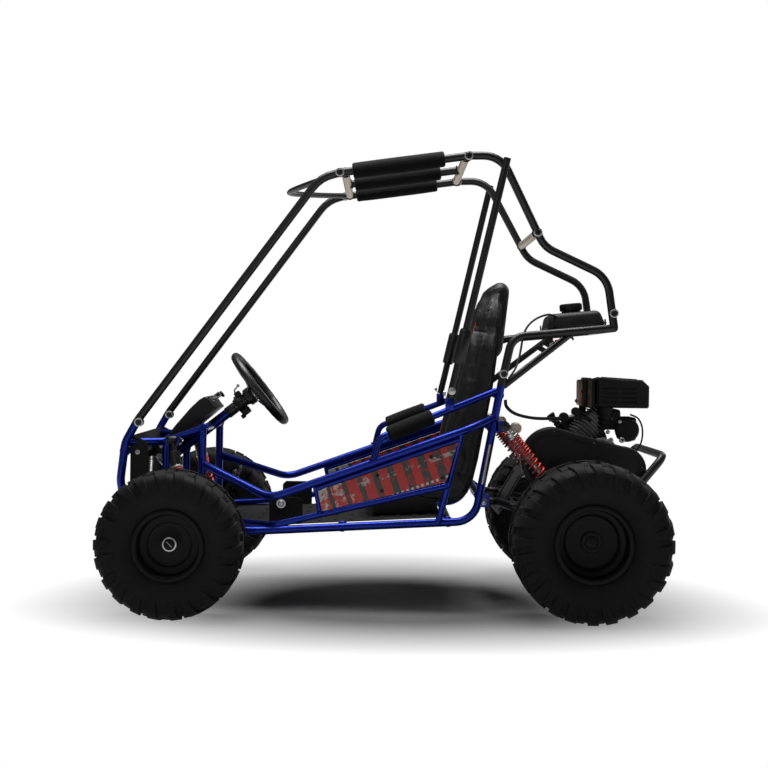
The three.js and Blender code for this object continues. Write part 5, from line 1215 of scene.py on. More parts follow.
subdivided(cushion)
for vertex in cushion.data.vertices:
    share, spread, lift = on_seat(vertex.co)
    if lift < 8:
        continue
    off_seam, off_edge = abs(spread) - SEAM, abs(spread) - EDGE_SEAM
    press = groove(off_seam, 0.05, 6.0) + groove(off_edge, 0.022, 3.0)
    if abs(spread) < SEAM:
        press += max(groove(share - channel, 0.0065, 4.2) for channel in CHANNELS)
    press += groove(share - 0.845, 0.007, 3.6)
    pucker = 0.35 * math.sin(share * 310 + spread * 9) * (groove(off_seam, 0.12, 1.0) + groove(off_edge, 0.08, 1.0))
    normal = line_samples[round(share * SAMPLES)][2]
    vertex.co += Vector((normal.x, 0, normal.y)) * ((pucker - press * min(1.0, lift / 30)) * MM)
made("seat_cover", [cushion], vinyl, "frame", "seat_cushion")
print("cushion box", [round(size, 3) for size in cushion.dimensions])

# %% [markdown]
# Red piping follows each bolster's crest from the hip to the shoulder. It is a thin round cord sewn into the seam, made
# here as a tube through points a little above the cover as its thickness gives it, before the pad swells.

# %% Piping
def cover_point(share, spread, proud):
    point, normal = seat_frame(share)
    point = point + normal * (seat_thickness(share, spread) + proud)
    return at(point.x, spread * along_seat(HALF_WIDTHS, share), point.y)


piping = []
for side in BOTH:
    crest = [
        cover_point(0.12 + 0.77 * step / 60, side * (CREST + 0.02 * math.sin(step / 6)), 1.2) for step in range(61)
    ]
    shoulder = [cover_point(0.56 + 0.26 * step / 24, side * 0.46, 0.2) for step in range(25)]
    piping += [bent_tube(crest, 2.1, 0, 2), bent_tube(shoulder, 1.9, 0, 2)]
made("seat_piping", piping, red_vinyl, "frame", slot="seat_cover")
painted(bpy.data.objects["seat_shell"], plastic)
print("piping done")

# %% [markdown]
# Foam sleeves wrap the roof bars and the arm bars. Each is a soft tube in a nylon cover with a flap along
# it, and its ends are drawn in by the hem. The sleeve is spun from a profile, then wrinkled a little.

# %% Foam pads
def foam_pad(name, start, end, radius, bore, node, flap):
    length = (end - start).length / MM
    hem_ends = [(0.72, 0.4), (0.88, 1.6), (0.965, 4.5), (0.99, 10), (0.955, 14), (0.985, 19)]
    hem_ends += [(0.998, 0.3 * length), (1, 0.5 * length)]
    profile = [(bore, 1.2)] + [(radius * share, height) for share, height in hem_ends]
    sleeve = spun(profile + [(r, length - h) for r, h in reversed(profile[:-1])], 56)
    for vertex in sleeve.data.vertices:
        angle, height = math.atan2(vertex.co.y, vertex.co.x), vertex.co.z / MM
        reach = math.hypot(vertex.co.x, vertex.co.y) / MM
        if reach > bore + 2:
            dent = 0.45 * math.sin(5 * angle + height / 17) + 0.35 * math.sin(3 * angle - height / 9)
            scale = 1 - (0.55 + 0.45 * dent) / reach
            vertex.co.x, vertex.co.y = vertex.co.x * scale, vertex.co.y * scale
    hem = slab((1.6, 12, length - 26), local(radius - 0.8, 0, length / 2), 0, 0.7)
    stitch = bent_tube([local(radius - 0.4, 4.6, height) for height in (16, length - 16)], 0.5, 0, 1)
    whole = joined(name, [subdivided(sleeve), subdivided(hem), stitch])
    axis = (end - start).normalized()
    level = Vector(Z).cross(axis).normalized()
    out = (level * math.cos(flap) + axis.cross(level) * math.sin(flap)).normalized()
    whole.matrix_world = Matrix.Translation(start) @ Matrix((out, axis.cross(out), axis)).transposed().to_4x4()
    made(name, [whole], nylon, "frame", node)


for place_name, y in (("left", LOOP_Y), ("middle", 0), ("right", -LOOP_Y)):
    start = roof(97, y)
    end, node = start + ROOF_WAY * 0.246, place_name + "_roof_pad"
    foam_pad(place_name + "_roof_sleeve", start, end, 22, 11.6, node, math.radians(200))
for name, side in SIDES:
    start, end, node = arm_bar(side, -6), arm_bar(side, -122), name + "_arm_pad"
    foam_pad(name + "_arm_sleeve", start, end, 21.5, 9.6, node, math.radians(215))
print("pads done")

# %% [markdown]
# The fuel tank is a flat blow-moulded can. Its edges are generously rounded, its mould leaves a flange
# round the middle, and two straps of steel hold it on the carrier. The screw cap is ribbed for grip.

# %% Fuel tank
TANK_TILT = math.atan2(28, 275)
TILTED = (0, TANK_TILT, 0)
tank_foot = carrier(-525, 0, 9.6)


def on_tank(x, y, z):
    """A place on the tank in its own tilted directions."""
    return tank_foot + Matrix.Rotation(TANK_TILT, 3, "Y") @ local(x, y, z)


can = slab((162, 189, 45), local(0, 0, 22.5))
for vertex in can.data.vertices:
    if vertex.co.z > 0.03:
        vertex.co.x, vertex.co.y = vertex.co.x * 0.84, vertex.co.y * 0.9
can = placed(beveled(can, 12.5, 5), on_tank(0, 0, 0), TILTED)
parts = [can, slab((163.6, 189.6, 2.2), on_tank(0, 0, 9), TANK_TILT, 0.8)]
parts += [slab((118, 14, 3), on_tank(0, y, 44.8), TANK_TILT, 1.2) for y in (-46, 46)]
made("tank_can", parts, plastic, "frame", "fuel_tank")
straps = []
for y in (-70, 70):
    straps += [slab((2.2, 18, 20), on_tank(x * 0.985, y, 9), TANK_TILT, 0.8) for x in (-83.0, 83.0)]
    straps.append(bolt(on_tank(60, y * 1.22, 4), Z, 5, 4, 8))
made("tank_straps", straps, black_paint, "frame")
cap_profile = [
    (0, -5), (27, -5), (27, 1.4), (30.4, 2.4), (30.4, 19.2), (28.8, 21.3), (26, 21.9), (23, 21.2), (21.5, 20.4),
    (0, 20.2),
]
ribs = turned_copies(slab((2.4, 2.2, 16.5), local(30.6, 0, 10.8), 0, 0.6), 30)
cap = joined("cap", [spun(cap_profile, 60), ribs, slab((30, 6, 2.2), local(0, 0, 20.8), 0, 0.8)])
made("tank_cap", [placed(cap, on_tank(0, 0, 50.3), TILTED)], plastic, "fuel_cap", "fuel_cap")
print("tank done")

# %% [markdown]
# The side panels are thin steel sheets with a printed film, hung between the slim bar and the nerf bar.
# The sheet is cut to its outline with eased edges and held by dome-headed bolts on washers.

# %% Side panels
PANEL_HEAD = 183 - 8.5
panel_outline = [
    (PANEL_HEAD, rail_z(PANEL_HEAD) - 23.6), (-187, rail_z(-187) - 23.6),
    (-158, nerf_z(-158) + 9.6), (PANEL_HEAD - 8.5, nerf_z(PANEL_HEAD) + 9.6),
]


def dome_bolt(centre, axis, radius):
    """A dome-headed bolt with a hexagon socket on a thin washer."""
    profile = [(0, 1.2), (1.9, 1.2), (2.2, 4.0), (radius * 0.62, 4.1), (radius * 0.88, 3.2), (radius, 1.6)]
    return spun(profile + [(radius * 1.5, 1.4), (radius * 1.55, 0), (0, 0)], 20, centre, axis)


for name, side in SIDES:
    y = RAIL_Y * side
    sheet = side_plate(panel_outline, 2.6, y, 0.6)
    made(name + "_print_sheet", [sheet], panel_print, "frame", name + "_side_panel")
    places = ((138, 262), (-118, 406), (-148, 352), (8, 316), (20, 356))
    dots = [dome_bolt((x, y + side * 1.4, z), (0, side, 0), 3.4) for x, z in places]
    made(name + "_panel_bolts", dots, black_paint, "frame", slot="steel")
print("panels done")

# %% [markdown]
# The floor is one pressed sheet. It gets rows of raised ribs for grip, a rolled front edge, ears for the
# pedals and the kick plates at the driver's heels, which are bolted to the nerf bars.

# %% Floor pan
def pan_z(x, lift=0.0):
    return floor_z(x) + 11.3 + lift


sheet_ends = (577, 330, -150)
pan_line = [(x, pan_z(x, 0.2)) for x in sheet_ends] + [(x, pan_z(x, 2.8)) for x in sheet_ends[::-1]]
pan_parts = [
    side_plate(pan_line, 484, 0, 0.6),
    slab((58, 355, 2.6), (607, 0, pan_z(607, 1.5)), 0, 0.6),
    bent_tube([(636, y, pan_z(636, 1.5)) for y in (-243, 243)], 3.2, 0, 2),
]
for x in [x for x in range(-120, 470, 42) if x <= 380]:
    slope = math.atan2(33, 567) if x < 330 else 0
    pan_parts += [slab((9, 84, 3), (x, y, pan_z(x, 3.4)), slope, 1.3) for y in (-170, -57, 57, 170)]
kick_line = [(305, pan_z(305)), (305, 278), (295, 288), (227, 288), (217, 278), (217, pan_z(217))]
ear_line = [(453, pan_z(453)), (453, 238), (456, 243.5), (462, 245), (468, 243.5), (471, 238), (471, pan_z(471))]
for side in BOTH:
    pan_parts.append(side_plate(kick_line, 2.8, 241.5 * side, 0.6))
    pan_parts += [side_plate(ear_line, 4.6, 74 * side + cheek * 15, 0.6) for cheek in BOTH]
made("floor_sheet", pan_parts, rubber, "frame", "floor_pan", slot="frame_black")
kick_places = [(side, *place) for side in BOTH for place in ((274, 271, 8), (239, 226, 5))]
kick_dots = [dome_bolt((x, 243.2 * side, z), (0, side, 0), radius) for side, x, z, radius in kick_places]
made("kick_bolts", kick_dots, zinc, "frame")
print("floor done")

# %% [markdown]
# The guard in front is a bent sheet with rows of raised bars, behind the nose bars.

# %% Front guard
GUARD_FACE = 674
guard_parts = [slab((2.8, 478, 144), (GUARD_FACE, 0, 373), 0, 0.8)]
for z in (331, 352, 373, 394, 415):
    guard_parts += [slab((3.6, 100, 6), (GUARD_FACE + 1.4, y, z), 0, 1.6) for y in (-140, 0, 140)]
wing = [(674, 446), (664, 446), (634, 431), (628, 424), (628, 338), (632, 331), (664, 301), (674, 300)]
guard_parts += [side_plate(wing, 2.8, 241.9 * side, 0.7) for side in BOTH]
made("nose_guard", guard_parts, heat_paint, "frame", "front_guard", slot="frame_black")
guard_dots = [dome_bolt((655, 243.4 * side, 402), (0, side, 0), 4) for side in BOTH]
guard_dots += [dome_bolt((GUARD_FACE + 1.5, y, z), X, 5) for y in (-215, 215) for z in (318, 430)]
made("guard_bolts", guard_dots, zinc, "frame")
print("guard done")

# %% [markdown]
# The dash hood is a moulded shell that tapers to the nose, with a rounded crown and a lip round its lower
# edge. Its side view is cut first, then a deep bevel rounds all of it. The switch panel faces the driver.

# %% Dash hood
DASH_FOOT = column(120, 14 + 24)


def on_dash(x, y, z):
    """A place on the hood: x down the column towards the nose, y left, z off the column."""
    return DASH_FOOT + Vector((DOWN[0] * x + OVER[0] * z, y, DOWN[2] * x + OVER[2] * z)) * MM


def dash_block(outline, half, edge, segments=2):
    """A block whose side view is an outline in the hood's own directions."""
    return beveled(extruded([on_dash(x, -half, z) for x, z in outline], 2 * half), edge, segments, 12)


hood_line = [(1, -10), (150, -16), (178, -12), (168, 0), (128, 18), (60, 32), (24, 36), (6, 33), (1, 25)]
hood_parts = [
    dash_block(hood_line, 93, 6.5, 4),
    dash_block([(0.6, -12), (150, -18), (150, -13), (0.6, -7)], 94.8, 1.6),
    dash_block([(-0.2, 5), (2.4, 5), (2.4, 29), (-0.2, 29)], 84, 1.1),
    dash_block([(3, -6), (12, -6), (12, 2), (3, 2)], 5, 0.8),
    slab((10, 20, 26), on_dash(70, 0, -14), COLUMN_TILT, 1),
]
rib_line = ((16, 35.8), (60, 32.2), (126, 18.8), (160, 4.2))
hood_parts += [bent_tube([on_dash(x, y, z) for x, z in rib_line], 1.7, 0, 2) for y in (-40, 40)]
made("dash_shell", hood_parts, plastic, "frame", "dash_hood")

# %% [markdown]
# The key sits in a round lock, the choke is a pull knob on a thin stem, and a red lamp lies between them.

# %% Key and choke
TO_DRIVER = -Vector(DOWN)


def dash_turned(name, profile, steps, place, finish, body, *nodes):
    """A turned part on the switch panel, facing the driver."""
    made(name, [spun(profile, steps, on_dash(*place), TO_DRIVER)], finish, body, *nodes)


lock_profile = [(6.4, 0), (11, 0), (11, 1.4), (9.6, 2.2), (6.4, 2.2)]
dash_turned("key_lock", lock_profile, 32, (-0.2, 48, 17), zinc, "frame")
key_parts = [
    disc(on_dash(-4.6, 48, 17), TO_DRIVER, 4.2, 8.4, 20, 0.6),
    slab((4, 2.4, 8), on_dash(-10, 48, 17), COLUMN_TILT, 0.6),
    slab((16.5, 3.6, 14.5), on_dash(-19.4, 48, 17), COLUMN_TILT, 1.4, 3),
]
made("key_blade", key_parts, zinc, "ignition_key", "ignition_key")
grip = slab((11, 3.9, 10.5), on_dash(-20.6, 48, 17), COLUMN_TILT, 1.2, 3)
made("key_grip", [grip], plastic, "ignition_key")
knob_profile = [
    (0, 0.6), (3.4, 0.6), (3.4, 11), (4.4, 15), (8.6, 17.2), (9.8, 19.4), (9.8, 22), (8.4, 23.6), (4, 24.2), (0, 23.8),
]
dash_turned("choke_pull", knob_profile, 40, (0, -48, 17), plastic, "choke_knob", "choke_knob")
collar_profile = [(4.2, 0.1), (8.5, 0.1), (8.5, 1.8), (7.2, 2.8), (4.2, 2.8)]
dash_turned("choke_collar", collar_profile, 32, (-0.3, -48, 17), zinc, "frame")
lamp_profile = [(0, 0.1), (5, 0.1), (5, 2.2), (3.6, 3.8), (1.8, 4.6), (0, 4.8)]
dash_turned("dash_light", lamp_profile, 28, (-0.3, 6, 19), red_vinyl, "frame")
print("dash done")

# %% [markdown]
# The steering wheel has a thick foam rim, which is a torus with shallow finger dents, three drilled steel
# spokes dished towards the column, and a rounded centre cap. It is made flat and then turned to its place.

# %% Steering wheel
RING, RING_THICK = 0.112, 0.0125
SPOKE_WAYS = (60, 180, 300)
SPOKE_RISE = math.atan2(26, 99)
wheel_place = at(WHEEL[0], 0, WHEEL[1])
wheel_turn = Matrix.Rotation(COLUMN_TILT - math.pi / 2, 3, "Y")


def on_wheel(name, parts, finish, *nodes, slot=None):
    """A piece of the steering wheel, made round the origin and set on the column."""
    piece = joined(name, parts)
    piece.matrix_world = Matrix.Translation(wheel_place) @ wheel_turn.to_4x4()
    made(name, [piece], finish, "steering", *nodes, slot=slot)


let_go()
bpy.ops.mesh.primitive_torus_add(major_radius=RING, minor_radius=RING_THICK, major_segments=96, minor_segments=20)
ring = bpy.context.object
for vertex in ring.data.vertices:
    angle = math.atan2(vertex.co.y, vertex.co.x)
    near = max(groove(math.remainder(angle - math.radians(way), 2 * math.pi), 0.16, 1) for way in SPOKE_WAYS)
    dent = (0.5 - 0.5 * math.cos(angle * 24)) * (1 - near) * 0.0007
    middle = Vector((math.cos(angle) * RING, math.sin(angle) * RING, 0))
    vertex.co = middle + (vertex.co - middle) * (1 - dent / RING_THICK + 0.035 * near)
on_wheel("wheel_grip", [subdivided(ring)], grip_skin, "steering_wheel")

spokes = []
for way in SPOKE_WAYS:
    turned = (0, 0, math.radians(way))
    bar = slab((86, 21.5, 3.4), local(66, 0, -13.5), -SPOKE_RISE)
    for vertex in bar.data.vertices:
        vertex.co.y *= 1.2 if vertex.co.x < 0.05 else 0.86
    spokes.append(placed(beveled(bar, 1.1), (0, 0, 0), turned))
    for hole in (52, 66, 79):
        place = local(hole, 0, -9.3 + (hole - 66) * math.tan(SPOKE_RISE))
        axis = (-math.sin(SPOKE_RISE), 0, math.cos(SPOKE_RISE))
        eyelet = spun([(3.2, -0.2), (5.2, -0.2), (5.2, 0.6), (4.4, 1.1), (3.2, 1.1)], 20, place, axis)
        spokes.append(placed(eyelet, (0, 0, 0), turned))
hub_cap = [(0, -44), (25.6, -44), (25.8, -30), (24, -25.4), (19, -22.4), (12, -20.8), (0, -20.2)]
clamp = [(0, -84), (19.6, -84), (19.8, -82), (19.8, -62), (17.5, -60), (17.5, -50), (21, -47), (21, -44), (0, -44)]
spokes += [spun(hub_cap, 48), spun(clamp, 40)]
on_wheel("wheel_hub", spokes, black_paint, slot="black_plastic")
hub_places = [local(18 * math.cos(angle), 18 * math.sin(angle), -23.2) for angle in round_the_clock(0, 60)]
on_wheel("wheel_bolts", [bolt(place, Z, 2.8, 2.6, 3.8) for place in hub_places], zinc)
shaft_parts = [
    rod(local(0, 0, -82), local(0, 0, -340), 8.9),
    slab((46, 22, 5.8), local(20.5, 0, -337), 0, 1.4),
    disc(local(41, 0, -337), Z, 15.8, 5.9, 40, 1),
    disc(local(0, 0, -338.5), Z, 15.5, 11, 32, 1.2),
    bolt(local(41, 0, -334), Z, 5.5, 4, 9),
]
on_wheel("steering_shaft", shaft_parts, zinc)

# %% [markdown]
# Below the wheel a clamp holds the kill switch and a small lever, and two collars sit on the column tube.

# %% Column fittings
pod_parts = [
    disc(column(72), DOWN, 21, 14, 32, 1.6),
    slab((26, 24, 20), column(70, -27), COLUMN_TILT, 4, 3),
    slab((12, 14, 12), column(84, -34), COLUMN_TILT, 2),
    slab((18, 16, 16), column(60, 25), COLUMN_TILT, 3),
]
made("switch_pod", pod_parts, plastic, "steering")
lever_parts = [
    bent_tube([column(66, 30), column(60, 40), column(44, 44)], 2.4, 6, 2),
    bolt(column(72, 21), OVER, 4, 3, 6),
    disc(column(44, 44), DOWN, 4.2, 7, 20, 1),
]
made("pod_lever", lever_parts, zinc, "steering")
collars = [disc(column(203), DOWN, 15.2, 8, 32, 1), disc(column(101), DOWN, 16.2, 30, 32, 1.4)]
made("column_sleeve", collars, black_paint, "frame")
print("wheel done")

# %% [markdown]
# Each pedal is a bent flat arm on a bushed eye. Its pad is a steel plate with rubber bars across it.

# %% Pedals
PEDAL_LEAN = math.radians(24)
pedal_up = Vector((-math.sin(PEDAL_LEAN), 0, math.cos(PEDAL_LEAN)))
pedal_front = Vector((math.cos(PEDAL_LEAN), 0, math.sin(PEDAL_LEAN)))
for name, side in (("brake", LEFT), ("throttle", RIGHT)):
    eye = at(462, 74 * side, 236)
    top = eye + pedal_up * 0.096
    arm_parts = [
        disc(eye, Y, 8.8, 23.5, 32, 1.2),
        bent_tube([eye, eye + pedal_up * 0.04, top], 5.6),
        slab((4.2, 61.5, 45.5), top + pedal_front * 0.0018, -PEDAL_LEAN, 1.6, 3),
    ]
    body = name + "_pedal"
    made(name + "_arm", arm_parts, black_paint, body, body)
    middles = [top + pedal_up * (step * MM) - pedal_front * 0.0024 for step in (-16, -8, 0, 8, 16)]
    tread_parts = [slab((3.8, 56, 4.8), middle, -PEDAL_LEAN, 1.2) for middle in middles]
    tread_parts.append(disc(eye + local(0, side * 12.5, 0), Y, 5, 3.5, 6, 0.6))
    made(name + "_tread", tread_parts, hose_rubber, body)
print("pedals done")

# %% [markdown]
# The front arms are A-shaped: two tubes run from sleeves on the pivot bar to a fork, in which the knuckle
# turns. They bend upwards on the way, to clear the floor when the wheel hangs. Two ears carry the foot of
# the shock.

# %% Front arms
YOKE_Y, YOKE_BACK, YOKE_PLATE = 338, 319, 43
SHOCK_Y, SHOCK_EYE_Z = FRONT_FOOT[1], FRONT_FOOT[2]
YOKE_MOUTH_Z = FRONT_AXLE_Z + 20
SHOCK_SEAT_Z = ARM_PIVOT_Z + (SHOCK_Y - ARM_PIVOT_Y) / (YOKE_BACK - ARM_PIVOT_Y) * (YOKE_MOUTH_Z - ARM_PIVOT_Z)
SLEEVE_HALF = [(8.6, -15), (12.6, -15), (13, -14.4)]
for name, side in SIDES:
    parts = []
    for x in (520, 560):
        near = FRONT_AXLE_X + (x - FRONT_AXLE_X) * 0.42
        middle = x + (near - x) * 0.75
        corners = [(x, 128 * side, ARM_PIVOT_Z), (middle, 268 * side, 234)]
        corners.append((near, (YOKE_BACK - 4) * side, YOKE_MOUTH_Z))
        parts += [
            spun(SLEEVE_HALF + mirrored(SLEEVE_HALF), 40, (x, ARM_PIVOT_Y * side, ARM_PIVOT_Z), X),
            bent_tube(corners, BAR, 30),
            weld((near, (YOKE_BACK - 5) * side, YOKE_MOUTH_Z), Y, BAR + 0.4),
        ]
    parts.append(slab((24, 6, 92), (FRONT_AXLE_X, YOKE_BACK * side, FRONT_AXLE_Z), 0, 1.4))
    for z in (FRONT_AXLE_Z + YOKE_PLATE, FRONT_AXLE_Z - YOKE_PLATE):
        parts.append(slab((24, 19.5, 5.8), (FRONT_AXLE_X, (YOKE_BACK + 9.5) * side, z), 0, 1.2))
        parts.append(disc((FRONT_AXLE_X, YOKE_Y * side, z), Z, 12.8, 5.9, 36, 1.2))
    parts.append(slab((37, 15.8, 12), (526, SHOCK_Y * side, SHOCK_SEAT_Z), 0, 1.2))
    for cheek in BOTH:
        size = (4.9, 15.8, 11 + SHOCK_EYE_Z - SHOCK_SEAT_Z)
        place = (526 + cheek * (11 + 3.2 + 2.5), SHOCK_Y * side, (SHOCK_SEAT_Z + 261) / 2)
        parts.append(slab(size, place, 0, 1.4))
    body = name + "_front_arm"
    made(name + "_wishbone", parts, blue_paint, body, body)
    bolts = []
    for out in BOTH:
        bolts.append(bolt((FRONT_AXLE_X, YOKE_Y * side, FRONT_AXLE_Z + out * 46), (0, 0, out), 7.5, 5, 10.5))
        bolts.append(bolt((526 + out * 19.2, SHOCK_Y * side, SHOCK_EYE_Z), (out, 0, 0), 5.5, 4, 8))
    made(name + "_arm_bolts", bolts, zinc, body)
print("arms done")

# %% [markdown]
# The knuckle is a bushed kingpin with the wheel's spindle and the steering arm welded to it. The tie rod
# joins that arm to the foot of the column, with a ball joint and a lock nut at each end.

# %% Knuckles and tie rods
PITMAN = column(337 + 3 + 4 + 6, 41)
for name, side in SIDES:
    x, y, z = FRONT_AXLE_X, YOKE_Y * side, FRONT_AXLE_Z
    parts = [
        disc((x, y, z), Z, 11.8, 78.5, 40, 1.6),
        rod((x, y, z), (x, (WHEEL_Y["front"] + 12.5) * side, z), 9.9),
        disc((x, y + 16 * side, z), Y, 14.5, 10, 32, 2),
        slab((72, 11.8, 5.8), (572, y, 217), 0, 1.2),
        disc((608, y, 217), Z, 9.8, 5.9, 32, 1),
        weld((x, y + 11 * side, z), Y, 10.8),
    ]
    made(name + "_kingpin", parts, zinc, name + "_knuckle", name + "_knuckle")
for name, side in SIDES:
    outer = at(608, YOKE_Y * side, 217 + 7.3)
    inner = Vector((PITMAN.x, side * 20 * MM, PITMAN.z))
    run = (inner - outer).normalized()
    parts = [
        disc(inner, DOWN, 7.9, 7.8, 28, 1),
        disc(outer, Z, 9.8, 7.6, 28, 1.2),
        rod(outer + run * 0.006, inner - run * 0.003, 5.5),
        disc(outer + run * 0.05, run, 7.2, 12, 6, 0.6),
        disc(inner - run * 0.05, run, 7.2, 12, 6, 0.6),
    ]
    made(name + "_tie_bar", parts, zinc, name + "_tie_rod", name + "_tie_rod")
print("steering links done")

# %% [markdown]
# A coil-over shock is a bright rod in a black body with an eye at each end. The spring is one wire: it is wound tight
# at the top and open at the foot. It is fixed where it is made, on neither the rod nor the body.

# %% Spring wire
def coil_points(length, radius, wire, tight_turns, open_turns, tight_pitch=8.25, steps=20):
    """The spring's centre line, its foot at the origin. Each end lies flat for part of a turn."""
    lead, flat_turns = 2 * wire, 0.7
    open_pitch = (length - 2 * lead - tight_turns * tight_pitch) / open_turns
    total = tight_turns + open_turns
    points = []
    for step in range(-round(flat_turns * steps), round((total + flat_turns) * steps) + 1):
        turns = step / steps
        held = min(max(turns, 0), total)
        open_part = min(held, open_turns)
        height = lead + open_part * open_pitch + (held - open_part) * tight_pitch
        if turns < 0:
            height = lead + turns / flat_turns * (lead - wire)
        elif turns > total:
            height += (turns - total) / flat_turns * (lead - wire)
        angle = turns * 2 * math.pi
        points.append(Vector((radius * math.cos(angle), radius * math.sin(angle), height)) * MM)
    return points


def body_reach(corner, foot, axis):
    """How far up from the foot's eye the shock's body begins in the CAD model."""
    places = [vertex.co - foot for vertex in bpy.data.objects[corner + "_shock_body"].data.vertices]
    return min(place.dot(axis) for place in places if place.cross(axis).length > 0.0095) / MM


# %% Shocks
FOOT_SEAT = 29
KINDS = {
    "front": {"finish": black_paint, "turns": (2, 4), "top_seat": 78, "sleeve": (15.6, 40)},
    "rear": {"finish": zinc, "turns": (6, 5), "top_seat": 38, "sleeve": (13.6, 10)},
}


def shock(corner, foot, top, bolt_axis, kind):
    foot, top = at(*foot), at(*top)
    axis, length = (top - foot).normalized(), (top - foot).length / MM
    seat = length - kind["top_seat"]
    collar, (sleeve_r, sleeve_length) = seat + 5, kind["sleeve"]
    sleeve_top = collar + sleeve_length
    low = body_reach(corner, foot, axis)

    def turned_part(steps, *profile):
        return spun(profile, steps, foot, axis)

    def eye(place):
        return disc(place, bolt_axis, 10.8, 21.5, 36, 1.6)

    body = [turned_part(
        40, (6.4, low), (9.4, low), (10.3, low + 1.4), (10.3, seat - 0.5), (17.2, seat), (17.9, seat + 1),
        (17.9, seat + 4), (17, collar), (sleeve_r, collar), (sleeve_r, sleeve_top - 2), (sleeve_r - 2, sleeve_top),
        (7, sleeve_top), (7, length), (6.4, length))]
    for share in (0.2, 0.5, 0.8):
        height, inside, outside = collar + sleeve_length * share, sleeve_r - 1, sleeve_r + 0.6
        body.append(turned_part(
            36, (inside, height - 1.4), (outside, height - 1), (outside, height + 1), (inside, height + 1.4)))
    body.append(eye(top))
    made(corner + "_shock_tube", body, kind["finish"], corner + "_shock", corner + "_shock_body", slot="steel")
    ring = turned_part(
        44, (10.4, seat - 3.6), (14.6, seat - 3.2), (17.8, seat - 0.6), (18, seat + 3.6), (16.8, seat + 5.2),
        (10.4, seat + 5.2))
    made(corner + "_seat_ring", [ring], zinc, corner + "_shock")
    stop = [(6.2, 0.3), (11.6, 0.3), (12, 6), (9.6, 11), (10.4, 14), (7, 17), (6.2, 17)]
    bump = turned_part(36, *[(r, FOOT_SEAT + h) for r, h in stop])
    made(corner + "_bump_stop", [bump], hose_rubber, corner + "_plunger")
    stem = turned_part(
        40, (0, 4), (7, 4), (7, 20), (9, 22.5), (15, FOOT_SEAT - 5), (17.6, FOOT_SEAT - 4), (17.9, FOOT_SEAT - 1),
        (17.2, FOOT_SEAT - 0.2), (6.1, FOOT_SEAT), (5.9, low + 18), (0, low + 18))
    made(corner + "_shock_stem", [stem, eye(foot)], zinc, corner + "_plunger", corner + "_shock_rod")

    start = foot + axis * ((FOOT_SEAT + 0.3) * MM)
    coil = bent_tube(coil_points(seat - FOOT_SEAT - 0.6, 14.5, 3.0, *kind["turns"]), 3)
    coil = smooth(painted(joined(corner + "_coil", [placed(coil, start, facing(axis))]), spring_red))
    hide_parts(corner + "_spring")
    corner + "_plunger"
    corner + "_shock"
    foot + axis * ((seat - 0.3) * MM)
    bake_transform(coil)


for name, side in SIDES:
    foot, top = [(x, y * side, z) for x, y, z in (FRONT_FOOT, FRONT_TOP)]
    shock(name + "_front", foot, top, X, KINDS["front"])
    foot, top = [(x, REAR_SHOCK_Y * side, z) for x, z in (REAR_FOOT, REAR_TOP)]
    shock(name + "_rear", foot, top, Y, KINDS["rear"])
    caps = [bolt((-313, 255 * side + out * 17, 484), (0, out, 0), 9, 6.5, 13.5) for out in BOTH]
    caps += [bolt((566 + reach, 226 * side, 434), (reach, 0, 0), 6, 4, 9) for reach in (17, -19.8)]
    made(name + "_shock_bolts", caps, black_paint, "frame")
print("shocks done")

# %% [markdown]
# A ribbed canister with a bright collar stands on each rear shock's top. It is the remote chamber seen
# behind the mount, tucked under the rail.

# %% Canister
CAN_PROFILE = [
    (0, -24), (13.4, -24), (14.6, -22.6), (14.6, -9), (13.6, -8), (14.6, -7), (14.6, 0), (13.6, 1), (14.6, 2),
    (14.6, 7),
    (12.6, 9), (0, 9.4),
]
for name, side in SIDES:
    centre, axis = (-346, 224 * side, 478), (0, side, 0)
    parts = [spun(CAN_PROFILE, 40, centre, axis)]
    for angle in round_the_clock(0, 30):
        place = (-346 + 14.2 * math.cos(angle), 221 * side, 478 + 14.2 * math.sin(angle))
        parts.append(slab((2.6, 12, 2.6), place, -angle, 0.6))
    parts.append(rod((-328, 224 * side, 482), (-300, 238 * side, 500), 4.2))
    parts += [spun([(r, 8), (r + 2, 8), (r + 2, 10.4), (r, 10.4)], 32, centre, axis) for r in (5, 9)]
    made(name + "_canister", parts, bare, "frame")
print("canisters done")

# %% [markdown]
# Behind the seat the swing arm carries axle, engine and bumper. It is black like the cage: two bent side
# tubes, upper runs to the bumper hoop, bars across, and a flat bed for the engine.

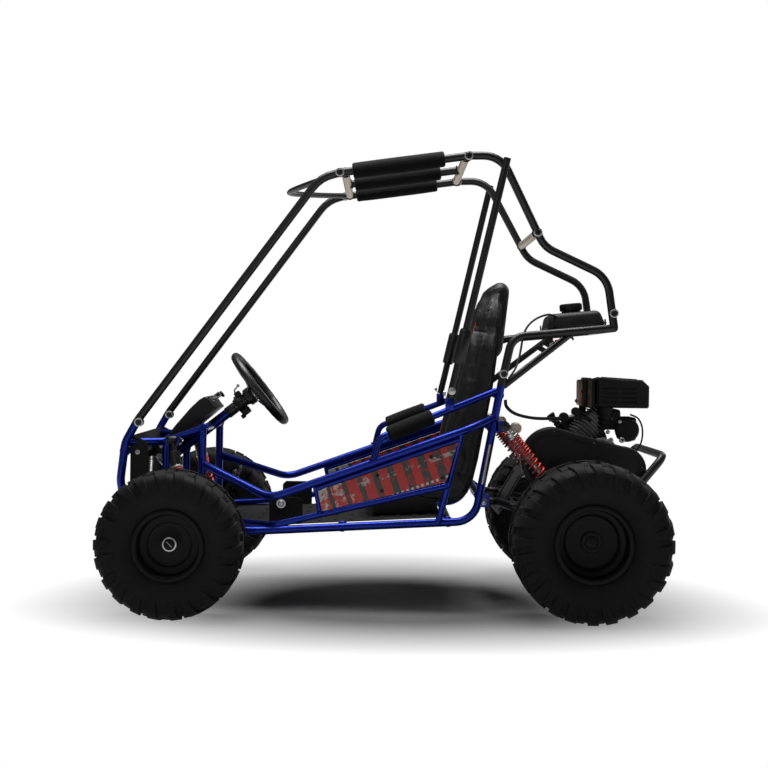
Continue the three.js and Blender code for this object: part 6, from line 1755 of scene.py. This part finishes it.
# %% Swing arm
SWING_Y = 222
BUMPER_FOOT, BUMPER_TOP, BUMPER_Y = (-596, 232), (-746, 408), 200
PIVOT_SLEEVE = [(6, -19.7), (14.4, -19.7), (15, -19)]
HOUSING = [(13.4, -13), (20, -13), (24.2, -11), (25, -8)]
FOOT_EAR = [(-451, 307), (-451, 330), (-446, 336), (-434, 336), (-429, 330), (-429, 307)]
swing_parts = []
for side in BOTH:
    y, pivot = SWING_Y * side, (PIVOT[0], PIVOT_Y * side, PIVOT[1])
    leg = (318 - BUMPER_FOOT[1]) / (BUMPER_TOP[1] - BUMPER_FOOT[1])
    end = (-596 + leg * (-746 + 596), (SWING_Y + leg * (BUMPER_Y - SWING_Y)) * side, 318)
    low_run = [(x, PIVOT_Y * side, 276) for x in (-281, -302)]
    low_run += [(-345, y, 268), (-520, y, 229), (-596, y, 232)]
    swing_parts += [
        spun(PIVOT_SLEEVE + mirrored(PIVOT_SLEEVE), 40, pivot, Y),
        bent_tube(low_run, TUBE, 30),
        bent_tube([(-345, y, 268), (-415, y, 306), (-560, y, 318), end], TUBE, 30),
        spun(HOUSING + mirrored(HOUSING), 48, (REAR_AXLE_X, y, REAR_AXLE_Z), Y),
        weld((REAR_AXLE_X, y, 227), X, 11.4),
    ]
    swing_parts += [side_plate(FOOT_EAR, 4.8, REAR_SHOCK_Y * side + cheek * CHEEK) for cheek in BOTH]
    swing_parts.append(slab((21.5, 49, 7.8), (-440, (SWING_Y + 25) * side, 306), 0, 1.2))
hoop = [(-596, SWING_Y, 232), (-746, BUMPER_Y, 408), (-746, -BUMPER_Y, 408), (-596, -SWING_Y, 232)]
swing_parts.append(bent_tube(hoop, TUBE, 34))
for x, z in ((-345, 268), (-470, 318), (-610, 318)):
    swing_parts += cross_bar(x, z, SWING_Y)
swing_parts.append(slab((191, 224, 5.8), (-554.5, 0, 330), 0, 1.5))
swing_parts += [slab((150, 6, 12), (-540, y, 322), 0, 1.4) for y in (-100, 100)]
made("swing_arm_tubes", swing_parts, black_paint, "swing_arm", "swing_arm")

bolts, pins = [], []
for side in BOTH:
    for out in BOTH:
        bolts.append(bolt((-440, REAR_SHOCK_Y * side + out * 16.6, 325), (0, out, 0), 6.5, 5, 9.5))
        pins.append(bolt((PIVOT[0], (PIVOT_Y + out * 25.6) * side, PIVOT[1]), (0, out * side, 0), 6.5, 5, 9.5))
    for angle in round_the_clock(45, 90):
        place = (REAR_AXLE_X + 20 * math.cos(angle), (SWING_Y - 13) * side, REAR_AXLE_Z + 20 * math.sin(angle))
        bolts.append(bolt(place, (0, -side, 0), 3.5, 3, 4.8))
bolts += [bolt((x, y, 333), Z, 5, 4, 8) for x in (-478, -632) for y in (96, -96)]
made("swing_arm_bolts", bolts, zinc, "swing_arm")
made("pivot_bolts", pins, zinc, "frame")
print("swing arm done")

# %% [markdown]
# The live axle is a bright shaft. On it turn the sprocket, whose teeth come from one tooth arrayed round
# it, and the brake disc with its ring of holes. A caliper grips the disc from the swing arm.

# %% Axle, sprocket, disc and caliper
SPROCKET_Y, DISC_Y = 165, -120
AXLE_HALF = WHEEL_Y["rear"] + 13.6
AXLE_HUB = [(12.4, -15), (20, -15), (21.5, -13), (23.8, -8)]
axle_parts = [disc((REAR_AXLE_X, 0, REAR_AXLE_Z), Y, 12.4, 2 * AXLE_HALF, 40, 0.8)]
axle_parts += [spun(AXLE_HUB + mirrored(AXLE_HUB), 44, (REAR_AXLE_X, y, REAR_AXLE_Z), Y) for y in (SPROCKET_Y, DISC_Y)]
made("axle_shaft", axle_parts, zinc, "rear_axle", "rear_axle")


def eyelets(ring, inner, outer, height, count, start=0.0):
    """Small raised rings round the axle, which read as holes in a plate."""
    profile = [(inner, -height), (outer, -height), (outer, height), (inner, height)]
    return turned_copies(spun(profile, 16, local(ring, 0, 0)), count, start)


def on_axle(name, parts, finish, y):
    """A piece of the axle, made flat round the origin and stood up at its place."""
    flat_piece = placed(joined(name, parts), at(REAR_AXLE_X, y, REAR_AXLE_Z), UPRIGHT)
    made(name, [flat_piece], finish, "rear_axle", slot="steel")


PLATE = [(20, -2.6), (68, -2.6), (69.5, -1.6)]
BRAKE = [(24, -1.6), (36, -1.6), (38, -2), (79, -2), (79.6, -1.4)]
on_axle("sprocket", [
    spun(PLATE + mirrored(PLATE), 96),
    turned_copies(slab((7.5, 5.2, 3.2), local(70.5, 0, 0), 0, 0.9), 40),
    turned_copies(bolt(local(34, 0, 2.4), Z, 5, 4, 7.5), 4),
    eyelets(44, 3.6, 5, 2.9, 8, 0.2), eyelets(56, 3.6, 5, 2.9, 8, 0.2),
], casting, SPROCKET_Y)
on_axle("brake_disc", [
    spun(BRAKE + mirrored(BRAKE), 96),
    eyelets(64, 3.2, 4.6, 2.3, 18), eyelets(50, 2.6, 3.8, 2.3, 12, 0.15),
], zinc, DISC_Y)

caliper_lean = math.radians(-32)
caliper_parts = []
for out in BOTH:
    caliper_parts.append(slab((50, 14, 44), (-466, DISC_Y + out * 12, 226), caliper_lean, 4, 3))
    caliper_parts.append(disc((-466, DISC_Y + out * 20, 226), Y, 13, 6, 32, 1.5))
caliper_parts.append(slab((30, 32, 10), (-449, DISC_Y, 237), caliper_lean, 2))
caliper_parts.append(slab((12, 8, 86), (-466, -96, 268), 0, 1))
made("brake_caliper", caliper_parts, heat_paint, "swing_arm")
print("axle done")

# %% [markdown]
# The engine is a small single with a leaning, finned cylinder. The crankcase is a rounded casting with
# ribs and covers. Every fin is one thin plate, rounded at its corners and stacked along the cylinder.

# %% Engine
LEAN = math.radians(40)
UP = Vector((-math.sin(LEAN), 0, math.cos(LEAN)))
ACROSS = Vector((math.cos(LEAN), 0, math.sin(LEAN)))
CORE = at(-566, 0, 468)


def on_core(reach, y=0.0, out=0.0):
    """A place measured up the cylinder's axis, then across it."""
    return CORE + (UP * reach + ACROSS * out) * MM + local(0, y, 0)


case_parts = [
    slab((149, 150, 104), (-565, 0, 386), 0, 14, 4),
    slab((146, 163, 6.5), (-565, 0, 338), 0, 2),
    slab((110, 162, 78), (-560, 0, 392), 0, 16, 4),
    disc((-545, 84, 393), Y, 56, 12, 56, 4),
    disc((-545, 116, 393), Y, 33, 66, 48, 3),
]
case_parts += [slab((3, 155, 90), (x, 0, 388), 0, 1) for x in (-520, -545, -570, -595, -620)]
for angle in round_the_clock(30, 60):
    case_parts.append(bolt((-545 + 48 * math.cos(angle), 90, 393 + 48 * math.sin(angle)), Y, 4, 3.5, 6))
case_parts.append(slab((54, 84, 112), on_core(0), -LEAN, 8, 3))
made("crankcase", case_parts, casting, "swing_arm", "engine")
fins = []
for fin in range(11):
    deep, wide = (72, 106) if fin < 7 else (66, 102)
    fins.append(slab((deep, wide, 2.6), on_core(-28 + 9.4 * fin), -LEAN, 1, 1))
fins += [slab((58, 90, 6), on_core(66), -LEAN, 2.5), disc(on_core(70, 0, 4), UP, 9, 14, 6, 1)]
made("cylinder_fins", fins, casting, "swing_arm")
bolts = [bolt(on_core(69, y, out), UP, 4.5, 6, 7) for y in (-34, 34) for out in (-20, 20)]
bolts += [bolt((x, 78, z), Y, 4.5, 5, 7) for x, z in ((-608, 440), (-592, 440), (-618, 434))]
made("engine_bolts", bolts, zinc, "swing_arm")
flange_parts = [
    slab((30, 14, 7), (-598, 74, 444), math.radians(8), 2),
    slab((18, 16, 12), (-622, 74, 440), math.radians(28), 3),
]
made("intake_flange", flange_parts, zinc, "swing_arm")
print("engine core done")

# %% [markdown]
# Above the head hangs the air hood, a black boot that joins the carburettor behind, and beside it the
# round choke cover. The plug wears a rubber cap.

# %% Intake side
boot_profile = [
    (0, 0), (17, 0), (18, 2), (18, 8), (15.5, 10), (15.5, 14), (18, 16), (18, 22), (15.5, 24), (15.5, 28), (18.5, 30),
    (19, 40), (24, 56), (24, 62), (0, 62),
]
intake_parts = [
    spun(boot_profile, 40, (-612, 42, 469), (0.02, 0, 1)),
    slab((52, 90, 58), (-631, 0, 497), 0, 9, 3),
    slab((44, 88, 66), (-680, 0, 471), 0, 9, 3),
    disc((-674, 50, 469), Y, 31.5, 18, 48, 6),
    disc((-674, 44, 469), Y, 34, 10, 48, 2),
    disc((-655, 30, 487), X, 16, 30, 32, 2),
]
made("intake_boot", intake_parts, heat_paint, "swing_arm")
intake_ring = spun([(3.4, 0), (8.2, 0), (8.2, 3), (7, 4.2), (4.4, 4.2), (3.4, 3)], 28, (-658, 56, 441), Y)
intake_bolts = [intake_ring, bolt((-618, 60, 463), Y, 4, 4, 6), bolt((-652, 56, 492), Y, 3, 4, 5)]
made("intake_bolts", intake_bolts, zinc, "swing_arm")
plug_cap = bent_tube([on_core(74, 0, 4), on_core(98, 0, 6), (-606, 0, 540), (-600, -40, 532)], 8.5, 12)
made("plug_cap", [plug_cap], hose_rubber, "swing_arm")
print("intake done")

# %% [markdown]
# The silencer hides inside a black box with two groups of four slots on each side. The box has a bevelled
# tail and a pale gasket at its mouth. Slots are real recesses: thin blocks cut with a Boolean.

# %% Silencer
shield = side_plate([(-587, 530), (-587, 609), (-606, 614.6), (-712, 609), (-731.6, 591), (-731.6, 530)], 131.5, 0, 4.5)
slots = [
    slab((42, 8, 5.2), (group, 66 * side, 584 - row * 12.3), math.radians(-1.5), 1.4)
    for side in BOTH for group in (-622, -675) for row in range(4)
]
cut_by(shield, joined("slots", slots))
mouth_line = [(-587.6, -65, 530.5), (-587.6, 65, 530.5), (-587.6, 65, 609), (-587.6, -65, 609)]
shield_parts = [shield, bent_tube(mouth_line, 1.2, 0, 2, True)]
for step in range(6):
    shield_parts.append(slab((9, 94, 2), (-620 - step * 15, 0, 614.4 - step * 0.82), math.radians(-3), 0.8, 1))
made("silencer_shield", shield_parts, heat_paint, "swing_arm")
mouth_parts = [
    slab((11, 118, 74), (-554.5, 0, 570), 0, 3),
    slab((20, 120, 74), (-572, 0, 570), 0, 3),
    rod((-552, 0, 440), (-556, 0, 538), 10.5),
]
made("silencer_mouth", mouth_parts, heat_paint, "swing_arm")
gasket_parts = [slab((5, 88, 70), (-546.5, 0, 570), 0, 1.6)] + [bolt((-544, y, 546), X, 4, 3, 6) for y in (36, -36)]
made("silencer_gasket", gasket_parts, gasket_finish, "swing_arm")
made("silencer_seam", [slab((12.5, 130, 84), (-566, 0, 571), 0, 3)], seam_finish, "swing_arm")
print("silencer done")

# %% [markdown]
# The chain runs under a moulded cover shaped like two wheels with a belt round them. Its face has a raised
# middle, made by insetting the outer face three times, and a bevel softens the rim.

# %% Drive cover
COVER_WHEELS = ((-452, 393, 87.5), (-640, 368, 62.5))


def belt_outline(large, small, steps=20):
    (x_a, z_a, r_a), (x_b, z_b, r_b) = large, small
    run, rise = x_a - x_b, z_a - z_b
    skew = math.asin((r_a - r_b) / math.hypot(run, rise))
    line = math.atan2(rise, run)
    upper, lower = line + math.pi / 2 - skew, line - math.pi / 2 + skew
    points = []
    for (x, z, r), start, end in ((large, lower, upper), (small, upper, lower + 2 * math.pi)):
        angles = [start + (end - start) * step / steps for step in range(steps + 1)]
        points += [(x + r * math.cos(angle), z + r * math.sin(angle)) for angle in angles]
    return points


cover = side_plate(belt_outline(*COVER_WHEELS), 38, 169.5, 0)
edited(cover, lambda: bpy.ops.mesh.select_all(action="DESELECT"))
for face in cover.data.polygons:
    face.select = face.normal.y > 0.9
bpy.ops.object.mode_set(mode="EDIT")
bpy.ops.mesh.select_mode(type="FACE")
for thickness, depth in ((0.012, 0.004), (0.01, -0.0025), (0.014, 0.003)):
    bpy.ops.mesh.inset(thickness=thickness, depth=depth)
bpy.ops.object.mode_set(mode="OBJECT")
cover_parts = [beveled(cover, 4, 3, 14)]
for (x, z, _), r in zip(COVER_WHEELS, (20, 14)):
    boss = [(0, 0), (r, 0), (r, 1.6), (r - 2.5, 3.4), (r * 0.5, 3.6), (r * 0.45, 2.6), (0, 2.4)]
    cover_parts.append(spun(boss, 40, (x, 189.5, z), Y))
for x, z in ((-500, 462), (-560, 440), (-600, 424)):
    cover_parts.append(slab((30, 30, 2.4), (x, 168, z), math.radians(-21), 1))
made("chain_cover", cover_parts, plastic, "swing_arm", "drive_cover")
cover_places = ((-385, 400), (-452, 466), (-452, 322), (-690, 372), (-560, 436))
cover_dots = [dome_bolt((x, 190.3, z), Y, 4.5) for x, z in cover_places]
made("cover_bolts", cover_dots, black_paint, "swing_arm")
print("cover done")

# %% [markdown]
# On the far side the recoil starter is a pressed drum with a ring of air slots and a cord grip on top.

# %% Recoil starter
STARTER, STARTER_AXIS = (-560, -82, 418), (0, -1, 0)
drum_profile = [
    (0, 2), (82, 2), (83.4, 4), (83.4, 12), (81, 14), (79, 15.5), (79, 24), (76, 30), (60, 33), (58, 34.5),
    (56, 40), (50, 41.6), (24, 41.8), (22, 40.4), (12, 40.4), (10, 41.6), (0, 41.8),
]
drum = spun(drum_profile, 96, STARTER, STARTER_AXIS)
cutter = turned_copies(slab((14, 4.6, 10), local(68.5, 0, 31.5), 0, 1, 1), 24)
cut_by(drum, placed(cutter, at(*STARTER), facing(STARTER_AXIS)))
starter_parts = [drum, slab((30, 18, 20), (-504, -96, 472), math.radians(-45), 4, 3)]
for angle in round_the_clock(15, 60):
    starter_parts.append(disc((-560 + 80.5 * math.cos(angle), -87, 418 + 80.5 * math.sin(angle)), Y, 4.2, 20, 6, 0.6))
made("recoil_starter", starter_parts, heat_paint, "swing_arm")
grip_profile = [(0, 0), (5, 0), (8, 3), (10, 9), (9.4, 15), (12, 22), (14, 26), (11, 30), (0, 31)]
pull = spun(grip_profile, 32, (-495, -98, 481), (0.62, -0.2, 0.76))
made("starter_grip", [pull], hose_rubber, "swing_arm")
print("starter done")

# %% [markdown]
# The splash guard is one bent sheet behind the seat. Two pressed beads stiffen it.

# %% Splash guard
SHEET_LEAN = math.radians(30)
sheet_up = Vector((-math.sin(SHEET_LEAN), math.cos(SHEET_LEAN)))
sheet_out = Vector((math.cos(SHEET_LEAN), math.sin(SHEET_LEAN)))
sheet_foot = Vector((-345, 268)) + sheet_out * (TUBE * math.cos(math.pi / 6) + 0.4)
high = sheet_foot + sheet_up * 87.6
line = [sheet_foot - sheet_up * 45.6, sheet_foot, high, high + Vector((-36, 18))]
outline = [tuple(point) for point in line] + [tuple(point + sheet_out * 2.8) for point in reversed(line)]
splash_parts = [side_plate(outline, 235.6, 0, 0.7)]
for y in (-88, 88):
    bead = [sheet_foot + sheet_up * reach + sheet_out * 2.6 for reach in (-36, 78)]
    splash_parts.append(bent_tube([(point.x, y, point.y) for point in bead], 2.2, 0, 2))
made("splash_sheet", splash_parts, black_paint, "swing_arm", "splash_guard")
print("splash guard done")

# %% [markdown]
# Bright ring washers show at the bolted joints of the cage, each round a black bolt head. Pale bare bars lie over the
# roof's cross bars, a thin pale rod down each rear upright is a painted reflection, and small bolts hold the posts.

# %% Cage bolts
RING_WASHER = [(7.2, 0), (11.6, 0), (11.6, 1.4), (10.6, 2.1), (8.2, 2.1), (7.2, 1.4)]
BLACK_HEAD = [(0, 0), (7.4, 0), (7.4, 4.2), (6.4, 5.4), (3.4, 5.6), (3, 3.6), (0, 3.4)]
CAGE_JOINTS = [
    (650, 482, LOOP_Y + 10.2), (130, 1147, LOOP_Y + 10.4), (-209, 1195, LOOP_Y + 10.4), (-309, 622, 253 + 10.2),
    (-398, 1000, 214 + 10.2), (-604, 787, CAGE_Y + 10.2),
]
faces = [
    ((x, reach * side, z), (0, side * out, 0))
    for x, z, y in CAGE_JOINTS for side in BOTH for reach, out in ((y, 1), (y - 20.6, -1))
]
made("cage_rings", [spun(RING_WASHER, 32, *face) for face in faces], zinc, "frame")
made("cage_bolt_heads", [spun(BLACK_HEAD, 24, *face) for face in faces], black_paint, "frame")
bare_and_reflection_parts = [rod(roof(x, -236), roof(x, 236), 11.35) for x in ROOF_BARS]
bare_and_reflection_parts.append(rod((-398, -198, 1000), (-398, 198, 1000), 11.35))
# Painted reflection: a thin pale rod on the outer face of each rear upright stands for the warm highlight that runs
# down that tube.
for side in BOTH:
    ends = [(loop_x(z) - 1, (LOOP_Y + 8) * side, z) for z in (436, 332)]
    bare_and_reflection_parts.append(rod(*ends, 4.2))
made("bare_bars_and_reflection_strips", bare_and_reflection_parts, bare, "frame")
post_parts = []
for side in BOTH:
    foot, head = post_ends(side)
    middle = foot.lerp(head, 0.012)
    post_parts.append(bolt(middle + local(12, 0, 6), (1, 0, 0.1), 6, 5, 9))
    post_parts.append(bolt(middle + local(-3, side * 12.5, 12), (0, side, 0), 6, 5, 10))
made("post_bolts", post_parts, zinc, "frame")
print("bolts done")

# %% [markdown]
# Cables and hoses hang in soft curves. Each is a smooth line through a few places, sampled closely, and its own length
# is measured from those samples. A cable that joins frame and engine is fixed where it is made, on neither of them.

# %% Cables
def smooth_line(places, count=28):
    """A Catmull-Rom line through the places."""
    ends = [2 * places[0] - places[1]] + places + [2 * places[-1] - places[-2]]
    points = []
    for step in range(count + 1):
        reach = step / count * (len(places) - 1)
        index = min(int(reach), len(places) - 2)
        part = reach - index
        a, b, c, d = ends[index : index + 4]
        bend = (2 * a - 5 * b + 4 * c - d) * part**2 + (3 * b - a - 3 * c + d) * part**3
        points.append(0.5 * (2 * b + (c - a) * part + bend))
    return points


def cable(name, places, diameter, body, beyond=None):
    points = smooth_line([at(*place) for place in places])
    piece = smooth(painted(joined(name, [bent_tube(points, diameter / 2, 0, 2)]), hose_rubber), 60)
    length = sum((b - a).length for a, b in zip(points, points[1:]))
    if beyond:
        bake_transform(piece)
    else:
        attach(piece, body)
    print(name, round(length, 3), "m")


throttle_way = [
    (-316, 236, 553), (-320, 232, 535), (-345, 214, 516), (-395, 180, 504), (-450, 150, 502), (-505, 110, 504),
    (-545, 72, 503), (-572, 52, 494),
]
cable("throttle_cable", throttle_way, 9, "frame", "swing_arm")
fuel_way = [
    (-468, 84, 780), (-444, 96, 786), (-410, 112, 774), (-384, 128, 752), (-371, 140, 724), (-364, 152, 690),
    (-356, 172, 660), (-344, 196, 634), (-326, 226, 612),
]
cable("fuel_hose", fuel_way, 6, "frame")
lead_way = [
    (-684, 36, 512), (-706, 44, 500), (-716, 52, 470), (-710, 58, 430), (-684, 62, 396), (-652, 62, 372),
    (-641, 60, 366),
]
cable("engine_lead", lead_way, 5, "swing_arm")

# %% [markdown]
# Around the head of the engine sit the cable bracket, a silver rod and two round knobs. Under the carrier
# sits the fuel tap: a black block with a nut and a red lever.

# %% Linkage and fuel tap
link_parts = [rod((-446, 128, 497), (-474, 128, 500), 5.2), rod((-474, 128, 500), (-520, 110, 512), 3)]
made("cable_link", link_parts, zinc, "swing_arm")
knob_parts = [
    disc((-486, 126, 505), Y, 13.5, 16, 36, 4),
    disc((-521, 108, 520), Y, 12.5, 16, 36, 5),
    slab((8, 8, 70), (-500, 106, 474), math.radians(30), 1.5),
]
made("link_knobs", knob_parts, heat_paint, "swing_arm")
tap_parts = [
    slab((30, 26, 22), (-440, 150, 706), math.radians(-30), 5, 3),
    disc((-438, 164, 716), Y, 10, 6, 28, 1.6),
    slab((30, 12, 14), (-420, 150, 690), math.radians(-30), 3),
]
made("fuel_tap", tap_parts, plastic, "frame")
nut_parts = [bolt((-446, 164, 702), Y, 5.5, 6, 7.5), disc((-448, 166, 690), Z, 3, 16, 20, 0.8)]
made("fuel_tap_nut", nut_parts, bare, "frame")
made("fuel_tap_lever", [slab((8, 6, 8), (-458, 163, 712), 0, 2)], red_vinyl, "frame")
print("linkage and fuel tap done")

# %% [markdown]
# Behind the nose plate sits the brake master cylinder, with a round reservoir, two hose ends and a bracket.

# %% Brake cylinder
CYLINDER_AXIS = (1, 0, -0.32)
cylinder_parts = [
    rod((640, 176, 396), (566, 176, 420), 12.5),
    spun([(0, 0), (15, 0), (16, 3), (16, 19), (14.4, 21.6), (0, 21.6)], 40, (612, 176, 414), (0.3, 0, 1)),
    disc((644, 176, 395), CYLINDER_AXIS, 16.5, 8, 36, 2),
    slab((50, 5, 30), (600, 190, 410), 0, 1.2),
]
for turn in range(4):
    cylinder_parts.append(disc((624 - 17 * turn, 176, 400 + 5.5 * turn), CYLINDER_AXIS, 14.8, 5, 36, 1.2))
made("brake_cylinder", cylinder_parts, plastic, "frame")
fittings = [bolt((x, 193, z), Y, 5, 4, 7) for x, z in ((600, 416), (588, 402))]
fittings += [disc((562, 176, 421.4), CYLINDER_AXIS, 7, 14, 28, 1), rod((648, 176, 393), (655, 176, 391), 4.5)]
made("cylinder_fittings", fittings, zinc, "frame")
print("brake cylinder done")
